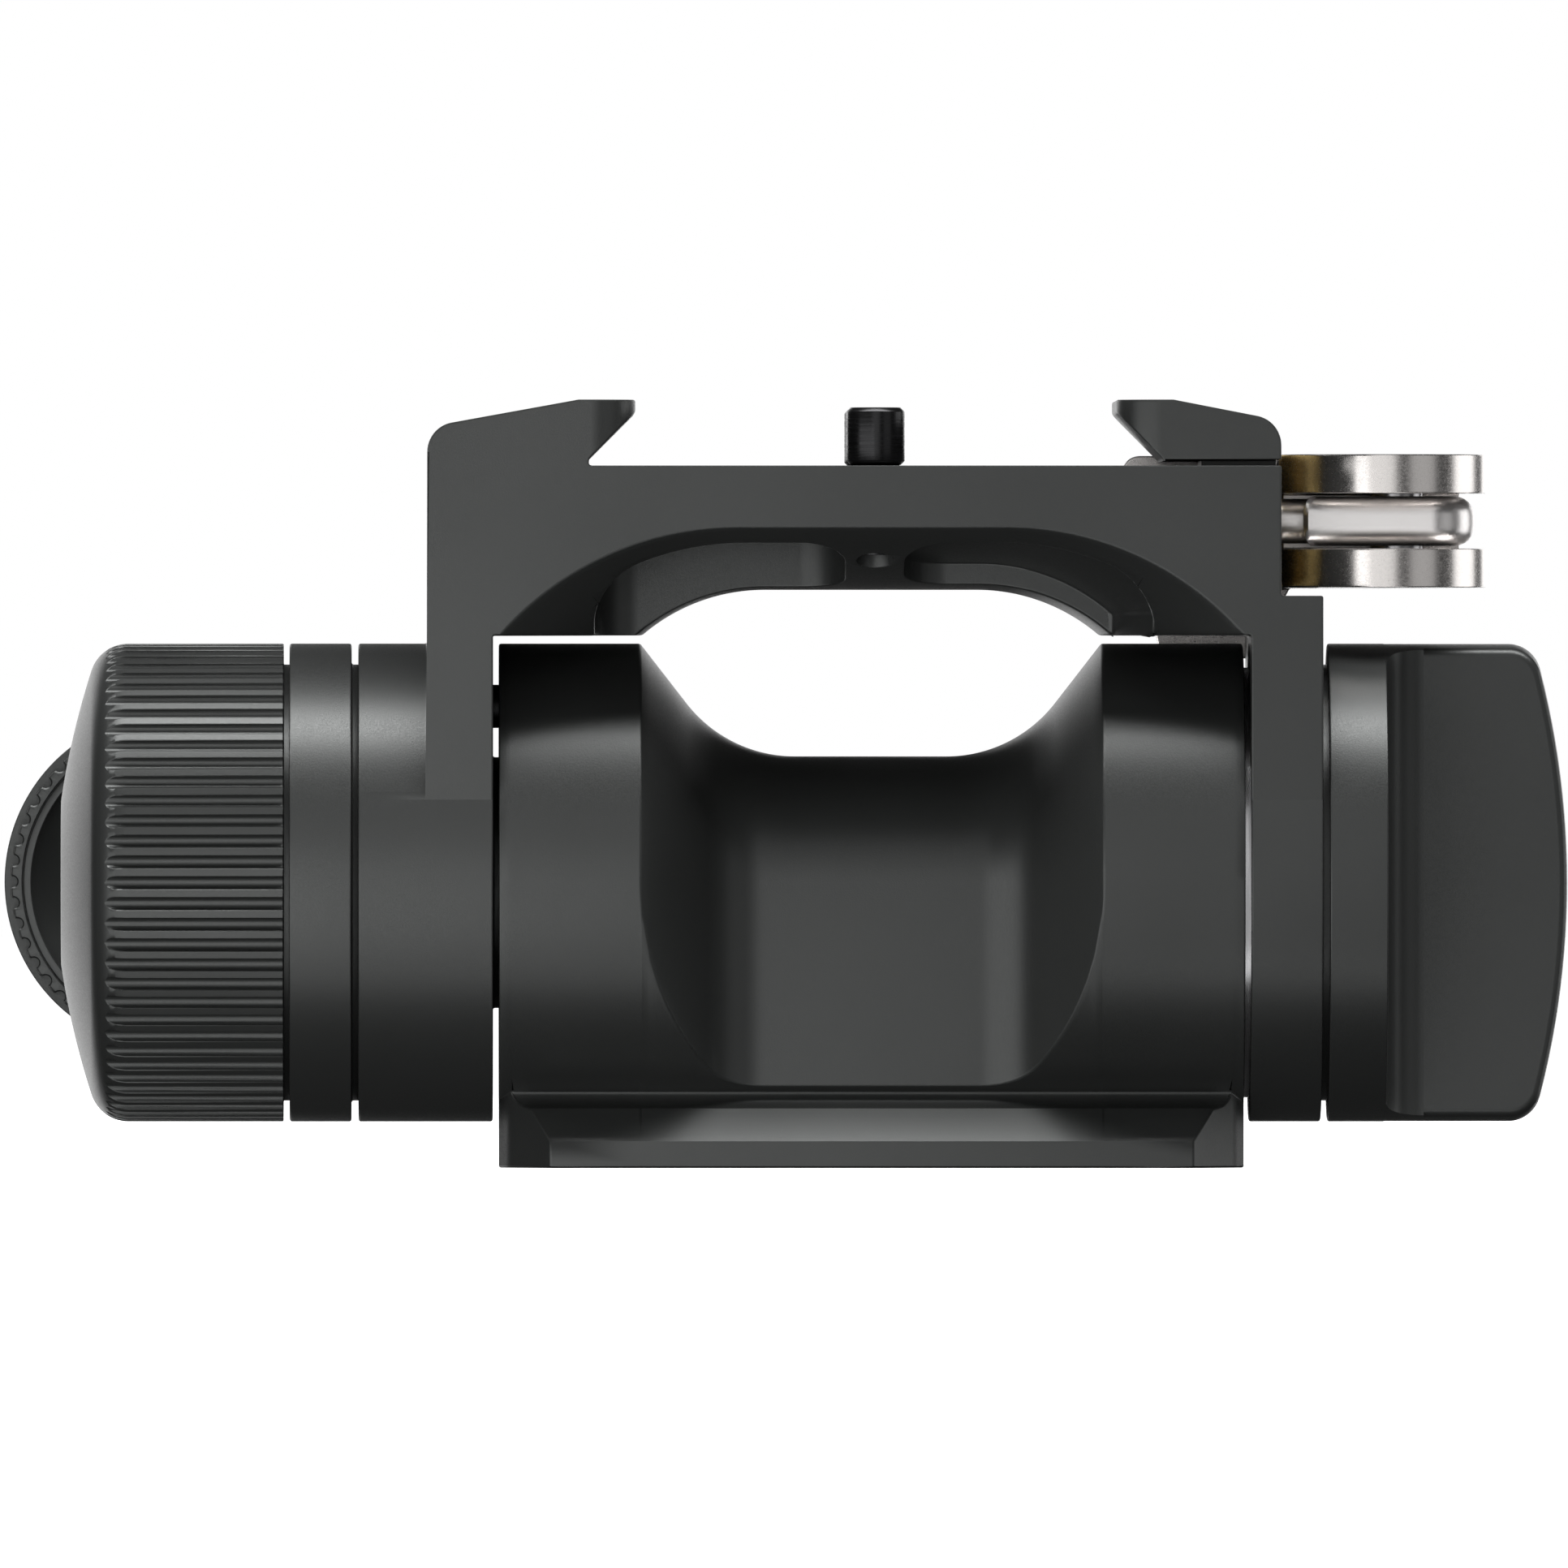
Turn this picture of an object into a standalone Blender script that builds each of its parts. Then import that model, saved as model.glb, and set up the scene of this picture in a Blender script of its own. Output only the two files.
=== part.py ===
"""Tilt mount with a dovetail clamp: drum base, yoke, lever clamp, lock knob and pan handle.

Metres, +Z up. The origin is the centre of the foot's flat bottom face. +X runs along the
tilt axis towards the wing knob, and +Y points to the back, where the pan handle is.
Every mesh is written in coordinates whose origin is the middle of the tilt axis.
"""
import math

import bmesh
import bpy
from mathutils import Matrix, Vector

MM = 0.001

# Driving dimensions -------------------------------------------------------------------
CLEARANCE = 0.3 * MM            # gap kept between two pieces that fit or seat
RUNNING_GAP = 0.4 * MM          # gap on each side of the drum, and under the moving jaw

DRUM_RADIUS = 16.0 * MM         # the round barrel shared by drum, ears, cap, hub and knob
DRUM_HALF_LENGTH = 24.9 * MM
EDGE_CHAMFER = 0.25 * MM

NECK_RADIUS = 8.45 * MM         # what the saddle scoop leaves around the axle
SCOOP_HALF_LENGTH = 15.43 * MM  # half the mouth of the scoop, at the drum's surface
SCOOP_SLOPE = math.radians(52.2)
SCOOP_FILLET = 9.2 * MM

FOOT_HALF_WIDTH = 12.0 * MM
FOOT_LIP_HEIGHT = 1.8 * MM
FOOT_HEIGHT = 3.05 * MM         # foot's bottom below the lowest line of the drum
FOOT_NOSE_LENGTH = 3.4 * MM     # plan chamfer of the four foot corners
FOOT_NOSE_WIDTH = 5.5 * MM
FOOT_SLOPE_RUN = 2.16 * MM

AXLE_RADIUS = 5.0 * MM
BUSH_WALL = 1.4 * MM
SET_SCREW_RADIUS = 2.0 * MM
SET_SCREW_INSET = 5.2 * MM      # from the drum's end face to a set screw

YOKE_DEPTH_INSET = 1.0 * MM     # yoke's faces stand this far inside the barrel
YOKE_LIFT = 0.55 * MM           # underside above the drum
BRIDGE_HEIGHT = 11.3 * MM       # underside to clamp floor
LEFT_ARM_THICKNESS = 4.4 * MM
LEFT_EAR_THICKNESS = 9.0 * MM
RIGHT_EAR_THICKNESS = 4.8 * MM
RIGHT_SHELF = 2.0 * MM          # bridge's right side beyond the ear's inner face
SHOULDER_RISE = 2.61 * MM       # right arm's shoulder above the underside

ARCH_FACE_RISE = 7.15 * MM      # arch height at the yoke's faces
ARCH_MID_RISE = 3.05 * MM       # arch height in the middle plane
ARCH_FACE_FLAT = 9.0 * MM
ARCH_MID_FLAT = 7.1 * MM
ARCH_INSET = 0.5 * MM
POCKET_CORNER = 3.0 * MM
POCKET_ROOF = 2.0 * MM
POCKET_SKIN = 1.4 * MM          # depth of the shallow right pocket

PLATE_WIDTH = 38.3 * MM         # clamp floor between the jaws
PLATE_CENTRE = 0.25 * MM
JAW_OVERHANG = 3.1 * MM
JAW_RELIEF = 0.45 * MM
JAW_HEIGHT = 4.4 * MM
JAW_FLAT = 3.8 * MM
JAW_TIP_ROUND = 3.0 * MM
JAW_CORNER = 2.0 * MM
LEG_HALF_WIDTH = 11.2 * MM
LEG_THICKNESS = 5.0 * MM
JAW_TRAVEL = 1.6 * MM

STOP_PIN_RADIUS = 1.95 * MM
STOP_PIN_HEIGHT = 3.9 * MM
STOP_PIN_SPACING = 20.6 * MM
STOP_SCREW_RADIUS = 0.95 * MM

TIE_ROD_RADIUS = 1.5 * MM
TIE_ROD_DEPTH = 3.65 * MM       # rod's centre below the clamp floor
GUIDE_PIN_RADIUS = 1.2 * MM
GUIDE_PIN_SPACING = 17.2 * MM
SPRING_WIRE_RADIUS = 0.28 * MM
SPRING_TURNS = 4

CAM_PLATE_THICKNESS = 0.8 * MM
CAM_PLATE_HALF_WIDTH = 6.3 * MM
LEVER_HEAD_RADIUS = 6.96 * MM
LEVER_ECCENTRICITY = 0.9 * MM
LEVER_PLATE = 2.6 * MM
LEVER_PIN_RADIUS = 1.75 * MM
EYE_RADIUS = 5.2 * MM
EYE_THICKNESS = 3.1 * MM
PADDLE_THICKNESS = 3.2 * MM
PADDLE_REACH = 10.3 * MM        # paddle's tip inside the bridge's right side
PADDLE_DROP = 1.5 * MM          # paddle's lower edge below the yoke's underside

GROOVE_DEPTH = 1.4 * MM
GROOVE_WIDTH = 0.45 * MM
SPIGOT_LAP = 0.7 * MM           # how far a neck reaches into its neighbour's recess
CAP_LENGTH = 4.15 * MM
HUB_STRAIGHT = 10.6 * MM
HUB_DOME = 4.3 * MM
HUB_FLAT_RADIUS = 5.7 * MM
SPIGOT_RADIUS = 7.0 * MM
HUB_SCREW_RADIUS = 1.9 * MM

KNOB_FLANGE = 3.9 * MM
WING_LENGTH = 12.2 * MM
WING_HALF_THICKNESS = 3.6 * MM
WING_ROOT = 2.6 * MM
WING_CORNER = 2.2 * MM
WING_CROWN_RADIUS = 57.0 * MM

HANDLE_ROD_RADIUS = 4.0 * MM
HANDLE_ROD_BORE = 2.4 * MM
GRIP_START = 36.0 * MM
GRIP_RADIUS = 10.0 * MM
GRIP_LENGTH = 48.0 * MM
COLLAR_RADIUS = 11.5 * MM
COLLAR_LENGTH = 4.0 * MM
END_CAP_LENGTH = 6.5 * MM

BARREL_SEGMENTS = 36
MIDDLE_SEGMENTS = 18
PIN_SEGMENTS = 12
SCREW_SEGMENTS = 12

# Derived places, measured from the tilt axis ------------------------------------------
AXIS_HEIGHT = DRUM_RADIUS + FOOT_HEIGHT
BORE_RADIUS = AXLE_RADIUS + CLEARANCE
BUSH_RADIUS = BORE_RADIUS + BUSH_WALL
BUSH_SEAT = BUSH_RADIUS + CLEARANCE
GROOVE_RADIUS = DRUM_RADIUS - GROOVE_DEPTH
RECESS_RADIUS = GROOVE_RADIUS + CLEARANCE

EAR_INNER = DRUM_HALF_LENGTH + RUNNING_GAP
LEFT_ARM = -(EAR_INNER + LEFT_ARM_THICKNESS)
LEFT_EAR = -(EAR_INNER + LEFT_EAR_THICKNESS)
RIGHT_EAR = EAR_INNER + RIGHT_EAR_THICKNESS
RIGHT_SIDE = EAR_INNER + RIGHT_SHELF
YOKE_HALF_DEPTH = DRUM_RADIUS - YOKE_DEPTH_INSET
UNDERSIDE = DRUM_RADIUS + YOKE_LIFT
CLAMP_FLOOR = UNDERSIDE + BRIDGE_HEIGHT
SHOULDER = UNDERSIDE + SHOULDER_RISE
ROD_HEIGHT = CLAMP_FLOOR - TIE_ROD_DEPTH

JAW_BOTTOM = CLAMP_FLOOR + RUNNING_GAP
JAW_TOP = CLAMP_FLOOR + JAW_HEIGHT
LEG_OUTER = RIGHT_SIDE - CLEARANCE
LEG_INNER = LEG_OUTER - LEG_THICKNESS
LEG_BOTTOM = SHOULDER + CLEARANCE
SLOT_WALL = LEG_INNER - CLEARANCE
SLOT_HALF_WIDTH = LEG_HALF_WIDTH + CLEARANCE

CAM_FACE = RIGHT_SIDE - 0.26 * MM
CAM_SEAT = CAM_FACE - CAM_PLATE_THICKNESS - CLEARANCE
LEVER_HEAD = CAM_FACE + CLEARANCE + LEVER_HEAD_RADIUS
LEVER_PIN = LEVER_HEAD + LEVER_ECCENTRICITY
FORK_HALF_GAP = EYE_THICKNESS / 2 + CLEARANCE
LEVER_TOP = ROD_HEIGHT + FORK_HALF_GAP + LEVER_PLATE
LEVER_BOTTOM = ROD_HEIGHT - FORK_HALF_GAP - LEVER_PLATE
PADDLE_FACE = YOKE_HALF_DEPTH + 2 * CLEARANCE

# Left stack: ear, bearing cap, handle hub, each lapping into the one before it.
CAP_START = LEFT_EAR - GROOVE_WIDTH
CAP_END = CAP_START - CAP_LENGTH
HUB_START = CAP_END - RUNNING_GAP
HUB_SHOULDER = HUB_START - HUB_STRAIGHT
HUB_END = HUB_SHOULDER - HUB_DOME
HANDLE_PLACE = (HUB_START + HUB_END) / 2
BEARING_RADIUS = 0.75 * (RECESS_RADIUS - CLEARANCE)
BEARING_SEAT = BEARING_RADIUS + CLEARANCE
BEARING_DEPTH = 3.3 * MM
STOP_RADIUS = (BUSH_SEAT + GROOVE_RADIUS) / 2 + 1.0 * MM
TILT_PIN_RADIUS = 1.45 * MM
BOSS_RADIUS = BUSH_SEAT + 1.4 * MM
BOSS_LENGTH = 2.0 * MM
HUB_WEB = 3.4 * MM
SPIGOT_END = HUB_END + 7.0 * MM

# Right stack: ear and wing knob.
KNOB_START = RIGHT_EAR + GROOVE_WIDTH
WING_START = KNOB_START + KNOB_FLANGE
WING_END = WING_START + WING_LENGTH
WASHER_RADIUS = GROOVE_RADIUS - 0.2 * MM
INSERT_RADIUS = 8.5 * MM


# Scene and material helpers -----------------------------------------------------------
def clear_scene():
    """Remove every object so that the model starts from nothing."""
    for old in list(bpy.data.objects):
        bpy.data.objects.remove(old, do_unlink=True)


def make_material(name, colour, roughness, metallic):
    """Return a Principled BSDF material with the given finish."""
    material = bpy.data.materials.new(name)
    material.use_nodes = True
    shader = material.node_tree.nodes["Principled BSDF"]
    shader.inputs["Base Color"].default_value = (*colour, 1.0)
    shader.inputs["Roughness"].default_value = roughness
    shader.inputs["Metallic"].default_value = metallic
    material.diffuse_color = (*colour, 1.0)
    return material


def make_frame(name, place, parent=None):
    """Return an empty that marks a joint's axis, at a place measured from the tilt axis."""
    frame = bpy.data.objects.new(name, None)
    bpy.context.scene.collection.objects.link(frame)
    frame.parent = parent
    frame["place"] = [place[0], place[1], place[2]]
    offset = Vector(place)
    if parent is not None:
        offset -= Vector(parent["place"])
    frame.location = offset
    return frame


def place_of(frame):
    """Return a frame's place as a vector from the tilt axis."""
    return Vector(frame["place"])


def finish_mesh(mesh_data, name, frame, smooth_angle=30.0):
    """Turn a bmesh into an object parented to a frame, shaded smooth below an angle."""
    bmesh.ops.recalc_face_normals(mesh_data, faces=mesh_data.faces)
    bmesh.ops.translate(mesh_data, verts=mesh_data.verts, vec=-place_of(frame))
    mesh = bpy.data.meshes.new(name)
    mesh_data.to_mesh(mesh)
    mesh_data.free()
    mesh.shade_smooth()
    mesh.set_sharp_from_angle(angle=math.radians(smooth_angle))
    piece = bpy.data.objects.new(name, mesh)
    piece.parent = frame
    bpy.context.scene.collection.objects.link(piece)
    return piece


def dress(piece, material):
    """Give a piece its own copy of a material."""
    own = material.copy()
    own.name = piece.name + "_finish"
    piece.data.materials.append(own)
    return piece


def carve(piece, cutter, operation="DIFFERENCE"):
    """Combine a piece with a cutter, which then stays as a wire guide."""
    modifier = piece.modifiers.new(cutter.name, "BOOLEAN")
    modifier.operation = operation
    modifier.solver = "EXACT"
    modifier.object = cutter
    cutter.hide_render = True
    cutter.display_type = "WIRE"
    return piece


# Shape helpers ------------------------------------------------------------------------
def arc(centre, radius, start, end, steps):
    """Return points on an arc, its two ends included; angles in degrees."""
    points = []
    for step in range(steps + 1):
        angle = math.radians(start + (end - start) * step / steps)
        points.append((centre[0] + radius * math.cos(angle), centre[1] + radius * math.sin(angle)))
    return points


def hexagon_reach(angle):
    """Return how far a hexagon reaches at an angle, for a half width across flats of 1."""
    return 1.0 / math.cos((angle + math.pi / 6) % (math.pi / 3) - math.pi / 6)


def axis_matrix(axis):
    """Return the turn that takes the X axis to the named axis."""
    if axis == "Y":
        return Matrix.Rotation(math.pi / 2, 4, "Z")
    if axis == "Z":
        return Matrix.Rotation(-math.pi / 2, 4, "Y")
    return Matrix.Identity(4)


def add_lathe(mesh_data, profile, segments, axis="X", centre=(0.0, 0.0, 0.0)):
    """Turn a closed profile of (along, radius) points, or (along, half width, 'hex')."""
    turn = Matrix.Translation(Vector(centre)) @ axis_matrix(axis)
    rings = []
    for point in profile:
        along, radius = point[0], point[1]
        if radius <= 0.0:
            rings.append([mesh_data.verts.new(turn @ Vector((along, 0.0, 0.0)))])
            continue
        ring = []
        for index in range(segments):
            angle = 2 * math.pi * index / segments
            reach = radius * hexagon_reach(angle) if len(point) == 3 else radius
            spot = Vector((along, reach * math.cos(angle), reach * math.sin(angle)))
            ring.append(mesh_data.verts.new(turn @ spot))
        rings.append(ring)
    for index, ring in enumerate(rings):
        join_rings(mesh_data, ring, rings[(index + 1) % len(rings)], segments)


def join_rings(mesh_data, first, second, segments):
    """Bridge two rings, either of which may be a single point on the axis."""
    if len(first) == 1 and len(second) == 1:
        return
    for index in range(segments):
        after = (index + 1) % segments
        if len(first) == 1:
            corners = (first[0], second[after], second[index])
        elif len(second) == 1:
            corners = (first[index], first[after], second[0])
        else:
            corners = (first[index], first[after], second[after], second[index])
        mesh_data.faces.new(corners)


def lathe(name, frame, profile, segments=BARREL_SEGMENTS, axis="X", centre=(0.0, 0.0, 0.0)):
    """Return a turned piece."""
    mesh_data = bmesh.new()
    add_lathe(mesh_data, profile, segments, axis, centre)
    return finish_mesh(mesh_data, name, frame)


def add_rod(mesh_data, start, end, radius, segments, axis="X", centre=(0.0, 0.0, 0.0)):
    """Add a plain cylinder between two places along an axis."""
    profile = [(start, 0.0), (start, radius), (end, radius), (end, 0.0)]
    add_lathe(mesh_data, profile, segments, axis, centre)


def rods(name, frame, items, segments, axis="X"):
    """Return one object of separate cylinders: (start, end, radius, centre) each."""
    mesh_data = bmesh.new()
    for start, end, radius, centre in items:
        add_rod(mesh_data, start, end, radius, segments, axis, centre)
    return finish_mesh(mesh_data, name, frame)


def add_prism(mesh_data, outline, axis, low, high):
    """Extrude an outline along an axis: (y, z) for X, (x, z) for Y and (x, y) for Z."""
    def spot(point, depth):
        if axis == "X":
            return Vector((depth, point[0], point[1]))
        if axis == "Y":
            return Vector((point[0], depth, point[1]))
        return Vector((point[0], point[1], depth))

    near = [mesh_data.verts.new(spot(point, low)) for point in outline]
    far = [mesh_data.verts.new(spot(point, high)) for point in outline]
    mesh_data.faces.new(near)
    mesh_data.faces.new(far[::-1])
    for index in range(len(outline)):
        after = (index + 1) % len(outline)
        mesh_data.faces.new((near[index], far[index], far[after], near[after]))


def prism(name, frame, outline, axis, low, high):
    """Return an extruded piece."""
    mesh_data = bmesh.new()
    add_prism(mesh_data, outline, axis, low, high)
    return finish_mesh(mesh_data, name, frame)


def box_outline(low, high):
    """Return a rectangle's four corners."""
    return [(low[0], low[1]), (high[0], low[1]), (high[0], high[1]), (low[0], high[1])]


def rounded_box_outline(low, high, radius, steps=4):
    """Return a rectangle with round corners."""
    points = []
    points += arc((high[0] - radius, high[1] - radius), radius, 0, 90, steps)
    points += arc((low[0] + radius, high[1] - radius), radius, 90, 180, steps)
    points += arc((low[0] + radius, low[1] + radius), radius, 180, 270, steps)
    points += arc((high[0] - radius, low[1] + radius), radius, 270, 360, steps)
    return points


def loft(name, frame, sections):
    """Return a closed skin over sections that all have the same number of points."""
    mesh_data = bmesh.new()
    loops = [[mesh_data.verts.new(Vector(point)) for point in section] for section in sections]
    mesh_data.faces.new(loops[0][::-1])
    mesh_data.faces.new(loops[-1])
    for first, second in zip(loops, loops[1:]):
        for index in range(len(first)):
            after = (index + 1) % len(first)
            mesh_data.faces.new((first[index], first[after], second[after], second[index]))
    return finish_mesh(mesh_data, name, frame)


def mirrored(value_pairs):
    """Return each value with its negative, for pieces that come in pairs."""
    return [("front", -value_pairs), ("rear", value_pairs)]


# Tilt base ----------------------------------------------------------------------------
def barrel_profile(start, end, radius=DRUM_RADIUS, chamfer=EDGE_CHAMFER):
    """Return the profile of a solid barrel with a small chamfer at both ends."""
    return [(start, 0.0), (start, radius - chamfer), (start + chamfer, radius),
            (end - chamfer, radius), (end, radius - chamfer), (end, 0.0)]


def scoop_radius(along):
    """Return the neck's radius at a distance from the middle of the drum."""
    rise = DRUM_RADIUS - NECK_RADIUS
    corner = SCOOP_HALF_LENGTH - rise / math.tan(SCOOP_SLOPE)
    tangent = SCOOP_FILLET * math.tan(SCOOP_SLOPE / 2)
    arc_start = corner - tangent
    arc_end = corner + tangent * math.cos(SCOOP_SLOPE)
    distance = abs(along)
    if distance <= arc_start:
        return NECK_RADIUS
    if distance <= arc_end:
        return NECK_RADIUS + SCOOP_FILLET - math.sqrt(SCOOP_FILLET ** 2 - (distance - arc_start) ** 2)
    return NECK_RADIUS + (distance - corner) * math.tan(SCOOP_SLOPE)


def neck_section(along, bottom):
    """Return the tombstone outline of the neck at one place along the drum."""
    radius = scoop_radius(along)
    points = [(along, radius, bottom)]
    for y, z in arc((0.0, 0.0), radius, 0, 180, 14):
        points.append((along, y, z))
    points.append((along, -radius, bottom))
    return points


def make_scoop(frame):
    """Return the cutter that leaves a neck in the middle of the drum."""
    past = 0.45 * MM
    half = SCOOP_HALF_LENGTH + past
    floor = -(DRUM_RADIUS - 2.1 * MM)
    slab = prism("scoop_slab", frame, box_outline((-1.2 * DRUM_RADIUS, floor),
                 (1.2 * DRUM_RADIUS, 1.2 * DRUM_RADIUS)), "X", -half, half)
    stations = [half, SCOOP_HALF_LENGTH * 0.86, SCOOP_HALF_LENGTH * 0.77, SCOOP_HALF_LENGTH * 0.69,
                SCOOP_HALF_LENGTH * 0.61, SCOOP_HALF_LENGTH * 0.53, SCOOP_HALF_LENGTH * 0.44,
                SCOOP_HALF_LENGTH * 0.33]
    places = [-half - past] + [-station for station in stations] + stations[::-1] + [half + past]
    neck = loft("scoop_neck", frame, [neck_section(place, floor - 2 * past) for place in places])
    return carve(slab, neck)


def foot_outline():
    """Return half the foot's section and its mirror image, bottom face at the foot height."""
    bottom = -AXIS_HEIGHT
    lip = bottom + FOOT_LIP_HEIGHT
    slope_top = (FOOT_HALF_WIDTH - FOOT_SLOPE_RUN, lip + FOOT_SLOPE_RUN)
    root_y = 0.487 * DRUM_RADIUS
    root = (root_y, -math.sqrt(DRUM_RADIUS ** 2 - root_y ** 2))
    middle = ((slope_top[0] + root[0]) / 2 - 0.35 * MM, (slope_top[1] + root[1]) / 2 - 0.2 * MM)
    inside = (0.7 * root_y, root[1] * 0.9)
    half = [(FOOT_HALF_WIDTH, bottom), (FOOT_HALF_WIDTH, lip), slope_top, middle, root, inside]
    return half + [(-y, z) for y, z in half[::-1]]


def make_foot_corners(frame):
    """Return the cutter for the four plan chamfers of the foot."""
    mesh_data = bmesh.new()
    past = 3.0 * MM
    for side in (-1, 1):
        for end in (-1, 1):
            tip = (end * DRUM_HALF_LENGTH, side * (FOOT_HALF_WIDTH - FOOT_NOSE_WIDTH))
            heel = (end * (DRUM_HALF_LENGTH - FOOT_NOSE_LENGTH), side * FOOT_HALF_WIDTH)
            run = (tip[0] - heel[0], tip[1] - heel[1])
            far_tip = (tip[0] + 0.1 * run[0], tip[1] + 0.1 * run[1])
            far_heel = (heel[0] - 0.5 * run[0], heel[1] - 0.5 * run[1])
            outline = [far_tip, far_heel, (far_heel[0], far_heel[1] + side * past),
                       (far_tip[0] + end * past, far_heel[1] + side * past),
                       (far_tip[0] + end * past, far_tip[1])]
            add_prism(mesh_data, outline, "Z", -AXIS_HEIGHT - past, -0.9 * DRUM_RADIUS)
    return finish_mesh(mesh_data, "foot_corners", frame)


def make_stop_track(frame):
    """Return the cutter for the arc in which the tilt stop pin travels."""
    inner = STOP_RADIUS - TILT_PIN_RADIUS - CLEARANCE
    outer = STOP_RADIUS + TILT_PIN_RADIUS + CLEARANCE
    spare = math.degrees((TILT_PIN_RADIUS + 2 * CLEARANCE) / inner)
    outline = arc((0.0, 0.0), outer, -spare, 180 + spare, 14)
    outline += arc((0.0, 0.0), inner, 180 + spare, -spare, 12)
    return prism("stop_track", frame, outline, "X", -DRUM_HALF_LENGTH - MM, -DRUM_HALF_LENGTH + 3.2 * MM)


def make_tilt_base(frame, finish):
    """Return the drum and foot, machined from one block."""
    base = lathe("tilt_base", frame, barrel_profile(-DRUM_HALF_LENGTH, DRUM_HALF_LENGTH))
    foot = prism("foot_blank", frame, foot_outline(), "X",
                 -DRUM_HALF_LENGTH + EDGE_CHAMFER, DRUM_HALF_LENGTH - EDGE_CHAMFER)
    carve(foot, make_foot_corners(frame))
    carve(base, make_scoop(frame))
    carve(base, foot, "UNION")
    carve(base, lathe("drum_bore", frame, drum_bore_profile()))
    carve(base, make_stop_track(frame))
    hole = SET_SCREW_RADIUS + CLEARANCE
    place = DRUM_HALF_LENGTH - SET_SCREW_INSET
    holes = [(-AXIS_HEIGHT - MM, -AXLE_RADIUS, hole, (side * place, 0.0, 0.0)) for side in (-1, 1)]
    carve(base, rods("set_screw_holes", frame, holes, SCREW_SEGMENTS, "Z"))
    return dress(base, finish)


def drum_bore_profile():
    """Return the bore through the drum with its wider seats at both ends."""
    past = MM
    boss_seat = BOSS_RADIUS + CLEARANCE
    washer_seat = WASHER_RADIUS + CLEARANCE
    left = -DRUM_HALF_LENGTH + BOSS_LENGTH
    right = DRUM_HALF_LENGTH - MM
    return [(-DRUM_HALF_LENGTH - past, 0.0), (-DRUM_HALF_LENGTH - past, boss_seat), (left, boss_seat),
            (left, BORE_RADIUS), (right, BORE_RADIUS), (right, washer_seat),
            (DRUM_HALF_LENGTH + past, washer_seat), (DRUM_HALF_LENGTH + past, 0.0)]


def make_axle(frame, finish):
    """Return the tilt axle, with a flat chamfer at both ends."""
    profile = barrel_profile(LEFT_EAR - 2.6 * MM, WING_START - 2 * CLEARANCE, AXLE_RADIUS, 0.6 * MM)
    return dress(lathe("tilt_axle", frame, profile, MIDDLE_SEGMENTS), finish)


def screw_profile(head_radius, head_height, shank_radius, length, socket):
    """Return a socket screw's profile, head end at zero and shank along minus."""
    depth = 0.6 * head_height
    return [(-depth, 0.0), (-depth, socket, "hex"), (0.0, socket, "hex"), (0.0, head_radius * 0.9),
            (-0.1 * head_radius, head_radius), (-head_height, head_radius),
            (-head_height, shank_radius), (-length, shank_radius), (-length, 0.0)]


def shifted(profile, place, direction=1):
    """Return a profile moved along its axis, and turned about when direction is -1."""
    return [(place + direction * point[0],) + tuple(point[1:]) for point in profile]


def make_set_screws(frame, finish):
    """Return the two screws that lock the axle in the drum."""
    length = AXIS_HEIGHT - AXLE_RADIUS - CLEARANCE - 2.0 * MM
    socket = 0.45 * SET_SCREW_RADIUS
    profile = [(-1.6 * MM, 0.0), (-1.6 * MM, socket, "hex"), (0.0, socket, "hex"),
               (0.0, 0.9 * SET_SCREW_RADIUS), (-0.3 * MM, SET_SCREW_RADIUS),
               (-length, SET_SCREW_RADIUS), (-length, 0.0)]
    made = []
    for name, side in (("left", -1), ("right", 1)):
        centre = (side * (DRUM_HALF_LENGTH - SET_SCREW_INSET), 0.0, 0.0)
        points = shifted(profile, -AXIS_HEIGHT + 2.0 * MM, -1)
        screw = lathe("axle_set_screw_" + name, frame, points, SCREW_SEGMENTS, "Z", centre)
        made.append(dress(screw, finish))
    return made


def tube_profile(start, end, inner, outer):
    """Return the profile of a plain tube."""
    return [(start, inner), (start, outer), (end, outer), (end, inner)]


def make_thrust_washer(frame, finish):
    """Return the bright washer that spans the right gap between drum and ear."""
    start = DRUM_HALF_LENGTH - MM + CLEARANCE
    end = EAR_INNER + MM - CLEARANCE
    profile = tube_profile(start, end, BORE_RADIUS, WASHER_RADIUS)
    return dress(lathe("thrust_washer", frame, profile), finish)


def make_axle_nut(frame, finish):
    """Return the nut that keeps the axle's left end."""
    start = LEFT_EAR - 2.3 * MM
    end = LEFT_EAR + CLEARANCE
    width = 0.8 * BEARING_RADIUS
    profile = [(start, BORE_RADIUS), (start, width, "hex"), (end, width, "hex"), (end, BORE_RADIUS)]
    return dress(lathe("axle_nut", frame, profile, MIDDLE_SEGMENTS), finish)


# Yoke ---------------------------------------------------------------------------------
def fixed_jaw_outline():
    """Return the left jaw's outline from the arm's outer side to the clamp floor."""
    tip = PLATE_CENTRE - PLATE_WIDTH / 2 + JAW_OVERHANG
    relief = tip - JAW_OVERHANG
    undercut = CLAMP_FLOOR + JAW_RELIEF
    points = arc((LEFT_ARM + JAW_CORNER, CLAMP_FLOOR + 0.9 * MM), JAW_CORNER, 180, 103, 5)
    points += [(tip - JAW_FLAT, JAW_TOP), (tip, JAW_TOP), (tip, undercut + JAW_OVERHANG),
               (relief, undercut), (relief, CLAMP_FLOOR)]
    return points


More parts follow.
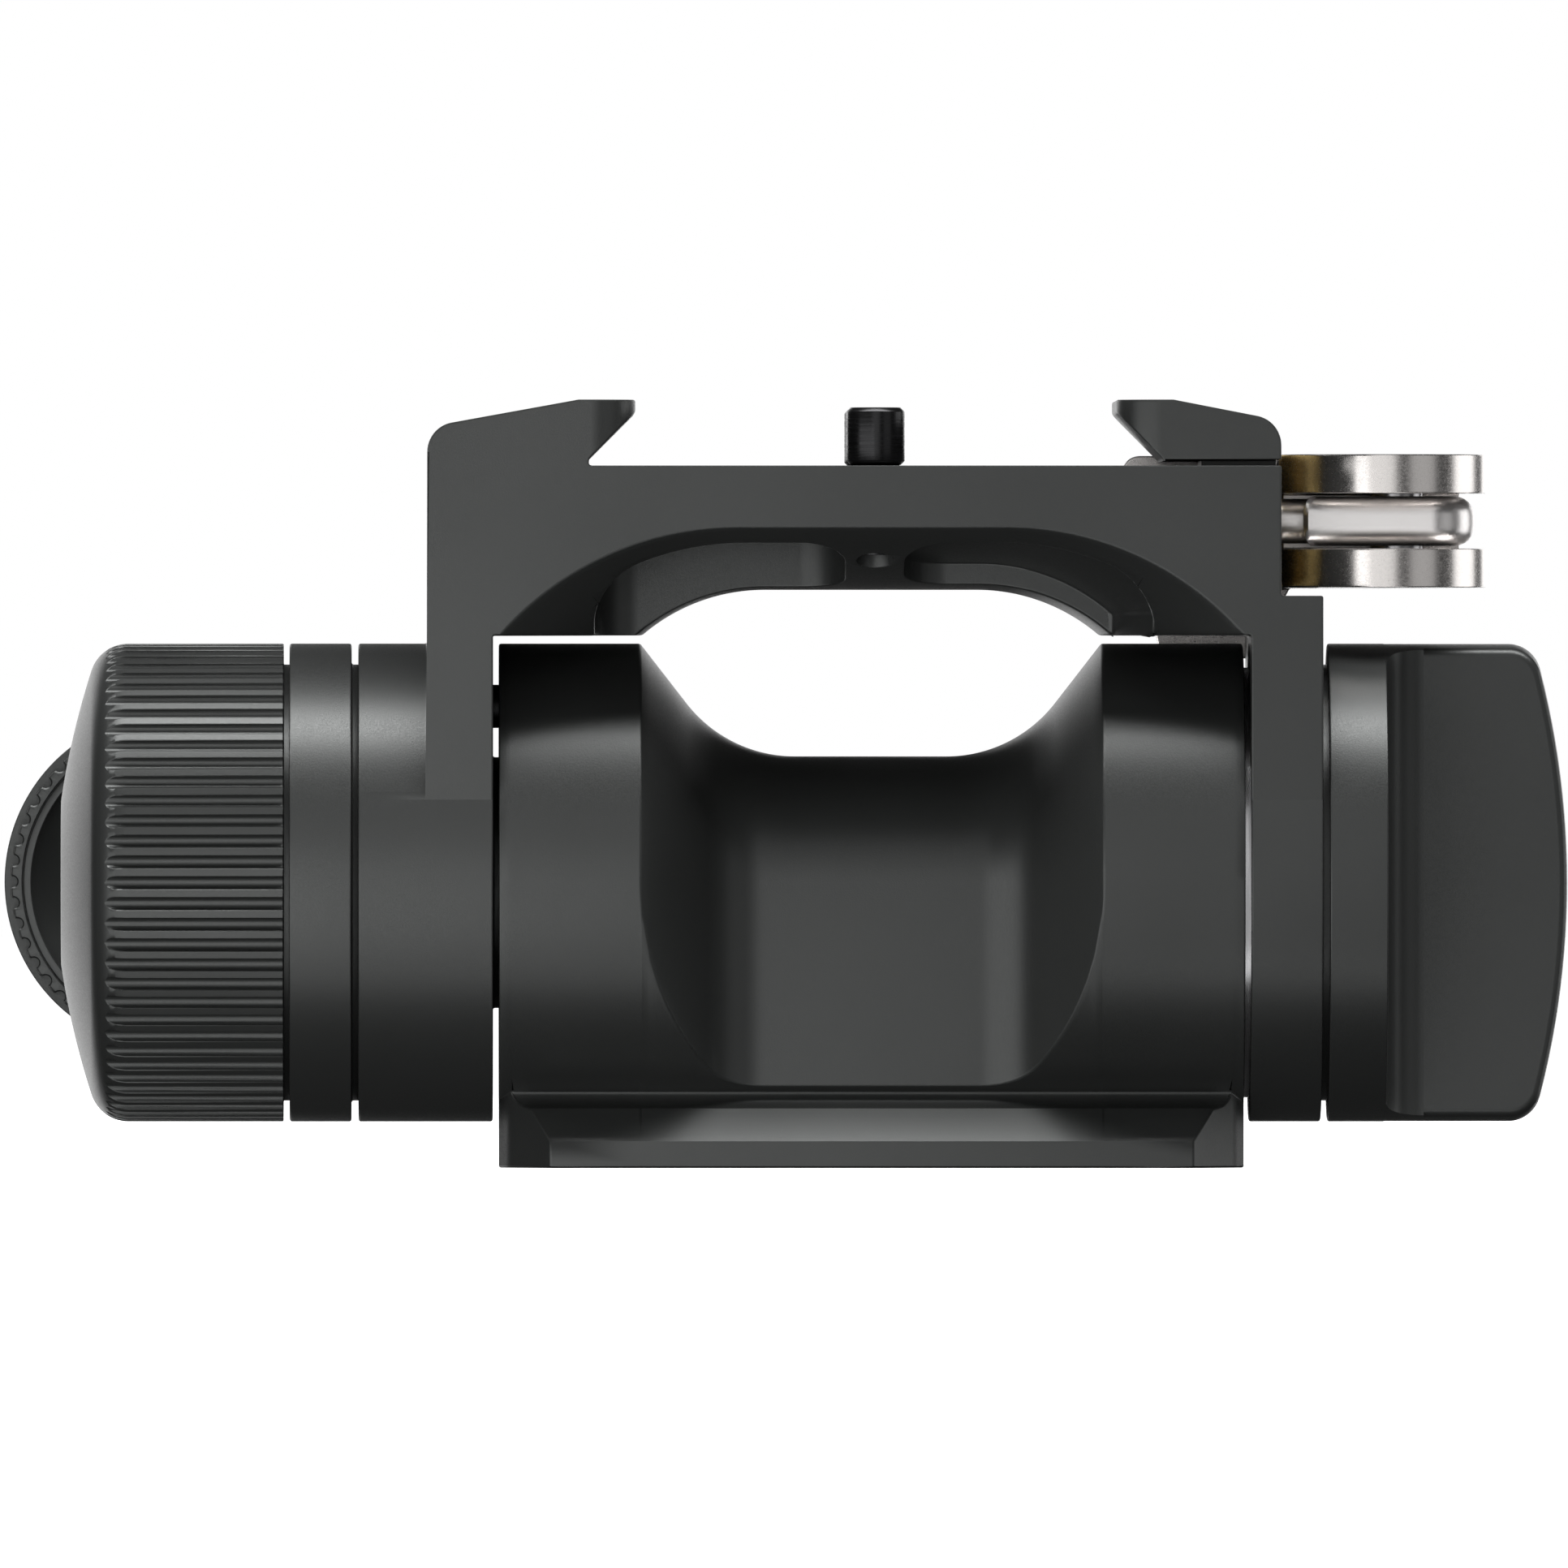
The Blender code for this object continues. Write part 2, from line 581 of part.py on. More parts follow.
def yoke_outline():
    """Return the yoke's outline seen along Y, without its ears' round ends."""
    return fixed_jaw_outline() + [
        (RIGHT_SIDE, CLAMP_FLOOR), (RIGHT_SIDE, SHOULDER), (RIGHT_EAR, SHOULDER), (RIGHT_EAR, 0.0),
        (EAR_INNER, 0.0), (EAR_INNER, UNDERSIDE), (-EAR_INNER, UNDERSIDE), (-EAR_INNER, 0.0),
        (LEFT_ARM, 0.0)]


def arch_share(depth):
    """Return 0 in the middle plane and 1 at the yoke's faces, along a circular crown."""
    drop = ARCH_FACE_RISE - ARCH_MID_RISE
    crown = (YOKE_HALF_DEPTH ** 2 + drop ** 2) / (2 * drop)
    return (crown - math.sqrt(crown ** 2 - depth ** 2)) / drop


def arch_section(depth, lift):
    """Return the arch's outline at one depth, flat on top with an arc down to each side."""
    share = arch_share(depth)
    flat = ARCH_MID_FLAT + (ARCH_FACE_FLAT - ARCH_MID_FLAT) * share
    rise = ARCH_MID_RISE + (ARCH_FACE_RISE - ARCH_MID_RISE) * share
    middle_half = SCOOP_HALF_LENGTH - 0.13 * MM
    half = middle_half + (EAR_INNER - ARCH_INSET - middle_half) * share
    radius = ((half - flat) ** 2 + rise ** 2) / (2 * rise)
    sweep = math.degrees(math.atan2(half - flat, radius - rise))
    top = UNDERSIDE + rise + lift
    right = arc((flat, top - radius), radius, 90 - sweep, 90, 6)
    floor = UNDERSIDE - 1.5 * MM
    side = [(half, floor)] + right
    outline = side + [(-x, z) for x, z in side[::-1]]
    return [(x, depth, z) for x, z in outline]


def make_arch(name, frame, lift=0.0):
    """Return the cutter for the space under the bridge."""
    past = 0.6 * MM
    steps = 8
    span = YOKE_HALF_DEPTH + past
    depths = [span * (2 * step / steps - 1) for step in range(steps + 1)]
    return loft(name, frame, [arch_section(depth, lift) for depth in depths])


def make_pockets(frame):
    """Return the cutters for the relief pockets under the bridge, left deep and right shallow."""
    front_lip = 0.87 * YOKE_HALF_DEPTH
    left = bmesh.new()
    right = bmesh.new()
    for side in (-1, 1):
        near, far = sorted((side * 3.3 * MM, side * front_lip))
        outline = rounded_box_outline((-SCOOP_HALF_LENGTH * 1.2, near), (-1.8 * MM, far), POCKET_CORNER)
        add_prism(left, outline, "Z", UNDERSIDE - MM, CLAMP_FLOOR - POCKET_ROOF)
        near, far = sorted((side * 4.6 * MM, side * front_lip))
        outline = rounded_box_outline((2.2 * MM, near), (SCOOP_HALF_LENGTH * 1.22, far), POCKET_CORNER)
        add_prism(right, outline, "Z", UNDERSIDE - MM, CLAMP_FLOOR - POCKET_ROOF)
    left_pocket = finish_mesh(left, "left_pockets", frame)
    right_pocket = finish_mesh(right, "right_pockets", frame)
    carve(right_pocket, make_arch("pocket_floor", frame, POCKET_SKIN), "INTERSECT")
    return left_pocket, right_pocket


def make_tip_rounds(name, frame, tip, direction, low, high):
    """Return the cutter that rounds a jaw's tip in plan, at the front and the back."""
    mesh_data = bmesh.new()
    for side in (-1, 1):
        centre = (tip - direction * JAW_TIP_ROUND, side * (YOKE_HALF_DEPTH - JAW_TIP_ROUND))
        curve = arc((0.0, 0.0), JAW_TIP_ROUND, 0, 90, 6)
        outline = [(centre[0] + direction * x, centre[1] + side * y) for x, y in curve]
        past = 0.5 * MM
        outline.append((centre[0], centre[1] + side * (JAW_TIP_ROUND + past)))
        outline.append((tip + direction * past, centre[1] + side * (JAW_TIP_ROUND + past)))
        outline.append((tip + direction * past, centre[1]))
        add_prism(mesh_data, outline, "Z", low, high)
    return finish_mesh(mesh_data, name, frame)


def make_ears(frame):
    """Return the two round ears; the left one has a boss that centres it in the drum."""
    boss_end = -EAR_INNER + BOSS_LENGTH
    left_profile = [(LEFT_EAR, 0.0), (LEFT_EAR, DRUM_RADIUS - EDGE_CHAMFER),
                    (LEFT_EAR + EDGE_CHAMFER, DRUM_RADIUS), (-EAR_INNER, DRUM_RADIUS),
                    (-EAR_INNER, BOSS_RADIUS), (boss_end, BOSS_RADIUS), (boss_end, 0.0)]
    left = lathe("left_ear_blank", frame, left_profile)
    right = lathe("right_ear_blank", frame, barrel_profile(EAR_INNER, RIGHT_EAR))
    return left, right


def left_ear_bore_profile():
    """Return the left ear's bore: bush, bearing seat and the recess for the cap's neck."""
    past = MM
    recess = LEFT_EAR + SPIGOT_LAP - GROOVE_WIDTH + CLEARANCE
    seat = LEFT_EAR + BEARING_DEPTH
    end = -EAR_INNER + BOSS_LENGTH + past
    return [(LEFT_EAR - past, 0.0), (LEFT_EAR - past, RECESS_RADIUS), (recess, RECESS_RADIUS),
            (recess, BEARING_SEAT), (seat, BEARING_SEAT), (seat, BUSH_SEAT), (end, BUSH_SEAT), (end, 0.0)]


def right_ear_bore_profile():
    """Return the right ear's bore: washer seat, bush and the recess for the knob's neck."""
    past = MM
    washer = EAR_INNER + MM
    recess = RIGHT_EAR - SPIGOT_LAP + GROOVE_WIDTH - CLEARANCE
    washer_seat = WASHER_RADIUS + CLEARANCE
    return [(EAR_INNER - past / 4, 0.0), (EAR_INNER - past / 4, washer_seat), (washer, washer_seat),
            (washer, BUSH_SEAT), (recess, BUSH_SEAT), (recess, RECESS_RADIUS),
            (RIGHT_EAR + past, RECESS_RADIUS), (RIGHT_EAR + past, 0.0)]


def spring_end():
    """Return where a jaw spring's pocket ends inside the bridge."""
    return SLOT_WALL - 4.5 * MM


def make_yoke_holes(frame):
    """Return the cutter for every round hole along X in the bridge and ears."""
    nut_floor = LEFT_ARM + 3.0 * MM
    rod_hole = [(LEFT_ARM - MM, 0.0), (LEFT_ARM - MM, 4.0 * MM), (nut_floor, 4.0 * MM),
                (nut_floor, TIE_ROD_RADIUS + CLEARANCE), (RIGHT_SIDE + MM, TIE_ROD_RADIUS + CLEARANCE),
                (RIGHT_SIDE + MM, 0.0)]
    mesh_data = bmesh.new()
    add_lathe(mesh_data, rod_hole, PIN_SEGMENTS, "X", (0.0, 0.0, ROD_HEIGHT))
    guide_hole = GUIDE_PIN_RADIUS + CLEARANCE
    pocket = GUIDE_PIN_RADIUS + 1.3 * MM
    step = spring_end()
    guide = [(step - 3.8 * MM, 0.0), (step - 3.8 * MM, guide_hole), (step, guide_hole),
             (step, pocket), (SLOT_WALL + MM, pocket), (SLOT_WALL + MM, 0.0)]
    for _, y in mirrored(GUIDE_PIN_SPACING / 2):
        add_lathe(mesh_data, guide, PIN_SEGMENTS, "X", (0.0, y, ROD_HEIGHT))
    pin_hole = TILT_PIN_RADIUS + CLEARANCE
    add_rod(mesh_data, -EAR_INNER - 3.5 * MM, -EAR_INNER + MM / 4, pin_hole, PIN_SEGMENTS, "X",
            (0.0, 0.0, STOP_RADIUS))
    for centre in cap_screw_places():
        add_rod(mesh_data, LEFT_EAR - MM, LEFT_EAR + 4.9 * MM, 1.1 * MM, SCREW_SEGMENTS, "X", centre)
    return finish_mesh(mesh_data, "bridge_holes", frame)


def make_pin_holes(frame):
    """Return the cutter for the two stop pins' stepped holes through the bridge."""
    stud = STOP_PIN_RADIUS * 0.75 + CLEARANCE
    profile = [(UNDERSIDE, 0.0), (UNDERSIDE, STOP_SCREW_RADIUS + CLEARANCE),
               (CLAMP_FLOOR - 3.4 * MM, STOP_SCREW_RADIUS + CLEARANCE), (CLAMP_FLOOR - 3.4 * MM, stud),
               (CLAMP_FLOOR + MM, stud), (CLAMP_FLOOR + MM, 0.0)]
    mesh_data = bmesh.new()
    for _, y in mirrored(STOP_PIN_SPACING / 2):
        add_lathe(mesh_data, profile, PIN_SEGMENTS, "Z", (PLATE_CENTRE, y, 0.0))
    return finish_mesh(mesh_data, "stop_pin_holes", frame)


def make_yoke(frame, finish):
    """Return the U-shaped bracket with its ears, arched bridge and fixed jaw."""
    yoke = prism("yoke_bracket", frame, yoke_outline(), "Y", -YOKE_HALF_DEPTH, YOKE_HALF_DEPTH)
    for ear in make_ears(frame):
        carve(yoke, ear, "UNION")
    carve(yoke, make_arch("arch_space", frame))
    for pocket in make_pockets(frame):
        carve(yoke, pocket)
    slot = box_outline((SLOT_WALL, -SLOT_HALF_WIDTH), (RIGHT_SIDE + MM, SLOT_HALF_WIDTH))
    carve(yoke, prism("jaw_slot", frame, slot, "Z", SHOULDER, CLAMP_FLOOR + MM))
    tip = PLATE_CENTRE - PLATE_WIDTH / 2 + JAW_OVERHANG
    carve(yoke, make_tip_rounds("fixed_tip_rounds", frame, tip, 1, CLAMP_FLOOR + MM / 20, JAW_TOP + MM))
    carve(yoke, lathe("left_ear_bore", frame, left_ear_bore_profile()))
    carve(yoke, lathe("right_ear_bore", frame, right_ear_bore_profile()))
    carve(yoke, make_yoke_holes(frame))
    carve(yoke, make_pin_holes(frame))
    return dress(yoke, finish)


def make_bushes(frame, brass, steel):
    """Return the two plain bushes and the left thrust bearing."""
    left_end = LEFT_EAR + BEARING_DEPTH + CLEARANCE
    left = tube_profile(left_end, -EAR_INNER + BOSS_LENGTH - CLEARANCE, BORE_RADIUS, BUSH_RADIUS)
    right_end = RIGHT_EAR - SPIGOT_LAP + GROOVE_WIDTH - 2 * CLEARANCE
    right = tube_profile(EAR_INNER + MM + CLEARANCE, right_end, BORE_RADIUS, BUSH_RADIUS)
    dress(lathe("bush_left", frame, left, MIDDLE_SEGMENTS), brass)
    dress(lathe("bush_right", frame, right, MIDDLE_SEGMENTS), brass)
    start = LEFT_EAR + 2 * CLEARANCE
    bearing = tube_profile(start, left_end - 2 * CLEARANCE, BORE_RADIUS, BEARING_RADIUS)
    dress(lathe("needle_bearing", frame, bearing, MIDDLE_SEGMENTS), steel)


def cap_screw_places():
    """Return the centres of the three screws that hold the bearing cap."""
    radius = (BEARING_SEAT + GROOVE_RADIUS) / 2
    places = []
    for index in range(3):
        angle = math.radians(30 + 120 * index)
        places.append((0.0, radius * math.cos(angle), radius * math.sin(angle)))
    return places


def make_bearing_cap(frame, finish, steel):
    """Return the plain ring that closes the left ear, its spigot and its three screws."""
    neck = LEFT_EAR - GROOVE_WIDTH + SPIGOT_LAP
    recess = CAP_END + SPIGOT_LAP - RUNNING_GAP + CLEARANCE
    pocket = recess + 1.3 * MM
    screw_hole = HUB_SCREW_RADIUS + CLEARANCE
    chamfer = EDGE_CHAMFER
    profile = [
        (pocket, 0.0), (pocket, BEARING_SEAT), (neck, BEARING_SEAT), (neck, GROOVE_RADIUS),
        (CAP_START, GROOVE_RADIUS), (CAP_START, DRUM_RADIUS - chamfer), (CAP_START - chamfer, DRUM_RADIUS),
        (CAP_END + chamfer, DRUM_RADIUS), (CAP_END, DRUM_RADIUS - chamfer), (CAP_END, RECESS_RADIUS),
        (recess, RECESS_RADIUS), (recess, SPIGOT_RADIUS), (SPIGOT_END, SPIGOT_RADIUS),
        (SPIGOT_END, screw_hole), (CAP_END - 1.5 * MM, screw_hole), (CAP_END - 1.5 * MM, 0.0)]
    cap = lathe("bearing_cap", frame, profile)
    shank = [(recess - MM, neck + MM, 1.1 * MM, centre) for centre in cap_screw_places()]
    heads = [(recess - MM, recess + 1.9 * MM, 1.5 * MM, centre) for centre in cap_screw_places()]
    carve(cap, rods("cap_shank_holes", frame, shank, SCREW_SEGMENTS))
    carve(cap, rods("cap_head_holes", frame, heads, SCREW_SEGMENTS))
    dress(cap, finish)
    top = recess + CLEARANCE
    screw = screw_profile(1.2 * MM, 1.3 * MM, 0.8 * MM, 8.0 * MM, 0.55 * MM)
    for index, centre in enumerate(cap_screw_places()):
        name = "cap_screw_%d" % (index + 1)
        dress(lathe(name, frame, shifted(screw, top, -1), SCREW_SEGMENTS, "X", centre), steel)


def make_tilt_stop(frame, finish):
    """Return the pin in the left ear that stops the tilt at both ends of its track."""
    profile = barrel_profile(-EAR_INNER - 3.2 * MM, -EAR_INNER + 3.1 * MM, TILT_PIN_RADIUS, 0.2 * MM)
    return dress(lathe("tilt_stop_pin", frame, profile, PIN_SEGMENTS, "X", (0.0, 0.0, STOP_RADIUS)), finish)


def make_stop_pins(frame, pin_finish, steel):
    """Return the two pins on the clamp floor and the screws that hold them from below."""
    stud = 0.75 * STOP_PIN_RADIUS
    bottom = CLAMP_FLOOR - 3.4 * MM + CLEARANCE
    base = CLAMP_FLOOR + MM / 20
    top = CLAMP_FLOOR + STOP_PIN_HEIGHT
    chamfer = 0.27 * MM
    tap = STOP_SCREW_RADIUS * 0.7 + CLEARANCE
    profile = [(base - 0.7 * MM, 0.0), (base - 0.7 * MM, tap), (bottom, tap), (bottom, stud), (base, stud),
               (base, STOP_PIN_RADIUS - chamfer), (base + chamfer, STOP_PIN_RADIUS),
               (top - chamfer, STOP_PIN_RADIUS), (top, STOP_PIN_RADIUS - chamfer), (top, 0.0)]
    low = UNDERSIDE + ARCH_MID_RISE + 2.3 * MM
    shoulder = bottom - CLEARANCE
    tip = base - 0.7 * MM - CLEARANCE
    screw = [(low + 0.8 * MM, 0.0), (low + 0.8 * MM, 0.4 * MM, "hex"), (low, 0.4 * MM, "hex"),
             (low, STOP_SCREW_RADIUS), (shoulder, STOP_SCREW_RADIUS),
             (shoulder, 0.7 * STOP_SCREW_RADIUS), (tip, 0.7 * STOP_SCREW_RADIUS), (tip, 0.0)]
    for name, y in mirrored(STOP_PIN_SPACING / 2):
        centre = (PLATE_CENTRE, y, 0.0)
        dress(lathe("stop_pin_" + name, frame, profile, MIDDLE_SEGMENTS, "Z", centre), pin_finish)
        dress(lathe("stop_pin_screw_" + name, frame, screw, SCREW_SEGMENTS, "Z", centre), steel)


# Clamp --------------------------------------------------------------------------------
def add_helix(mesh_data, start, length, radius, wire, turns, centre, sides=4, steps=8):
    """Add a coil spring along X: a closed tube that follows a helix."""
    rings = []
    count = turns * steps
    for step in range(count + 1):
        angle = 2 * math.pi * step / steps
        along = start + wire + (length - 2 * wire) * step / count
        outward = Vector((0.0, math.cos(angle), math.sin(angle)))
        middle = Vector((along, centre[1], centre[2])) + radius * outward
        ring = []
        for side in range(sides):
            spin = 2 * math.pi * side / sides
            offset = wire * (math.cos(spin) * outward + math.sin(spin) * Vector((1.0, 0.0, 0.0)))
            ring.append(mesh_data.verts.new(middle + offset))
        rings.append(ring)
    for first, second in zip(rings, rings[1:]):
        join_rings(mesh_data, first, second, sides)
    mesh_data.faces.new(rings[0][::-1])
    mesh_data.faces.new(rings[-1])


def make_jaw_guides(frame, steel):
    """Return the jaw's two guide pins and the two springs around them."""
    pin = barrel_profile(spring_end() - 3.5 * MM, LEG_OUTER - 1.3 * MM, GUIDE_PIN_RADIUS, 0.2 * MM)
    for name, y in mirrored(GUIDE_PIN_SPACING / 2):
        centre = (0.0, y, ROD_HEIGHT)
        dress(lathe("guide_pin_" + name, frame, pin, SCREW_SEGMENTS, "X", centre), steel)
        mesh_data = bmesh.new()
        start = spring_end() + CLEARANCE
        radius = GUIDE_PIN_RADIUS + CLEARANCE + SPRING_WIRE_RADIUS + 0.1 * MM
        add_helix(mesh_data, start, SLOT_WALL - start, radius, SPRING_WIRE_RADIUS, SPRING_TURNS, centre)
        dress(finish_mesh(mesh_data, "jaw_spring_" + name, frame), steel)


def eye_outline():
    """Return the tie rod's flat end in plan: a round eye on a bar."""
    bar = 2.4 * MM
    root = CAM_FACE + JAW_TRAVEL + CLEARANCE
    meet = math.degrees(math.asin(bar / EYE_RADIUS))
    points = arc((LEVER_PIN, 0.0), EYE_RADIUS, -180 + meet, 180 - meet, 18)
    points += [(root + MM, bar), (root, TIE_ROD_RADIUS), (root, -TIE_ROD_RADIUS), (root + MM, -bar)]
    return points


def make_tie_rod(frame, steel):
    """Return the rod that ties the lever to the bridge, and its nut."""
    rod_end = CAM_FACE + JAW_TRAVEL + 2 * MM
    shank = barrel_profile(LEFT_ARM + 0.8 * MM, rod_end, TIE_ROD_RADIUS, 0.2 * MM)
    rod = lathe("tie_rod", frame, shank, PIN_SEGMENTS, "X", (0.0, 0.0, ROD_HEIGHT))
    low = ROD_HEIGHT - EYE_THICKNESS / 2
    eye = prism("eye_blank", frame, eye_outline(), "Z", low, low + EYE_THICKNESS)
    rounding = eye.modifiers.new("full_round", "BEVEL")
    rounding.width = 0.42 * EYE_THICKNESS
    rounding.segments = 2
    rounding.limit_method = "ANGLE"
    rounding.angle_limit = math.radians(50)
    carve(rod, eye, "UNION")
    hole = LEVER_PIN_RADIUS + CLEARANCE
    height = EYE_THICKNESS
    bore = [(ROD_HEIGHT - height, ROD_HEIGHT + height, hole, (LEVER_PIN, 0.0, 0.0))]
    carve(rod, rods("eye_bore", frame, bore, PIN_SEGMENTS, "Z"))
    dress(rod, steel)
    start = LEFT_ARM + CLEARANCE
    end = LEFT_ARM + 3.0 * MM - CLEARANCE
    inner = TIE_ROD_RADIUS + CLEARANCE
    nut = [(start, inner), (start, 3.0 * MM, "hex"), (end, 3.0 * MM, "hex"), (end, inner)]
    dress(lathe("tie_rod_nut", frame, nut, SCREW_SEGMENTS, "X", (0.0, 0.0, ROD_HEIGHT)), steel)


def moving_jaw_outline():
    """Return the moving jaw's outline seen along Y."""
    tip = PLATE_CENTRE + PLATE_WIDTH / 2 - JAW_OVERHANG
    relief = tip + JAW_OVERHANG
    undercut = CLAMP_FLOOR + JAW_RELIEF
    points = [(RIGHT_SIDE, JAW_BOTTOM)]
    points += arc((RIGHT_SIDE - JAW_CORNER, CLAMP_FLOOR + 1.35 * MM), JAW_CORNER, 0, 77, 5)
    points += [(tip + JAW_FLAT, JAW_TOP), (tip, JAW_TOP), (tip, undercut + JAW_OVERHANG)]
    points.append((relief, undercut))
    if JAW_BOTTOM < undercut - MM / 100:
        points.append((relief, JAW_BOTTOM))
    return points


def make_moving_jaw(frame, finish, brass, steel):
    """Return the sliding jaw with its leg, the cam plate on it and the plate's screws."""
    jaw = prism("moving_jaw", frame, moving_jaw_outline(), "Y", -YOKE_HALF_DEPTH, YOKE_HALF_DEPTH)
    leg = box_outline((LEG_INNER, -LEG_HALF_WIDTH), (LEG_OUTER, LEG_HALF_WIDTH))
    carve(jaw, prism("jaw_leg", frame, leg, "Z", LEG_BOTTOM, JAW_BOTTOM + MM), "UNION")
    tip = PLATE_CENTRE + PLATE_WIDTH / 2 - JAW_OVERHANG
    carve(jaw, make_tip_rounds("moving_tip_rounds", frame, tip, -1, JAW_BOTTOM - MM, JAW_TOP + MM))
    half = CAM_PLATE_HALF_WIDTH + CLEARANCE
    seat = box_outline((CAM_SEAT, -half), (RIGHT_SIDE + MM, half))
    carve(jaw, prism("cam_seat", frame, seat, "Z", LEG_BOTTOM - MM, JAW_BOTTOM + 1.3 * MM))
    carve(jaw, make_leg_holes(frame))
    dress(jaw, finish)
    make_cam_plate(frame, brass, steel)


def cam_screw_place():
    """Return how far a cam plate screw stands from the tie rod."""
    return (TIE_ROD_RADIUS + CAM_PLATE_HALF_WIDTH) / 2 + 0.5 * MM


def make_leg_holes(frame):
    """Return the cutter for the holes through the jaw's leg."""
    mesh_data = bmesh.new()
    start = LEG_INNER - MM
    rod_hole = TIE_ROD_RADIUS + 2 * CLEARANCE
    add_rod(mesh_data, start, RIGHT_SIDE + MM, rod_hole, PIN_SEGMENTS, "X", (0.0, 0.0, ROD_HEIGHT))
    for _, y in mirrored(GUIDE_PIN_SPACING / 2):
        hole = GUIDE_PIN_RADIUS + CLEARANCE
        add_rod(mesh_data, start, LEG_OUTER - MM, hole, PIN_SEGMENTS, "X", (0.0, y, ROD_HEIGHT))
    depth = CAM_SEAT - 2.8 * MM
    for _, y in mirrored(cam_screw_place()):
        add_rod(mesh_data, depth, CAM_SEAT + MM, 1.1 * MM, SCREW_SEGMENTS, "X", (0.0, y, ROD_HEIGHT))
    return finish_mesh(mesh_data, "leg_holes", frame)


def make_cam_plate(frame, brass, steel):
    """Return the brass plate that the lever's cam bears on, and its two screws."""
    inner = CAM_SEAT + CLEARANCE
    outline = rounded_box_outline((-CAM_PLATE_HALF_WIDTH, LEG_BOTTOM + CLEARANCE),
                                  (CAM_PLATE_HALF_WIDTH, JAW_BOTTOM + MM), 0.8 * MM, 3)
    plate = prism("cam_plate", frame, outline, "X", inner, CAM_FACE)
    mesh_data = bmesh.new()
    rod_hole = TIE_ROD_RADIUS + 2 * CLEARANCE
    add_rod(mesh_data, inner - MM, CAM_FACE + MM, rod_hole, PIN_SEGMENTS, "X", (0.0, 0.0, ROD_HEIGHT))
    for _, y in mirrored(cam_screw_place()):
        add_rod(mesh_data, inner - MM, CAM_FACE + MM, 1.1 * MM, SCREW_SEGMENTS, "X", (0.0, y, ROD_HEIGHT))
    carve(plate, finish_mesh(mesh_data, "cam_plate_holes", frame))
    dress(plate, brass)
    length = CAM_PLATE_THICKNESS + 2.4 * MM
    socket = 0.35 * MM
    profile = [(-0.5 * MM, 0.0), (-0.5 * MM, socket, "hex"), (0.0, socket, "hex"), (0.0, 0.8 * MM),
               (-length, 0.8 * MM), (-length, 0.0)]
    for name, y in mirrored(cam_screw_place()):
        centre = (0.0, y, ROD_HEIGHT)
        points = shifted(profile, CAM_FACE - 0.1 * MM)
        dress(lathe("cam_plate_screw_" + name, frame, points, SCREW_SEGMENTS, "X", centre), steel)


def lever_outline():
    """Return the lever in plan: round head, arm to the back and the start of the paddle."""
    inner = RIGHT_SIDE + 1.2 * CLEARANCE
    back = PADDLE_FACE + PADDLE_THICKNESS
    lean = math.degrees(math.acos((LEVER_HEAD - inner) / LEVER_HEAD_RADIUS))
    points = arc((LEVER_HEAD, 0.0), LEVER_HEAD_RADIUS, 180 - lean, 395, 18)
    corner = 6.0 * MM
    edge = LEVER_HEAD + 4.2 * MM
    points += arc((edge - corner, back - corner), corner, 0, 90, 6)
    points += [(inner - 2.0 * MM, back), (inner - 2.0 * MM, PADDLE_FACE), (inner, PADDLE_FACE)]
    return points


def paddle_outline():
    """Return the paddle behind the bridge, seen along Y, with a slanting round tip."""
    tip = RIGHT_SIDE - PADDLE_REACH
    low = UNDERSIDE - PADDLE_DROP
    root = RIGHT_SIDE + MM
    slant = 2.4 * MM
    corner = 1.2 * MM
    points = [(root, LEVER_TOP)]
    points += arc((tip + corner, LEVER_TOP - corner), corner, 90, 180, 3)
    points += arc((tip + slant + corner, low + corner), corner, 190, 270, 3)
    points += [(root - 2.5 * MM, low), (root, LEVER_BOTTOM)]
    return points


def make_lever(frame, polished, steel):
    """Return the forked clamp lever and the pin it turns on."""
    lever = prism("clamp_lever", frame, lever_outline(), "Z", LEVER_BOTTOM, LEVER_TOP)
    paddle_back = PADDLE_FACE + PADDLE_THICKNESS
    paddle = prism("lever_paddle", frame, paddle_outline(), "Y", PADDLE_FACE, paddle_back)
    carve(lever, paddle, "UNION")
    reach = EYE_RADIUS + LEVER_ECCENTRICITY + 2 * CLEARANCE
    slot = box_outline((LEVER_HEAD - 2 * LEVER_HEAD_RADIUS, -2 * LEVER_HEAD_RADIUS),
                       (LEVER_HEAD + 2 * LEVER_HEAD_RADIUS, reach))
    slot_floor = ROD_HEIGHT - FORK_HALF_GAP
    carve(lever, prism("fork_slot", frame, slot, "Z", slot_floor, slot_floor + 2 * FORK_HALF_GAP))
    hole = LEVER_PIN_RADIUS + CLEARANCE
    bore = [(LEVER_BOTTOM - MM, LEVER_TOP + MM, hole, (LEVER_PIN, 0.0, 0.0))]
    carve(lever, rods("lever_bore", frame, bore, PIN_SEGMENTS, "Z"))
    dress(lever, polished)
    pin = barrel_profile(LEVER_BOTTOM + 0.1 * MM, LEVER_TOP - 0.1 * MM, LEVER_PIN_RADIUS, 0.2 * MM)
    dress(lathe("lever_pin", frame, pin, PIN_SEGMENTS, "Z", (LEVER_PIN, 0.0, 0.0)), steel)


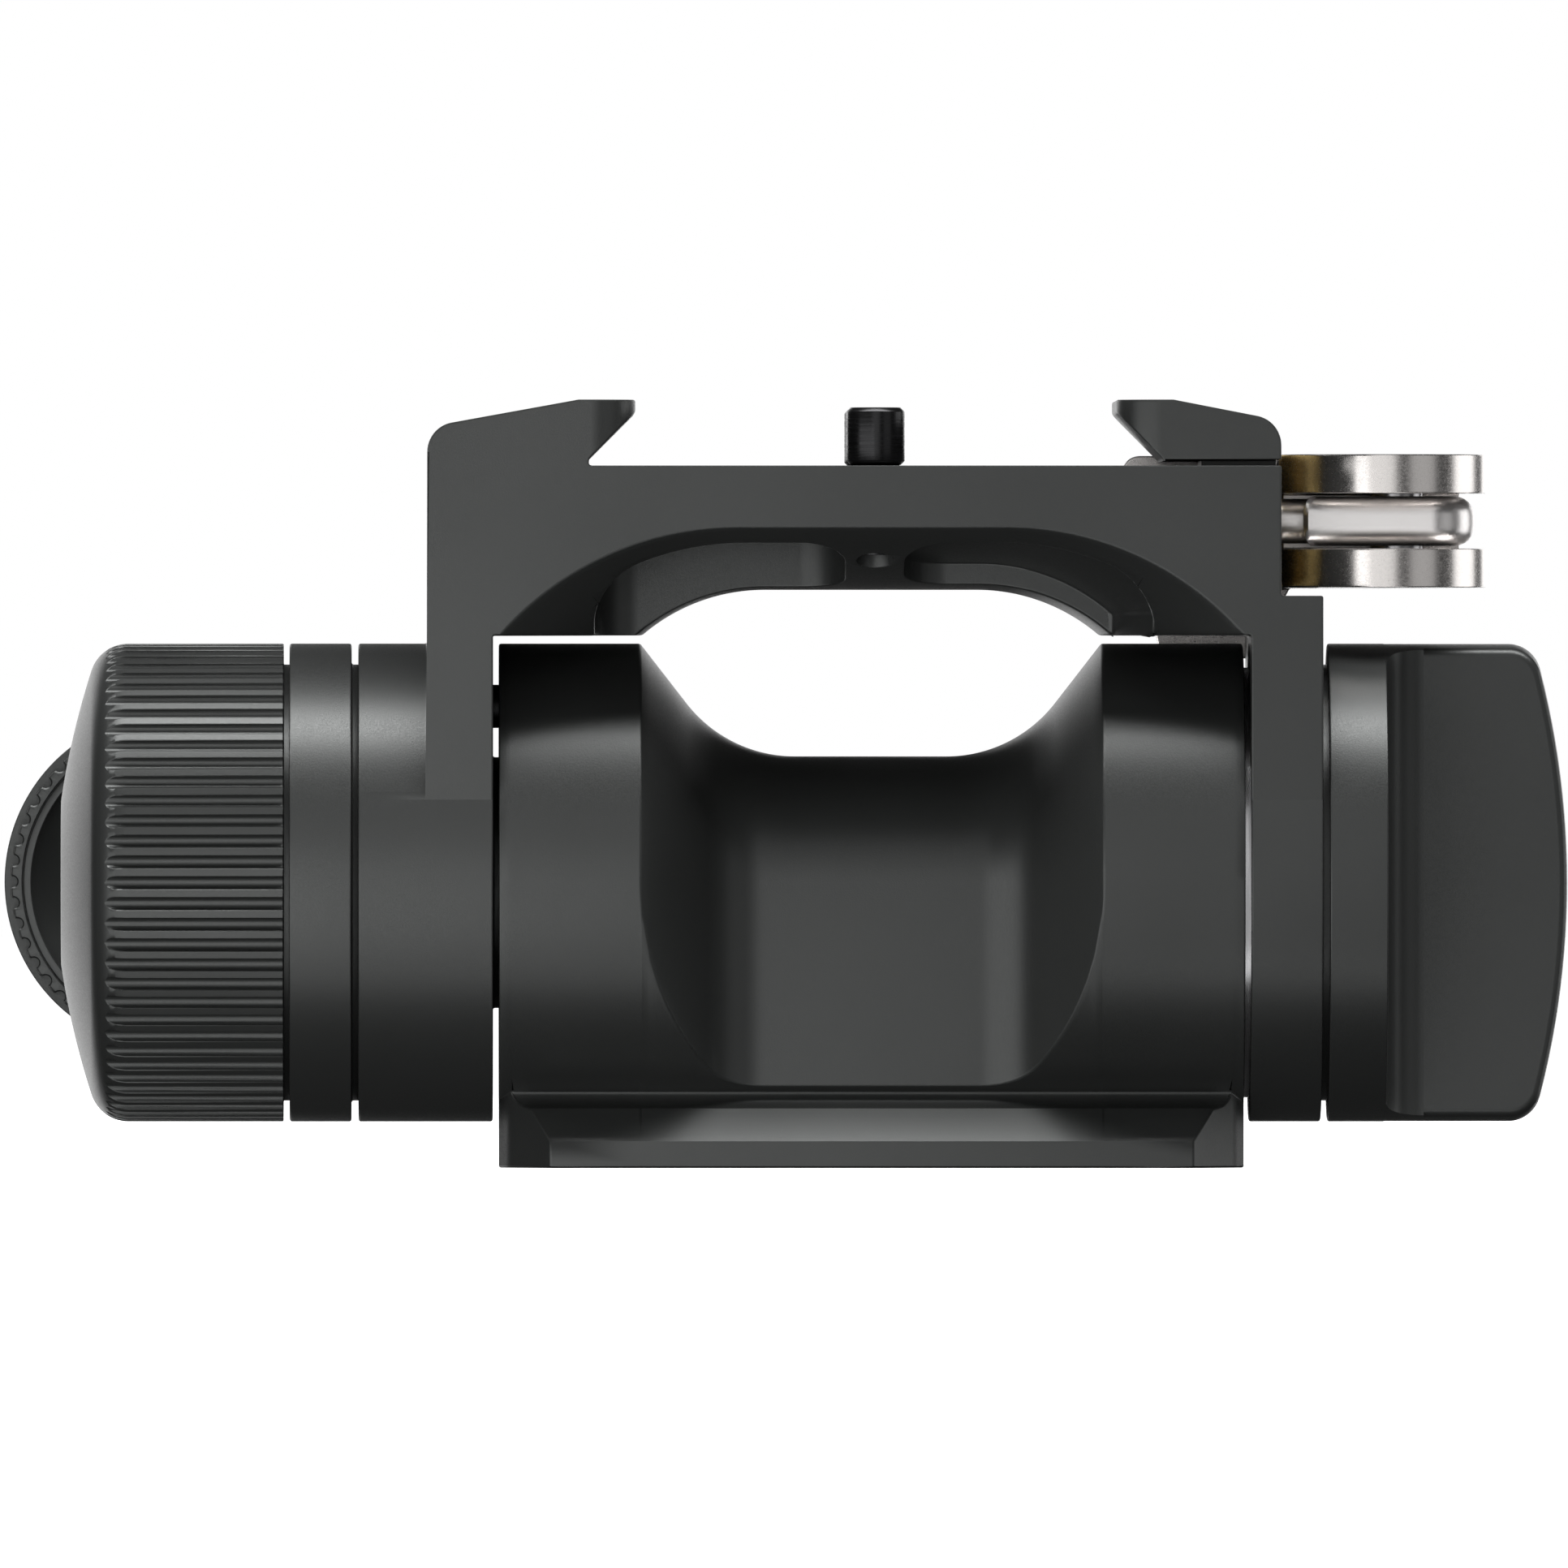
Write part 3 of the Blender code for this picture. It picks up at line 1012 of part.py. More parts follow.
# Lock knob ----------------------------------------------------------------------------
def knob_blank_profile():
    """Return the turned blank of the wing knob, hollow on its inner side."""
    neck = KNOB_START - SPIGOT_LAP
    corner_x = WING_END - WING_CORNER - DRUM_RADIUS ** 2 / (2 * WING_CROWN_RADIUS)
    pocket = INSERT_RADIUS + CLEARANCE
    profile = [(WING_START - CLEARANCE, 0.0), (WING_START - CLEARANCE, pocket), (neck, pocket),
               (neck, GROOVE_RADIUS), (KNOB_START, GROOVE_RADIUS), (KNOB_START, DRUM_RADIUS - EDGE_CHAMFER),
               (KNOB_START + EDGE_CHAMFER, DRUM_RADIUS)]
    profile += arc((corner_x, DRUM_RADIUS - WING_CORNER), WING_CORNER, 90, 15, 5)
    crown = WING_END - WING_CROWN_RADIUS
    for share in (0.78, 0.5, 0.25):
        radius = share * DRUM_RADIUS
        profile.append((crown + math.sqrt(WING_CROWN_RADIUS ** 2 - radius ** 2), radius))
    profile.append((WING_END, 0.0))
    return profile


def make_wing_sides(frame):
    """Return the cutter that mills the blank down to a wing, with a round root."""
    mesh_data = bmesh.new()
    past = 2.0 * MM
    for side in (-1, 1):
        centre = (WING_START + WING_ROOT, WING_HALF_THICKNESS + WING_ROOT)
        outline = arc(centre, WING_ROOT, 180, 270, 5)
        outline += [(WING_END + past, WING_HALF_THICKNESS), (WING_END + past, DRUM_RADIUS + past),
                    (WING_START, DRUM_RADIUS + past)]
        outline = [(x, side * y) for x, y in outline]
        add_prism(mesh_data, outline, "Z", -DRUM_RADIUS - past, DRUM_RADIUS + past)
    return finish_mesh(mesh_data, "wing_sides", frame)


def make_lock_knob(frame, finish, steel):
    """Return the wing knob, its threaded insert and its spring washer."""
    knob = lathe("lock_knob", frame, knob_blank_profile())
    carve(knob, make_wing_sides(frame))
    dress(knob, finish)
    insert_start = RIGHT_EAR + 0.9 * MM
    insert = tube_profile(insert_start, WING_START - 2 * CLEARANCE, BORE_RADIUS, INSERT_RADIUS)
    dress(lathe("knob_insert", frame, insert, MIDDLE_SEGMENTS), steel)
    washer_start = RIGHT_EAR - SPIGOT_LAP + GROOVE_WIDTH
    washer_end = insert_start - CLEARANCE
    thickness = 0.45 * MM
    washer = [(washer_start, 0.95 * INSERT_RADIUS), (washer_end - thickness, BORE_RADIUS),
              (washer_end, BORE_RADIUS), (washer_start + thickness, 0.95 * INSERT_RADIUS)]
    dress(lathe("spring_washer", frame, washer, MIDDLE_SEGMENTS), steel)


# Pan handle ---------------------------------------------------------------------------
def hub_profile():
    """Return the hub: neck, straight grip band, domed end, screw hole and spigot bore."""
    neck = HUB_START + SPIGOT_LAP
    bore = SPIGOT_RADIUS + CLEARANCE
    bore_end = SPIGOT_END - CLEARANCE
    web_end = bore_end - HUB_WEB
    screw_hole = HUB_SCREW_RADIUS + CLEARANCE
    head_hole = HUB_FLAT_RADIUS - 0.3 * MM
    profile = [(bore_end, screw_hole), (bore_end, bore), (neck, bore), (neck, GROOVE_RADIUS),
               (HUB_START, GROOVE_RADIUS), (HUB_START, DRUM_RADIUS - EDGE_CHAMFER),
               (HUB_START - EDGE_CHAMFER, DRUM_RADIUS)]
    steps = 5
    for step in range(steps + 1):
        angle = math.pi / 2 * step / steps
        radius = HUB_FLAT_RADIUS + (DRUM_RADIUS - HUB_FLAT_RADIUS) * math.cos(angle) ** 0.75
        profile.append((HUB_SHOULDER - HUB_DOME * math.sin(angle) ** 1.5, radius))
    profile += [(HUB_END, head_hole), (web_end, head_hole), (web_end, screw_hole)]
    return profile


def make_hub(frame, finish):
    """Return the handle hub with its side hole for the rod."""
    hub = lathe("handle_hub", frame, hub_profile())
    floor = SPIGOT_RADIUS + 1.4 * MM
    radius = HANDLE_ROD_RADIUS + CLEARANCE
    hole = [(floor, DRUM_RADIUS + MM, radius, (HANDLE_PLACE, 0.0, 0.0))]
    carve(hub, rods("rod_hole", frame, hole, MIDDLE_SEGMENTS, "Y"))
    return dress(hub, finish)


def make_hub_screw(frame, steel):
    """Return the screw that holds the hub on its spigot, and its washer."""
    web_end = SPIGOT_END - CLEARANCE - HUB_WEB
    washer_end = web_end - CLEARANCE
    washer_start = washer_end - 0.5 * MM
    washer = tube_profile(washer_start, washer_end, HUB_SCREW_RADIUS + CLEARANCE, 0.82 * HUB_FLAT_RADIUS)
    dress(lathe("hub_washer", frame, washer, MIDDLE_SEGMENTS), steel)
    top = HUB_END + 0.15 * MM
    head = washer_start - CLEARANCE - top
    length = CAP_END - 2.2 * MM - top
    screw = screw_profile(0.87 * HUB_FLAT_RADIUS, head, HUB_SCREW_RADIUS, length, 2.0 * MM)
    dress(lathe("hub_screw", frame, shifted(screw, top, -1), MIDDLE_SEGMENTS), steel)


def make_handle(frame, alloy, rubber, steel):
    """Return the rod, ferrule, collar, grip, end cap and end screw behind the hub."""
    centre = (HANDLE_PLACE, 0.0, 0.0)
    start = SPIGOT_RADIUS + 1.4 * MM + CLEARANCE
    collar_end = GRIP_START + COLLAR_LENGTH
    grip_start = collar_end + CLEARANCE
    grip_end = grip_start + GRIP_LENGTH
    rod_end = grip_end + 3.5 * MM
    bore_floor = start + 12.0 * MM
    rod = [(start, 0.0), (start, HANDLE_ROD_RADIUS), (rod_end, HANDLE_ROD_RADIUS),
           (rod_end, HANDLE_ROD_BORE), (bore_floor, HANDLE_ROD_BORE), (bore_floor, 0.0)]
    dress(lathe("handle_rod", frame, rod, MIDDLE_SEGMENTS, "Y", centre), alloy)
    sleeve = HANDLE_ROD_RADIUS + CLEARANCE
    ferrule = DRUM_RADIUS + 2 * CLEARANCE
    ring = [(ferrule, sleeve), (ferrule, sleeve + 2.0 * MM), (ferrule + 3.2 * MM, sleeve + 2.0 * MM),
            (ferrule + 4.2 * MM, sleeve + MM), (ferrule + 4.2 * MM, sleeve)]
    dress(lathe("handle_ferrule", frame, ring, MIDDLE_SEGMENTS, "Y", centre), steel)
    dress(lathe("grip_collar", frame, collar_profile(sleeve), BARREL_SEGMENTS, "Y", centre), alloy)
    grip = grip_profile(grip_start, grip_end, sleeve)
    dress(lathe("handle_grip", frame, grip, MIDDLE_SEGMENTS, "Y", centre), rubber)
    make_grip_end(frame, alloy, steel, grip_end, rod_end, sleeve, centre)


def collar_profile(sleeve):
    """Return the collar: dished front, flat ring, chamfer and outer rim."""
    front = GRIP_START
    rim = COLLAR_RADIUS
    dish = rim - 1.8 * MM
    profile = []
    for step in range(6):
        angle = math.pi / 2 * step / 5
        profile.append((front + 2.6 * MM * math.cos(angle), sleeve + (dish - sleeve) * math.sin(angle)))
    step = front + 1.5 * MM
    profile += [(front, rim - 1.2 * MM), (front + 0.85 * MM, rim - 0.35 * MM), (step, rim - 0.35 * MM),
                (step, rim), (front + COLLAR_LENGTH, rim), (front + COLLAR_LENGTH, sleeve)]
    return profile


def grip_profile(start, end, sleeve):
    """Return the grip, slightly waisted, with a round swell at the far end."""
    profile = [(start, sleeve)]
    steps = 6
    for step in range(steps + 1):
        share = step / steps
        swell = -0.09 * math.sin(math.pi * share) + 0.04 * share
        profile.append((start + (end - start) * share, GRIP_RADIUS * (1.0 + swell)))
    profile.append((end, sleeve))
    return profile


def make_grip_end(frame, alloy, steel, grip_end, rod_end, sleeve, centre):
    """Return the cap that closes the grip and the screw that holds it to the rod."""
    start = grip_end + CLEARANCE
    end = start + END_CAP_LENGTH
    radius = GRIP_RADIUS * 1.04
    pocket = rod_end + CLEARANCE
    shank = HANDLE_ROD_BORE - 2 * CLEARANCE
    head = 3.2 * MM
    profile = [(pocket, shank + CLEARANCE), (pocket, sleeve), (start, sleeve), (start, radius),
               (start + 2.2 * MM, radius)]
    profile += arc((start + 2.2 * MM, radius - 3.0 * MM), 3.0 * MM, 75, 15, 4)
    profile += [(end, radius - 4.2 * MM), (end, head + CLEARANCE), (end - 1.6 * MM, head + CLEARANCE),
                (end - 1.6 * MM, shank + CLEARANCE)]
    dress(lathe("grip_end_cap", frame, profile, MIDDLE_SEGMENTS, "Y", centre), alloy)
    screw = screw_profile(head, 1.2 * MM, shank, 12.0 * MM, 1.3 * MM)
    points = shifted(screw, end - 0.1 * MM)
    dress(lathe("grip_end_screw", frame, points, MIDDLE_SEGMENTS, "Y", centre), steel)


# Assembly -----------------------------------------------------------------------------
def build():
    """Build the whole mount."""
    clear_scene()
    black = make_material("black_anodised", (0.045, 0.048, 0.047), 0.42, 0.75)
    polished = make_material("polished_steel", (0.80, 0.77, 0.75), 0.16, 1.0)
    steel = make_material("plain_steel", (0.55, 0.55, 0.56), 0.3, 1.0)
    dark_steel = make_material("blackened_steel", (0.06, 0.06, 0.06), 0.3, 0.9)
    brass = make_material("bronze", (0.62, 0.43, 0.16), 0.3, 1.0)
    rubber = make_material("grip_rubber", (0.02, 0.02, 0.02), 0.8, 0.0)

    base_frame = make_frame("base_frame", (0.0, 0.0, 0.0))
    base_frame.location = (0.0, 0.0, AXIS_HEIGHT)
    tilt_frame = make_frame("tilt_axis", (0.0, 0.0, 0.0), base_frame)
    lock_frame = make_frame("lock_axis", (WING_START, 0.0, 0.0), base_frame)
    handle_frame = make_frame("handle_axis", (HANDLE_PLACE, 0.0, 0.0), tilt_frame)
    jaw_frame = make_frame("jaw_slide", (RIGHT_SIDE, 0.0, ROD_HEIGHT), tilt_frame)
    lever_frame = make_frame("lever_axis", (LEVER_PIN, 0.0, ROD_HEIGHT), tilt_frame)

    make_tilt_base(base_frame, black)
    make_axle(base_frame, steel)
    make_set_screws(base_frame, dark_steel)
    make_thrust_washer(base_frame, steel)
    make_axle_nut(base_frame, steel)

    make_yoke(tilt_frame, black)
    make_bushes(tilt_frame, brass, steel)
    make_bearing_cap(tilt_frame, black, steel)
    make_tilt_stop(tilt_frame, dark_steel)
    make_stop_pins(tilt_frame, dark_steel, dark_steel)
    make_jaw_guides(tilt_frame, steel)
    make_tie_rod(tilt_frame, polished)
    make_hub_screw(tilt_frame, dark_steel)

    make_moving_jaw(jaw_frame, black, brass, dark_steel)
    make_lever(lever_frame, polished, steel)
    make_lock_knob(lock_frame, black, steel)
    make_hub(handle_frame, black)
    make_handle(handle_frame, black, rubber, dark_steel)


build()
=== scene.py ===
"""Looks of the tilt mount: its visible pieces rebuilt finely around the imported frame.

Sizes are in metres and places are measured from the middle of the tilt axis, +X towards the
wing knob, +Y towards the pan handle and +Z up. The frame's own boxes give the main places,
and each finished piece is compared with the box of the node that it stands for.
"""

import logging
import math
from dataclasses import dataclass, field
from enum import Enum

import bmesh
import bpy
from mathutils import Matrix, Vector


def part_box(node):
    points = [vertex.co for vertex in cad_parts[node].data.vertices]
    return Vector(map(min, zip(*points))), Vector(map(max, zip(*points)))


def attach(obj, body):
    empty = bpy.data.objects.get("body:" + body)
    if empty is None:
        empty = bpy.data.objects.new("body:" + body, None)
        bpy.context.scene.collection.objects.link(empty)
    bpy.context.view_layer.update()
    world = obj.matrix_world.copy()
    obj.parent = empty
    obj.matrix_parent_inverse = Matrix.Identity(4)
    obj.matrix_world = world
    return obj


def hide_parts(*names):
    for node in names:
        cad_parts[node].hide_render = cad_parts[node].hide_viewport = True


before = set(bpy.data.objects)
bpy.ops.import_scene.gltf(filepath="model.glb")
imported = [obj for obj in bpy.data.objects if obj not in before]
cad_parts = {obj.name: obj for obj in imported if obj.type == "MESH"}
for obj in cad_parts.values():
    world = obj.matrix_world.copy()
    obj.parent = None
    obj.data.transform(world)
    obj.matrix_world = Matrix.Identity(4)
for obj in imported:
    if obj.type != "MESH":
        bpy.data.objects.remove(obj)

MM = 0.001
LOG = logging.getLogger("tilt_mount")

Point = tuple[float, float]
Place = tuple[float, float, float]
Outline = list[Point]
ORIGIN: Place = (0.0, 0.0, 0.0)
WHITE = (1.0, 1.0, 1.0, 1.0)


# Small geometry ---------------------------------------------------------------------------
class Axis(Enum):
    """The way a turned or extruded shape points, as the turn that takes X there."""

    X = Matrix.Identity(4)
    Y = Matrix.Rotation(math.pi / 2, 4, "Z")
    Z = Matrix.Rotation(-math.pi / 2, 4, "Y")


class Work(Enum):
    """What a tool does to a blank."""

    CUT = "DIFFERENCE"
    FUSE = "UNION"
    KEEP = "INTERSECT"


def arc(centre: Point, radius: float, start: float, end: float, steps: int) -> Outline:
    """Points on an arc, both ends included.

    Args:
        centre: the arc's centre.
        radius: its radius.
        start: first angle in degrees.
        end: last angle in degrees.
        steps: how many straight lines stand for the arc.

    Returns:
        The points from start to end.
    """
    turns = [math.radians(start + (end - start) * step / steps) for step in range(steps + 1)]
    return [(centre[0] + radius * math.cos(a), centre[1] + radius * math.sin(a)) for a in turns]


def round_corner(before: Point, corner: Point, after: Point, radius: float, steps: int) -> Outline:
    """The arc that replaces a corner between two straight lines.

    Args:
        before: a point on the line into the corner.
        corner: the sharp corner.
        after: a point on the line out of it.
        radius: the round's radius.
        steps: how many straight lines stand for the arc.

    Returns:
        The arc's points, in the order of the outline.
    """
    here = Vector(corner)
    inward = (Vector(before) - here).normalized()
    outward = (Vector(after) - here).normalized()
    half = inward.angle(outward) / 2
    reach = radius / math.tan(half)
    centre = here + (inward + outward).normalized() * radius / math.sin(half)
    first = here + inward * reach - centre
    last = here + outward * reach - centre
    sweep = math.atan2(first.x * last.y - first.y * last.x, first.dot(last))
    points = []
    for step in range(steps + 1):
        spoke = Matrix.Rotation(sweep * step / steps, 2) @ first
        points.append((centre.x + spoke.x, centre.y + spoke.y))
    return points


def rounded(outline: Outline, radii: dict[int, float], steps: int = 6) -> Outline:
    """An outline with some of its corners rounded.

    Args:
        outline: the closed outline.
        radii: the radius for each corner's index.
        steps: how many straight lines stand for each round.

    Returns:
        The new outline.
    """
    points: Outline = []
    for index, corner in enumerate(outline):
        if index not in radii:
            points.append(corner)
            continue
        after = outline[(index + 1) % len(outline)]
        points += round_corner(outline[index - 1], corner, after, radii[index], steps)
    return points


def box_outline(low: Point, high: Point) -> Outline:
    """A rectangle's four corners."""
    return [(low[0], low[1]), (high[0], low[1]), (high[0], high[1]), (low[0], high[1])]


def hexagon(across: float) -> Outline:
    """A hexagon, from its size across flats."""
    reach = across / math.sqrt(3)
    turns = [side * math.pi / 3 for side in range(6)]
    return [(reach * math.cos(turn), reach * math.sin(turn)) for turn in turns]


class Blank:
    """A solid being worked: tools cut it or are fused to it, and its edges are broken."""

    def __init__(self, shape: bmesh.types.BMesh) -> None:
        """Takes a closed shape, turns its faces out and puts it on the bench."""
        bmesh.ops.remove_doubles(shape, verts=shape.verts, dist=MM / 2000)
        bmesh.ops.recalc_face_normals(shape, faces=shape.faces)
        mesh = bpy.data.meshes.new("blank")
        shape.to_mesh(mesh)
        shape.free()
        mesh.shade_smooth()
        self.object = bpy.data.objects.new("blank", mesh)
        self.tools: list["Blank"] = []
        bpy.context.scene.collection.objects.link(self.object)

    def work(self, operation: Work, *tools: "Blank") -> "Blank":
        """Lines up tools that act on this blank.

        Args:
            operation: what each tool does.
            tools: the tools, which are used up.

        Returns:
            This blank.
        """
        for tool in tools:
            tool.settle()
            modifier = self.object.modifiers.new("work", "BOOLEAN")
            modifier.operation = operation.value
            modifier.solver = "EXACT"
            modifier.object = tool.object
            self.tools.append(tool)
        return self

    def cut(self, *tools: "Blank") -> "Blank":
        """Lines up tools that cut this blank."""
        return self.work(Work.CUT, *tools)

    def fuse(self, *tools: "Blank") -> "Blank":
        """Lines up parts that are fused to this blank."""
        return self.work(Work.FUSE, *tools)

    def settle(self) -> "Blank":
        """Applies every modifier and throws the used tools away.

        Returns:
            This blank.
        """
        if self.object.modifiers:
            graph = bpy.context.evaluated_depsgraph_get()
            mesh = bpy.data.meshes.new_from_object(self.object.evaluated_get(graph))
            self.object.modifiers.clear()
            self.object.data = mesh
        for tool in self.tools:
            bpy.data.objects.remove(tool.object)
        self.tools = []
        return self

    def soften(self, width: float, angle: float = 32.0, segments: int = 2) -> "Blank":
        """Breaks the sharp edges with a small round.

        Args:
            width: how far the round reaches from the edge.
            angle: edges sharper than this many degrees are broken.
            segments: how many faces cross the round.

        Returns:
            This blank.
        """
        self.settle()
        weld = self.object.modifiers.new("weld", "WELD")
        weld.merge_threshold = MM / 100
        bevel = self.object.modifiers.new("edge", "BEVEL")
        bevel.width = width
        bevel.segments = segments
        bevel.limit_method = "ANGLE"
        bevel.angle_limit = math.radians(angle)
        bevel.use_clamp_overlap = False
        bevel.miter_outer = "MITER_ARC"
        return self.settle()

    def recipe(self, tree: bpy.types.NodeTree, inputs: dict[str, object]) -> "Blank":
        """Runs a Geometry Nodes tree on this blank.

        Args:
            tree: the tree, whose named inputs are set before it is first evaluated.
            inputs: a value for each named input.

        Returns:
            This blank.
        """
        self.settle()
        modifier = self.object.modifiers.new("recipe", "NODES")
        modifier.node_group = tree
        sockets = {item.name: item.identifier for item in tree.interface.items_tree}
        for name, value in inputs.items():
            modifier[sockets[name]] = value.object if isinstance(value, Blank) else value
        self.tools += [value for value in inputs.values() if isinstance(value, Blank)]
        return self.settle()

    def deliver(self, name: str, body: str, nodes: list[str], finish: "Finish",
                place: Matrix, smooth: float = 38.0) -> bpy.types.Object:
        """Moves the shape to its place, shades and dresses it, and gives it to the frame.

        Args:
            name: the piece's name.
            body: the body that it rides on.
            nodes: the nodes that it stands for.
            finish: its finish.
            place: where the shape goes in the row's frame.
            smooth: faces that meet below this many degrees are shaded as one.

        Returns:
            The finished piece.
        """
        self.settle()
        piece = self.object
        piece.name = name
        piece.data.name = name
        piece.data.transform(place)
        piece.data.shade_smooth()
        piece.data.set_sharp_from_angle(angle=math.radians(smooth))
        weigh = piece.modifiers.new("weigh", "WEIGHTED_NORMAL")
        weigh.keep_sharp = True
        self.settle()
        piece.data.name = name
        piece.data.materials.clear()
        piece.data.materials.append(finish.material())
        for polygon in piece.data.polygons:
            polygon.material_index = 0
        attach(piece, body)
        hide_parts(*nodes)
        report(piece, nodes)
        return piece


def report(piece: bpy.types.Object, nodes: list[str]) -> None:
    """Logs a piece's size, and how far its box is from the boxes of its nodes.

    Args:
        piece: the finished piece.
        nodes: the nodes that it stands for.
    """
    boxes = [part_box(node) for node in nodes]
    corners = [piece.matrix_world @ Vector(corner) for corner in piece.bound_box]
    worst = 0.0
    for way in range(3):
        low = min(corner[way] for corner in corners) - min(box[0][way] for box in boxes)
        high = max(corner[way] for corner in corners) - max(box[1][way] for box in boxes)
        worst = max(worst, abs(low), abs(high))
    triangles = sum(len(polygon.vertices) - 2 for polygon in piece.data.polygons)
    LOG.info("%s: %d triangles, %.2f mm from its node's box", piece.name, triangles, worst / MM)


# Shapes -----------------------------------------------------------------------------------
def lathe(profile: Outline, segments: int = 160, axis: Axis = Axis.X,
          centre: Place = ORIGIN) -> Blank:
    """A turned shape.

    Args:
        profile: closed outline of (along, radius) points; radius 0 lies on the axis.
        segments: faces around the axis.
        axis: the way it points.
        centre: the place of its zero.

    Returns:
        The blank.
    """
    shape = bmesh.new()
    turn = Matrix.Translation(centre) @ axis.value
    rings = []
    for along, radius in profile:
        count = segments if radius > 0.0 else 1
        spokes = [2 * math.pi * index / segments for index in range(count)]
        spots = [Vector((along, radius * math.cos(a), radius * math.sin(a))) for a in spokes]
        rings.append([shape.verts.new(turn @ spot) for spot in spots])
    for first, second in zip(rings, rings[1:] + rings[:1]):
        bridge(shape, first, second)
    return Blank(shape)


def bridge(shape: bmesh.types.BMesh, first: list[bmesh.types.BMVert],
           second: list[bmesh.types.BMVert]) -> None:
    """Joins two rings, either of which may be a single point.

    Args:
        shape: the shape that holds both rings.
        first: one ring.
        second: the next ring.
    """
    count = max(len(first), len(second))
    if count == 1:
        return
    for index in range(count):
        after = (index + 1) % count
        corners = [first[index % len(first)], first[after % len(first)],
                   second[after % len(second)], second[index % len(second)]]
        unique = list(dict.fromkeys(corners))
        shape.faces.new(unique)


def stepped(start: float, *bands: Point) -> Outline:
    """The profile of a solid that is turned in steps.

    Args:
        start: where it begins.
        bands: the end and the radius of each step.

    Returns:
        The closed outline, which begins and ends on the axis.
    """
    profile = [(start, 0.0)]
    for end, radius in bands:
        profile += [(start, radius), (end, radius)]
        start = end
    return profile + [(start, 0.0)]


def rod(start: float, end: float, radius: float, axis: Axis = Axis.X,
        centre: Place = ORIGIN, segments: int = 48) -> Blank:
    """A plain cylinder between two places along an axis."""
    return lathe(stepped(start, (end, radius)), segments, axis, centre)


def tube(start: float, end: float, inner: float, outer: float, segments: int = 96,
         axis: Axis = Axis.X) -> Blank:
    """A plain tube between two places along an axis."""
    return lathe([(start, inner), (start, outer), (end, outer), (end, inner)], segments, axis)


def extrude(outline: Outline, axis: Axis, low: float, high: float) -> Blank:
    """A straight bar with a given section.

    Args:
        outline: the section, as (y, z) for X, (x, z) for Y and (x, y) for Z.
        axis: the way the bar points.
        low: where it starts.
        high: where it ends.

    Returns:
        The blank.
    """
    order = {Axis.X: (2, 0, 1), Axis.Y: (0, 2, 1), Axis.Z: (0, 1, 2)}[axis]
    rings = []
    for depth in (low, high):
        spots = [(point[0], point[1], depth) for point in outline]
        rings.append([tuple(spot[way] for way in order) for spot in spots])
    return loft(rings)


def socket_screw(profile: Outline, segments: int, across: float, socket: Point, edge: float,
                 axis: Axis = Axis.X, centre: Place = ORIGIN) -> Blank:
    """A turned screw with a hexagon socket.

    Args:
        profile: the screw's profile, as for a lathe.
        segments: faces around it.
        across: the socket's size across flats.
        socket: where the socket's cutter starts and ends.
        edge: width of the broken edges.
        axis: the way the screw points.
        centre: the place of its zero, which is on the axis for a screw along Z.

    Returns:
        The screw.
    """
    outline = [(y + centre[1], z + centre[2]) for y, z in hexagon(across)]
    return lathe(profile, segments, axis, centre).cut(extrude(outline, axis, *socket)).soften(edge)


def loft(sections: list[list[Place]]) -> Blank:
    """A closed skin over sections that have the same number of points each."""
    shape = bmesh.new()
    loops = [[shape.verts.new(point) for point in section] for section in sections]
    shape.faces.new(loops[0][::-1])
    shape.faces.new(loops[-1])
    for first, second in zip(loops, loops[1:]):
        bridge(shape, first, second)
    return Blank(shape)


# Node trees -------------------------------------------------------------------------------
def feed(tree: bpy.types.NodeTree, node: bpy.types.Node, inputs: dict[int | str, object]) -> None:
    """Sets or links some of a node's inputs.

    Args:
        tree: the tree that the node is in.
        node: the node.
        inputs: a value, or the socket to link, for each input.
    """
    for key, value in inputs.items():
        if isinstance(value, bpy.types.NodeSocket):
            tree.links.new(value, node.inputs[key])
        else:
            node.inputs[key].default_value = value


def add_node(tree: bpy.types.NodeTree, kind: str, settings: dict[str, object] | None = None,
             inputs: dict[int | str, object] | None = None) -> bpy.types.Node:
    """Adds a node to a tree.

    Args:
        tree: the tree.
        kind: the node's type.
        settings: properties to set on it.
        inputs: a value, or the socket to link, for each input.

    Returns:
        The node.
    """
    made = tree.nodes.new(kind)
    for key, value in (settings or {}).items():
        setattr(made, key, value)
    feed(tree, made, inputs or {})
    return made


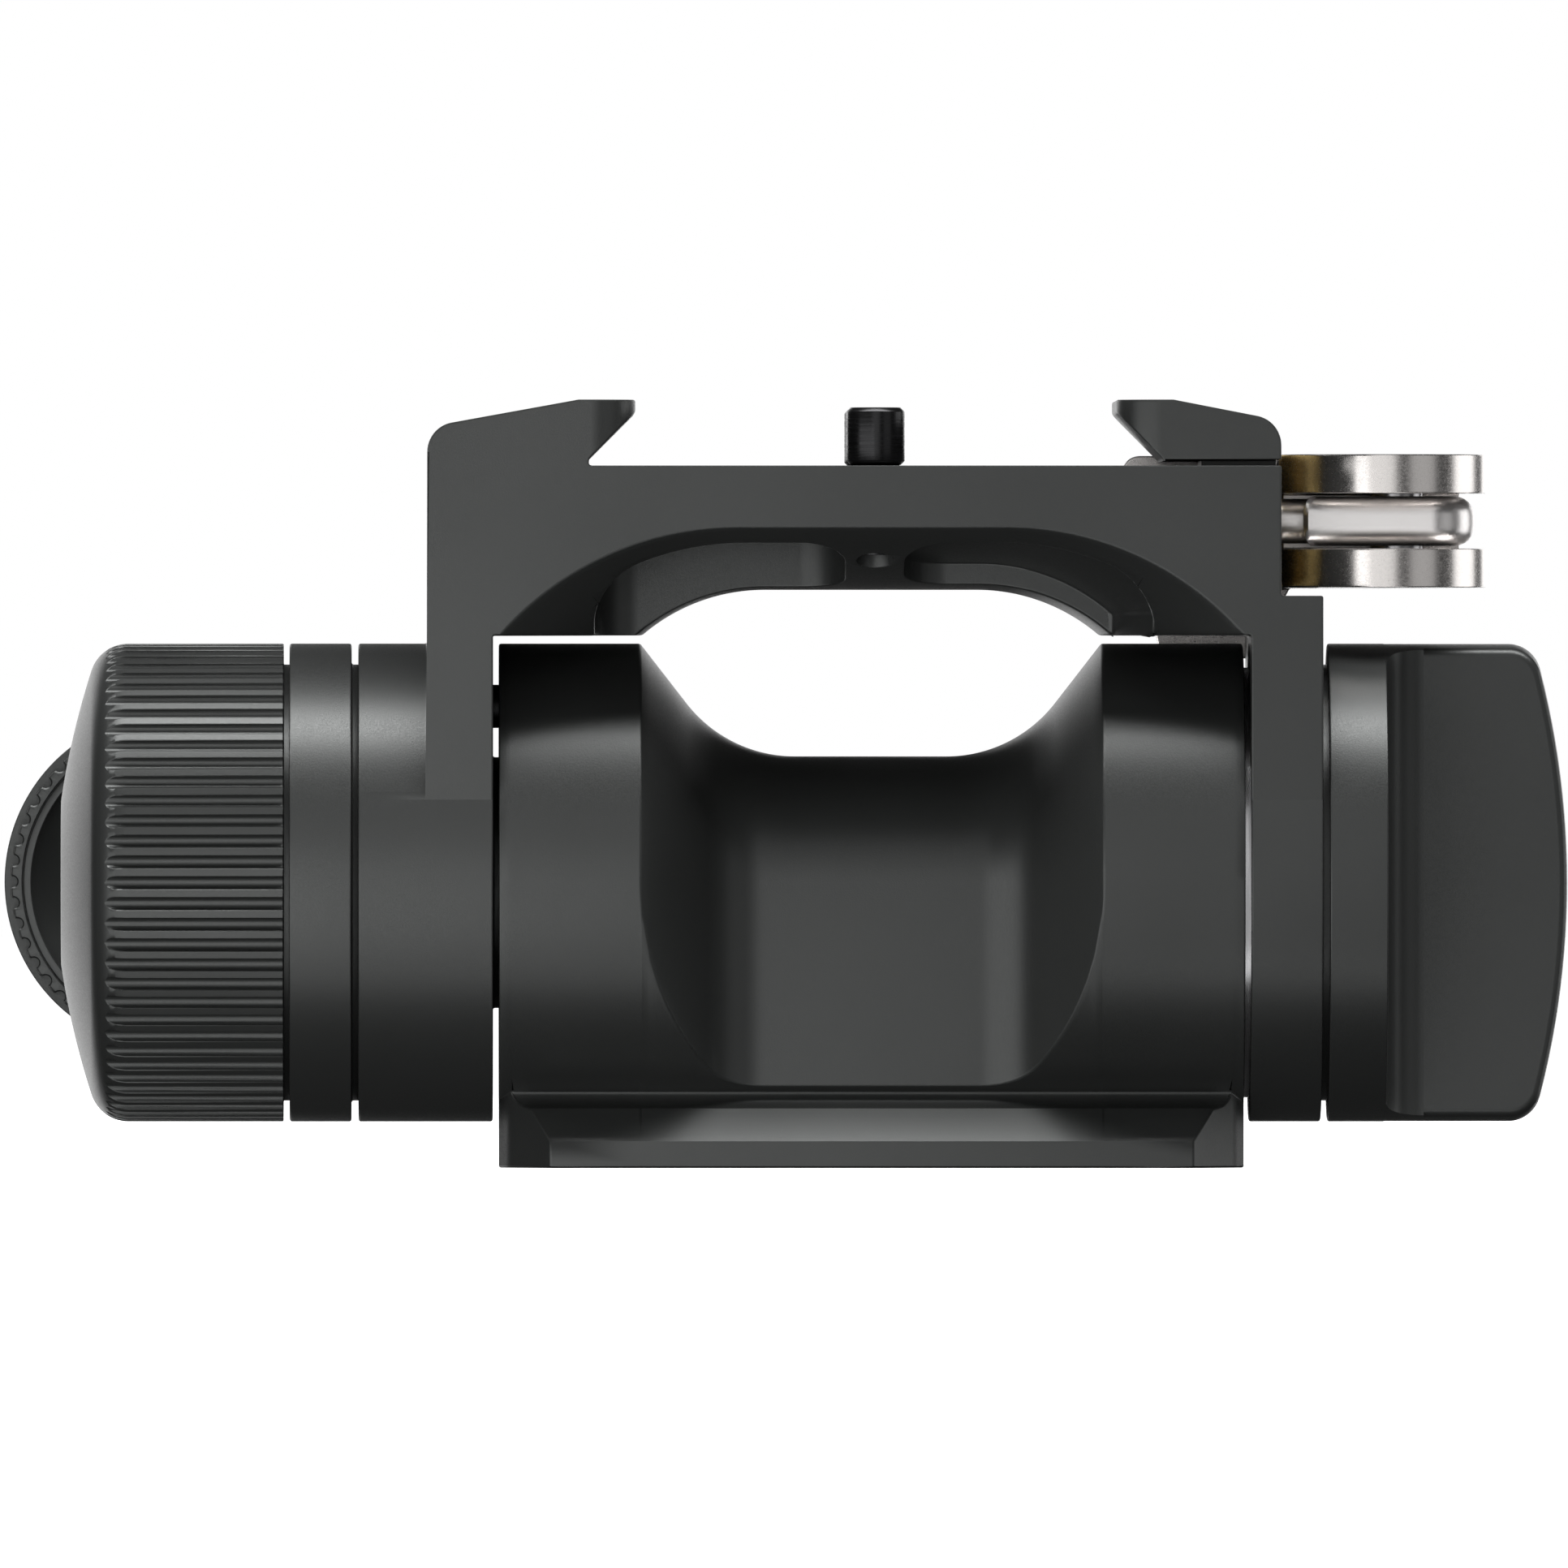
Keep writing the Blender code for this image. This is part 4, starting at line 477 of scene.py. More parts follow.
class Recipe:
    """A Geometry Nodes tree under construction, with named inputs for its sizes."""

    def __init__(self, name: str, numbers: dict[str, float | int], things: dict[str, str]) -> None:
        """Starts the tree.

        Args:
            name: the tree's name.
            numbers: a default for each named number; whole ones become whole-number inputs.
            things: the socket type for each named object, vector or material.
        """
        self.tree = bpy.data.node_groups.new(name, "GeometryNodeTree")
        face = self.tree.interface
        face.new_socket("Geometry", in_out="INPUT", socket_type="NodeSocketGeometry")
        for key, value in numbers.items():
            kind = "NodeSocketInt" if isinstance(value, int) else "NodeSocketFloat"
            face.new_socket(key, in_out="INPUT", socket_type=kind).default_value = value
        for key, kind in things.items():
            face.new_socket(key, in_out="INPUT", socket_type=kind)
        face.new_socket("Geometry", in_out="OUTPUT", socket_type="NodeSocketGeometry")
        self.given = self.tree.nodes.new("NodeGroupInput")
        self.result = self.tree.nodes.new("NodeGroupOutput")

    def node(self, kind: str, settings: dict[str, object] | None = None,
             inputs: dict[int | str, object] | None = None) -> bpy.types.Node:
        """Adds a node to the recipe's tree and returns it."""
        return add_node(self.tree, kind, settings, inputs)

    def math(self, operation: str, first: object, second: object) -> bpy.types.NodeSocket:
        """Adds a sum of two numbers and returns its output."""
        made = self.node("ShaderNodeMath", {"operation": operation}, {0: first, 1: second})
        return made.outputs[0]

    def finish(self, geometry: bpy.types.NodeSocket) -> bpy.types.NodeTree:
        """Ends the tree in Realize Instances and Set Material.

        Args:
            geometry: what the tree has made.

        Returns:
            The tree.
        """
        real = self.node("GeometryNodeRealizeInstances", inputs={0: geometry})
        dressed = self.node("GeometryNodeSetMaterial", inputs={
            "Geometry": real.outputs[0], "Material": self.given.outputs["Finish"]})
        self.tree.links.new(dressed.outputs[0], self.result.inputs[0])
        return self.tree


def ring_copies(recipe: Recipe) -> bpy.types.NodeSocket:
    """Copies the named tool in even steps around the X axis.

    Args:
        recipe: a tree with the inputs Tool, Count and Start.

    Returns:
        The realized copies.
    """
    given = recipe.given.outputs
    points = recipe.node("GeometryNodePoints", inputs={"Count": given["Count"]})
    index = recipe.node("GeometryNodeInputIndex").outputs[0]
    step = recipe.math("DIVIDE", 2 * math.pi, given["Count"])
    angle = recipe.math("ADD", recipe.math("MULTIPLY", index, step), given["Start"])
    turn = recipe.node("ShaderNodeCombineXYZ", inputs={"X": angle})
    tool = recipe.node("GeometryNodeObjectInfo", inputs={"Object": given["Tool"]})
    copies = recipe.node("GeometryNodeInstanceOnPoints", inputs={
        "Points": points.outputs[0], "Instance": tool.outputs["Geometry"],
        "Rotation": turn.outputs[0]})
    return recipe.node("GeometryNodeRealizeInstances", inputs={0: copies.outputs[0]}).outputs[0]


def make_ring_cutter() -> bpy.types.NodeTree:
    """A tree that cuts the blank with a ring of tools, such as the grooves of a knurl."""
    recipe = Recipe("ring_cutter", {"Count": 72, "Start": 0.0},
                    {"Tool": "NodeSocketObject", "Finish": "NodeSocketMaterial"})
    cut = recipe.node("GeometryNodeMeshBoolean", {"operation": "DIFFERENCE", "solver": "EXACT"},
                      {"Mesh 1": recipe.given.outputs["Geometry"], "Mesh 2": ring_copies(recipe)})
    return recipe.finish(cut.outputs[0])


def make_ring_of() -> bpy.types.NodeTree:
    """A tree that sets the same piece out in a ring, such as the screws of a flange."""
    recipe = Recipe("ring_of", {"Count": 3, "Start": 0.0},
                    {"Tool": "NodeSocketObject", "Finish": "NodeSocketMaterial"})
    return recipe.finish(ring_copies(recipe))


def make_row_of() -> bpy.types.NodeTree:
    """A tree that sets the same piece out in a straight row, such as a pair of pins."""
    recipe = Recipe("row_of", {"Count": 2},
                    {"First": "NodeSocketVector", "Step": "NodeSocketVector",
                     "Tool": "NodeSocketObject", "Finish": "NodeSocketMaterial"})
    given = recipe.given.outputs
    line = recipe.node("GeometryNodeMeshLine", inputs={
        "Count": given["Count"], "Start Location": given["First"], "Offset": given["Step"]})
    tool = recipe.node("GeometryNodeObjectInfo", inputs={"Object": given["Tool"]})
    copies = recipe.node("GeometryNodeInstanceOnPoints", inputs={
        "Points": line.outputs[0], "Instance": tool.outputs["Geometry"]})
    return recipe.finish(copies.outputs[0])


def make_coil() -> bpy.types.NodeTree:
    """A tree that winds a closed coil spring along the X axis."""
    recipe = Recipe("coil", {"Turns": 5.0, "Radius": MM, "Wire": MM / 4, "Length": 5 * MM},
                    {"Finish": "NodeSocketMaterial"})
    given = recipe.given.outputs
    spiral = recipe.node("GeometryNodeCurveSpiral", inputs={
        "Resolution": 32, "Rotations": given["Turns"], "Start Radius": given["Radius"],
        "End Radius": given["Radius"], "Height": given["Length"]})
    wire = recipe.node("GeometryNodeCurvePrimitiveCircle", inputs={
        "Resolution": 12, "Radius": given["Wire"]})
    swept = recipe.node("GeometryNodeCurveToMesh", inputs={
        "Curve": spiral.outputs[0], "Profile Curve": wire.outputs[0], "Fill Caps": True})
    laid = recipe.node("GeometryNodeTransform", inputs={
        "Geometry": swept.outputs[0], "Rotation": (0.0, math.pi / 2, 0.0)})
    return recipe.finish(laid.outputs[0])


# Finishes ---------------------------------------------------------------------------------
class Grain(Enum):
    """How a surface was worked, as the stretch of its fine pattern along X, Y and Z."""

    BLASTED = (1.0, 1.0, 1.0)
    TURNED_ABOUT_X = (1.0, 0.03, 0.03)
    TURNED_ABOUT_Y = (0.03, 1.0, 0.03)
    TURNED_ABOUT_Z = (0.03, 0.03, 1.0)
    MILLED_ALONG_X = (0.03, 1.0, 1.0)


@dataclass(frozen=True)
class Finish:
    """A surface finish, with the fine pattern that its making leaves.

    Attributes:
        slot: the record's material slot, which is carried along but not used here.
        name: the material's name.
        colour: its main colour.
        shade: the colour that it drifts to in large soft patches.
        metallic: how metallic it is.
        roughness: its finest and coarsest roughness.
        grain: how the surface was worked.
        pitch: how many grains there are in a metre.
        relief: the height of the grain.
        patches: how many patches of the two colours there are in a metre.
    """

    slot: str
    name: str
    colour: tuple[float, float, float]
    shade: tuple[float, float, float]
    metallic: float
    roughness: tuple[float, float]
    grain: Grain = Grain.BLASTED
    pitch: float = 7000.0
    relief: float = 0.004 * MM
    patches: float = 90.0

    def material(self) -> bpy.types.Material:
        """The finish as a node material, made once and then shared."""
        made = bpy.data.materials.get(self.name)
        if made is not None:
            return made
        made = bpy.data.materials.new(self.name)
        made.use_nodes = True
        tree = made.node_tree
        where = add_node(tree, "ShaderNodeTexCoord").outputs["Object"]
        stretched = add_node(tree, "ShaderNodeMapping", inputs={
            "Vector": where, "Scale": self.grain.value}).outputs["Vector"]
        fine = add_node(tree, "ShaderNodeTexNoise", inputs={
            "Vector": stretched, "Scale": self.pitch, "Detail": 2.0}).outputs["Fac"]
        broad = add_node(tree, "ShaderNodeTexNoise", inputs={
            "Vector": where, "Scale": self.patches, "Detail": 3.0}).outputs["Fac"]
        colours = add_node(tree, "ShaderNodeMix", {"data_type": "RGBA"}, {
            "Factor": broad, "A": (*self.colour, 1.0), "B": (*self.shade, 1.0)})
        gloss = add_node(tree, "ShaderNodeMapRange", inputs={
            "Value": fine, "From Min": 0.3, "From Max": 0.7,
            "To Min": self.roughness[0], "To Max": self.roughness[1]})
        bump = add_node(tree, "ShaderNodeBump", inputs={
            "Height": fine, "Strength": 1.0, "Distance": self.relief})
        feed(tree, tree.nodes["Principled BSDF"], {
            "Base Color": colours.outputs["Result"], "Metallic": self.metallic,
            "Roughness": gloss.outputs["Result"], "Normal": bump.outputs["Normal"]})
        return made

    def worked(self, grain: Grain) -> "Finish":
        """The same finish on a surface that was worked another way."""
        name = self.name + "_" + grain.name.lower()
        values = {key: getattr(self, key) for key in self.__dataclass_fields__}
        return Finish(**{**values, "name": name, "grain": grain})


BLACK_ANODISED = Finish("black_anodised", "black_anodised_alloy", (0.050, 0.052, 0.051),
                        (0.040, 0.042, 0.041), 0.60, (0.34, 0.44), pitch=9000.0, relief=0.005 * MM)
POLISHED_STEEL = Finish("polished_steel", "polished_lever_steel", (0.74, 0.71, 0.69),
                        (0.66, 0.63, 0.61), 1.0, (0.20, 0.28), relief=0.0012 * MM)
SATIN_STEEL = Finish("polished_steel", "satin_tie_rod_steel", (0.80, 0.78, 0.77),
                     (0.72, 0.70, 0.69), 1.0, (0.30, 0.38), relief=0.0012 * MM)
PLAIN_STEEL = Finish("plain_steel", "plain_ground_steel", (0.56, 0.56, 0.57),
                     (0.47, 0.47, 0.48), 1.0, (0.22, 0.36), Grain.TURNED_ABOUT_X)
BLACK_STEEL = Finish("blackened_steel", "blackened_screw_steel", (0.030, 0.030, 0.031),
                     (0.018, 0.018, 0.019), 0.85, (0.20, 0.34), Grain.TURNED_ABOUT_Z)
BRONZE = Finish("bronze", "bearing_bronze", (0.50, 0.38, 0.16), (0.42, 0.31, 0.12), 1.0,
                (0.22, 0.34))
GRIP_RUBBER = Finish("grip_rubber", "moulded_grip_rubber", (0.016, 0.016, 0.017),
                     (0.010, 0.010, 0.011), 0.0, (0.62, 0.80), pitch=3500.0, relief=0.015 * MM)


# Shared plan ------------------------------------------------------------------------------
def centre_of(node: str) -> Vector:
    """The middle of a node's box."""
    low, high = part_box(node)
    return (low + high) / 2


@dataclass(frozen=True)
class Plan:
    """Sizes and places that several sub-assemblies share.

    Attributes:
        axis_height: the tilt axis above the foot's bottom face.
        barrel: radius of the drum, ears, cap, hub and knob.
        half_length: half the drum's length.
        left_ear: the left ear's outer face.
        right_ear: the right ear's outer face.
        side: the right side of the bridge and of the moving jaw.
        jaw_top: top of both jaws.
        rod_height: the tie rod's centre.
        lever_pin: the lever pin's place along the axis.
        hub_place: the pan handle's place along the axis.
        hub_end: the hub's outer face.
        wing_end: the knob's outer end.
        grip_front: the collar's front face.
        gap: space left between two pieces that fit together.
        running_gap: space left beside the drum and under the moving jaw.
        groove: width of the dividing grooves in the barrel.
        groove_radius: radius at the bottom of those grooves.
        lap: how far a neck reaches into its neighbour.
        bore: radius of the bore around the axle.
        bush: radius of the seats for the bushes.
        edge: width of the broken edges.
        clearance: from the barrel to the bridge's underside.
        jaw_height: height of the jaws above the clamp floor.
        yoke_step: how far the yoke's faces stand behind the barrel's front.
        tilt_stop: radius of the tilt stop pin, and its distance from the axis.
        tap: radius of the small tapped holes.
        past: how far a cutter runs past the face that it starts from.
    """

    axis_height: float
    barrel: float
    half_length: float
    left_ear: float
    right_ear: float
    side: float
    jaw_top: float
    rod_height: float
    lever_pin: float
    hub_place: float
    hub_end: float
    wing_end: float
    grip_front: float
    gap: float = 0.3 * MM
    running_gap: float = 0.4 * MM
    groove: float = 0.45 * MM
    groove_radius: float = 14.6 * MM
    lap: float = 0.7 * MM
    bore: float = 5.3 * MM
    bush: float = 7.0 * MM
    edge: float = 0.14 * MM
    clearance: float = 0.55 * MM
    jaw_height: float = 4.4 * MM
    yoke_step: float = 1.0 * MM
    tilt_stop: Point = (1.45 * MM, 11.8 * MM)
    tap: float = 1.1 * MM
    past: float = MM

    @classmethod
    def measured(cls) -> "Plan":
        """Reads the shared places from the frame's boxes."""
        height = centre_of("thrust_washer").z
        cap_low, cap_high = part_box("bearing_cap")
        yoke_low, yoke_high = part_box("yoke_bracket")
        return cls(axis_height=height, barrel=(cap_high.z - cap_low.z) / 2,
                   half_length=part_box("tilt_base")[1].x, left_ear=yoke_low.x, right_ear=yoke_high.x,
                   side=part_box("moving_jaw")[1].x, jaw_top=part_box("moving_jaw")[1].z - height,
                   rod_height=centre_of("guide_pin_front").z - height,
                   lever_pin=centre_of("lever_pin").x, hub_place=centre_of("handle_rod").x,
                   hub_end=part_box("handle_hub")[0].x, wing_end=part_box("lock_knob")[1].x,
                   grip_front=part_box("grip_collar")[0].y)

    @property
    def place(self) -> Matrix:
        """The move from the middle of the tilt axis to the row's frame."""
        return Matrix.Translation((0.0, 0.0, self.axis_height))

    @property
    def ear_inner(self) -> float:
        """The ears' inner faces."""
        return self.half_length + self.running_gap

    @property
    def underside(self) -> float:
        """The bridge's underside."""
        return self.barrel + self.clearance

    @property
    def clamp_floor(self) -> float:
        """The face that the plate lies on."""
        return self.jaw_top - self.jaw_height

    @property
    def yoke_half_depth(self) -> float:
        """Half the yoke's size from front to back."""
        return self.barrel - self.yoke_step

    @property
    def rod_centre(self) -> Place:
        """The tie rod's axis on the middle plane."""
        return 0.0, 0.0, self.rod_height

    @property
    def hub_axis(self) -> Matrix:
        """Turns a shape made along X to lie along the pan handle."""
        return self.place @ Matrix.Translation((self.hub_place, 0.0, 0.0)) @ Axis.Y.value


# Tilt base --------------------------------------------------------------------------------
@dataclass
class TiltBase:
    """Drum and foot machined from one block, with the axle's fittings.

    Attributes:
        plan: the shared sizes.
        neck: radius of the neck that the saddle leaves around the axle.
        mouth: half the saddle's length at the drum's surface.
        slope: the saddle's side walls, in degrees from the axis.
        fillet: radius between neck and side wall over the top, and at the front.
        rim: round along the saddle's mouth.
        foot_half_width: half the foot from front to back.
        lip: height of the foot's upright edge.
        slope_run: width of the sloping flank above that edge.
        root: where the flank meets the barrel, from the middle plane.
        hollow: how far the flank's curve is drawn out and down at the barrel.
        nose: length and width cut off the foot's four corners.
        boss: radius and depth of the seat for the ear's boss.
        washer: outer radius of the thrust washer.
        washer_depth: how deep the washer sits in the drum, and in the ear.
        stop_depth: depth of the track that the tilt stop pin travels in.
        screw_inset: from the drum's end face to a set screw.
        screw: the set screws' radius.
        screw_start: how far the set screws stand inside the foot.
        socket: size across flats and depth of their sockets.
    """

    plan: Plan
    neck: float = 8.45 * MM
    mouth: float = 15.43 * MM
    slope: float = 52.2
    fillet: Point = (9.2 * MM, 4.6 * MM)
    rim: float = 0.3 * MM
    foot_half_width: float = 12.0 * MM
    lip: float = 1.8 * MM
    slope_run: float = 2.16 * MM
    root: float = 7.79 * MM
    hollow: Point = (0.32 * MM, 0.95 * MM)
    nose: Point = (3.4 * MM, 5.5 * MM)
    boss: Point = (8.7 * MM, 2.0 * MM)
    washer: float = 14.4 * MM
    washer_depth: float = 1.0 * MM
    stop_depth: float = 3.2 * MM
    screw_inset: float = 5.2 * MM
    screw: float = 2.0 * MM
    screw_start: float = 2.0 * MM
    socket: Point = (1.8 * MM, 1.6 * MM)

    def build(self) -> None:
        """Makes every piece that stays with the base."""
        self.make_block()
        self.make_washer()
        self.make_set_screws()

    def saddle(self) -> Outline:
        """The neck's radius along the drum.

        Returns:
            (along, radius) points from the middle of the drum to its end.
        """
        plan = self.plan
        corner = self.mouth - (plan.barrel - self.neck) / math.tan(math.radians(self.slope))
        path = [(0.0, self.neck), (corner, self.neck), (self.mouth, plan.barrel),
                (plan.half_length, plan.barrel)]
        bend = round_corner(path[0], path[1], path[2], self.fillet[0], 30)
        rim = round_corner(path[1], path[2], path[3], self.rim, 4)
        wall = [(bend[-1][0] + (rim[0][0] - bend[-1][0]) * step / 6,
                 bend[-1][1] + (rim[0][1] - bend[-1][1]) * step / 6) for step in range(1, 6)]
        noses = [plan.half_length - self.nose[0] * (1.0 - (self.foot_half_width - y) / self.nose[1])
                 for y, _ in self.flank()]
        return [path[0]] + bend + wall + rim + [(along, plan.barrel) for along in noses] + [path[3]]

    def front(self, along: float, radius: float) -> float:
        """The neck's half width at the front, where its fillet is smaller than over the top.

        Args:
            along: the place along the axis.
            radius: the saddle's radius there.

        Returns:
            The half width, never more than the radius.
        """
        slope = math.radians(self.slope)
        size = self.fillet[1]
        corner = self.mouth - (self.plan.barrel - self.neck) / math.tan(slope)
        past = abs(along) - corner + size * math.tan(slope / 2)
        if past <= 0.0:
            return min(radius, self.neck)
        if past < size * math.sin(slope):
            return min(radius, self.neck + size - math.sqrt(size ** 2 - past ** 2))
        return min(radius, self.neck + (abs(along) - corner) * math.tan(slope))

    def flank(self) -> Outline:
        """The foot's upper side, from its upright edge to the barrel, as (y, z) points."""
        plan = self.plan
        edge = (self.foot_half_width, self.lip - plan.axis_height)
        top = (edge[0] - self.slope_run, edge[1] + self.slope_run)
        foot = (self.root, -math.sqrt(plan.barrel ** 2 - self.root ** 2))
        pull = (foot[0] + self.hollow[0], foot[1] - self.hollow[1])
        points = [edge, top]
        for step in range(1, 9):
            share = step / 8
            points.append(tuple((1 - share) ** 2 * top[way] + 2 * share * (1 - share) * pull[way]
                                + share ** 2 * foot[way] for way in range(2)))
        return points

    def section(self, along: float, radius: float) -> list[Place]:
        """The block's outline across the axis at one place.

        Args:
            along: the place along the axis.
            radius: the saddle's radius there.

        Returns:
            The closed outline, mirrored from front to back.
        """
        barrel = self.plan.barrel
        past_nose = max(0.0, abs(along) - self.plan.half_length + self.nose[0])
        half_width = self.foot_half_width - self.nose[1] * past_nose / self.nose[0]
        flank = self.flank()
        cut_height = -math.sqrt(barrel ** 2 - min(half_width, self.root) ** 2)
        for (y, z), (next_y, next_z) in zip(flank, flank[1:]):
            if next_y <= half_width <= y:
                cut_height = next_z + (z - next_z) * (half_width - next_y) / (y - next_y)
                break
        bottom = -self.plan.axis_height
        edge = self.plan.edge
        half = [(half_width - edge, bottom), (half_width, bottom + edge)]
        half += [(y, z) if y < half_width else (half_width, cut_height) for y, z in flank]
        wide = self.front(along, radius)
        start = math.asin(min(self.root, half_width) / barrel)
        end = math.asin(min(1.0, wide / barrel))
        for step in range(11):
            turn = start + (end - start) * step / 10
            half.append((barrel * math.sin(turn), -barrel * math.cos(turn)))
        low = -math.sqrt(max(0.0, barrel ** 2 - wide ** 2))
        half += [(wide, low * (1 - step / 6)) for step in range(1, 7)]
        for step in range(1, 45):
            turn = math.pi / 2 * step / 44
            reach = wide + (radius - wide) * math.sin(turn) ** 2
            half.append((reach * math.cos(turn), reach * math.sin(turn)))
        whole = half + [(-y, z) for y, z in half[-2::-1]]
        return [(along, y, z) for y, z in whole]

    def make_block(self) -> None:
        """Makes the drum and foot with its bore, stop track and screw holes."""
        plan = self.plan
        saddle = self.saddle()
        stations = [(-along, radius) for along, radius in saddle[:0:-1]] + saddle
        block = loft([self.section(along, radius) for along, radius in stations])
        left = -plan.half_length
        past = plan.past
        bore = lathe(stepped(left - past, (left + self.boss[1], self.boss[0]),
                             (-left - self.washer_depth, plan.bore),
                             (-left + past, self.washer + plan.gap)))
        pin, distance = plan.tilt_stop
        reach = pin + plan.gap
        spare = math.degrees((pin + 2 * plan.gap) / (distance - reach))
        track = arc((0.0, 0.0), distance + reach, -spare, 180 + spare, 48)
        track += arc((0.0, 0.0), distance - reach, 180 + spare, -spare, 40)
        block.cut(bore, extrude(track, Axis.X, left - past, left + self.stop_depth))
        for side in (-1, 1):
            centre = (side * (plan.half_length - self.screw_inset), 0.0, 0.0)
            block.cut(rod(-plan.axis_height - past, -0.95 * plan.bore, self.screw + plan.gap,
                          Axis.Z, centre))
        block.soften(plan.edge, 50.0)
        block.deliver("drum_and_foot", "base", ["tilt_base"], BLACK_ANODISED, plan.place)

    def make_washer(self) -> None:
        """Makes the bright thrust washer in the gap beside the right ear."""
        plan = self.plan
        start = plan.half_length - self.washer_depth + plan.gap
        end = plan.ear_inner + self.washer_depth - plan.gap
        ring = tube(start, end, plan.bore, self.washer, 160).soften(0.1 * MM)
        ring.deliver("bright_thrust_washer", "base", ["thrust_washer"], PLAIN_STEEL, plan.place)

    def make_set_screws(self) -> None:
        """Makes the two socket set screws that lock the axle, set out in a row."""
        plan = self.plan
        low = -plan.axis_height + self.screw_start
        high = -plan.bore
        across, depth = self.socket
        screw = socket_screw(stepped(low, (high, self.screw)), 48, across,
                             (low - plan.past, low + depth), 0.1 * MM, Axis.Z)
        first = self.screw_inset - plan.half_length
        pair = Blank(bmesh.new()).recipe(make_row_of(), {
            "Count": 2, "First": (first, 0.0, 0.0), "Step": (-2 * first, 0.0, 0.0), "Tool": screw})
        pair.deliver("axle_set_screws", "base", ["axle_set_screw_left", "axle_set_screw_right"],
                     BLACK_STEEL, plan.place)


# Yoke -------------------------------------------------------------------------------------
@dataclass
class Yoke:
    """The U-shaped bracket: two round ears, an arched bridge and the fixed jaw.

    Attributes:
        plan: the shared sizes.
        left_arm: thickness of the left arm.
        shoulder: the right arm's shoulder above the underside.
        plate: width of the clamp floor between the jaws.
        plate_centre: its middle.
        overhang: reach of a jaw over the plate's edge.
        relief: height of the relief in the corner under a jaw.
        jaw_flat: flat top of a jaw behind its tip.
        jaw_round: round in plan of a jaw's tip.
        jaw_corner: round of a jaw's outer corner, and its centre's height on the fixed jaw.
        arch_rise: the arch's height at the faces and in the middle.
        arch_flat: half the arch's flat top at the faces and in the middle.
        arch_half: half the arch's width at the faces and in the middle.
        pocket_x: where each pocket starts and ends along the axis, left and right.
        pocket_y: where the pockets start, left and right, from the middle plane.
        pocket_end: where both end, near the faces.
        pocket_roof: material left above the deep pocket.
        pocket_skin: depth of the shallow pocket.
        pocket_corner: corner radius of both.
        slot: inner wall and half width of the jaw's slot.
        boss: radius and length of the left ear's boss.
        bearing: radius and depth of the thrust bearing's seat.
        nut_seat: radius and depth of the tie rod nut's recess.
        rod_hole: radius of the tie rod's hole.
        washer_seat: radius and depth of the thrust washer's seat.
        tilt_stop_hole: radius and depth of the tilt stop pin's hole.
        cap_screw_hole: radius of the circle of the cap's screws, and depth of their holes.
        stop_screw_hole: radius of the holes for the stop pins' screws.
        guide_hole: radius of a guide pin's hole, and its depth below the spring.
        guide_pin: radius of a guide pin, its depth below the spring and its inset at the side.
        coil: turns, radius and wire radius of a spring.
        spring_pocket: radius and depth of a spring's pocket.
        guide_spacing: distance between the guide pins.
        stop_pin: radius, height and spacing of the stop pins.
        stud: a stop pin's stud, as a share of the pin's radius, and its depth.
    """

    plan: Plan
    left_arm: float = 4.4 * MM
    shoulder: float = 2.61 * MM
    plate: float = 38.3 * MM
    plate_centre: float = 0.25 * MM
    overhang: float = 3.1 * MM
    relief: float = 0.45 * MM
    jaw_flat: float = 3.8 * MM
    jaw_round: float = 3.0 * MM
    jaw_corner: Point = (2.0 * MM, 0.9 * MM)
    arch_rise: Point = (7.15 * MM, 3.05 * MM)
    arch_flat: Point = (9.0 * MM, 7.1 * MM)
    arch_half: Point = (24.8 * MM, 15.3 * MM)
    pocket_x: tuple[Point, Point] = ((-18.5 * MM, -1.8 * MM), (2.2 * MM, 18.8 * MM))
    pocket_y: Point = (3.3 * MM, 4.6 * MM)
    pocket_end: float = 13.05 * MM
    pocket_roof: float = 2.0 * MM
    pocket_skin: float = 1.4 * MM
    pocket_corner: float = 3.0 * MM
    slot: Point = (21.7 * MM, 11.5 * MM)
    boss: Point = (8.4 * MM, 2.0 * MM)
    bearing: Point = (11.25 * MM, 3.3 * MM)
    nut_seat: Point = (4.0 * MM, 3.0 * MM)
    rod_hole: float = 1.8 * MM
    washer_seat: Point = (14.7 * MM, 1.0 * MM)
    tilt_stop_hole: Point = (1.75 * MM, 3.5 * MM)
    cap_screw_hole: Point = (12.925 * MM, 4.9 * MM)
    stop_screw_hole: float = 1.25 * MM
    guide_hole: Point = (1.5 * MM, 3.8 * MM)
    guide_pin: Place = (1.2 * MM, 3.5 * MM, 1.6 * MM)
    coil: Place = (4.0, 1.88 * MM, 0.28 * MM)
    spring_pocket: Point = (2.5 * MM, 4.5 * MM)
    guide_spacing: float = 17.2 * MM
    stop_pin: Place = (1.95 * MM, 3.9 * MM, 20.6 * MM)
    stud: Point = (0.75, 3.4 * MM)

    def build(self) -> None:
        """Makes the bracket and the pins, screws and springs that it holds."""
        self.make_bracket()
        self.make_stop_pins()
        self.make_tilt_stop()
        self.make_guides()

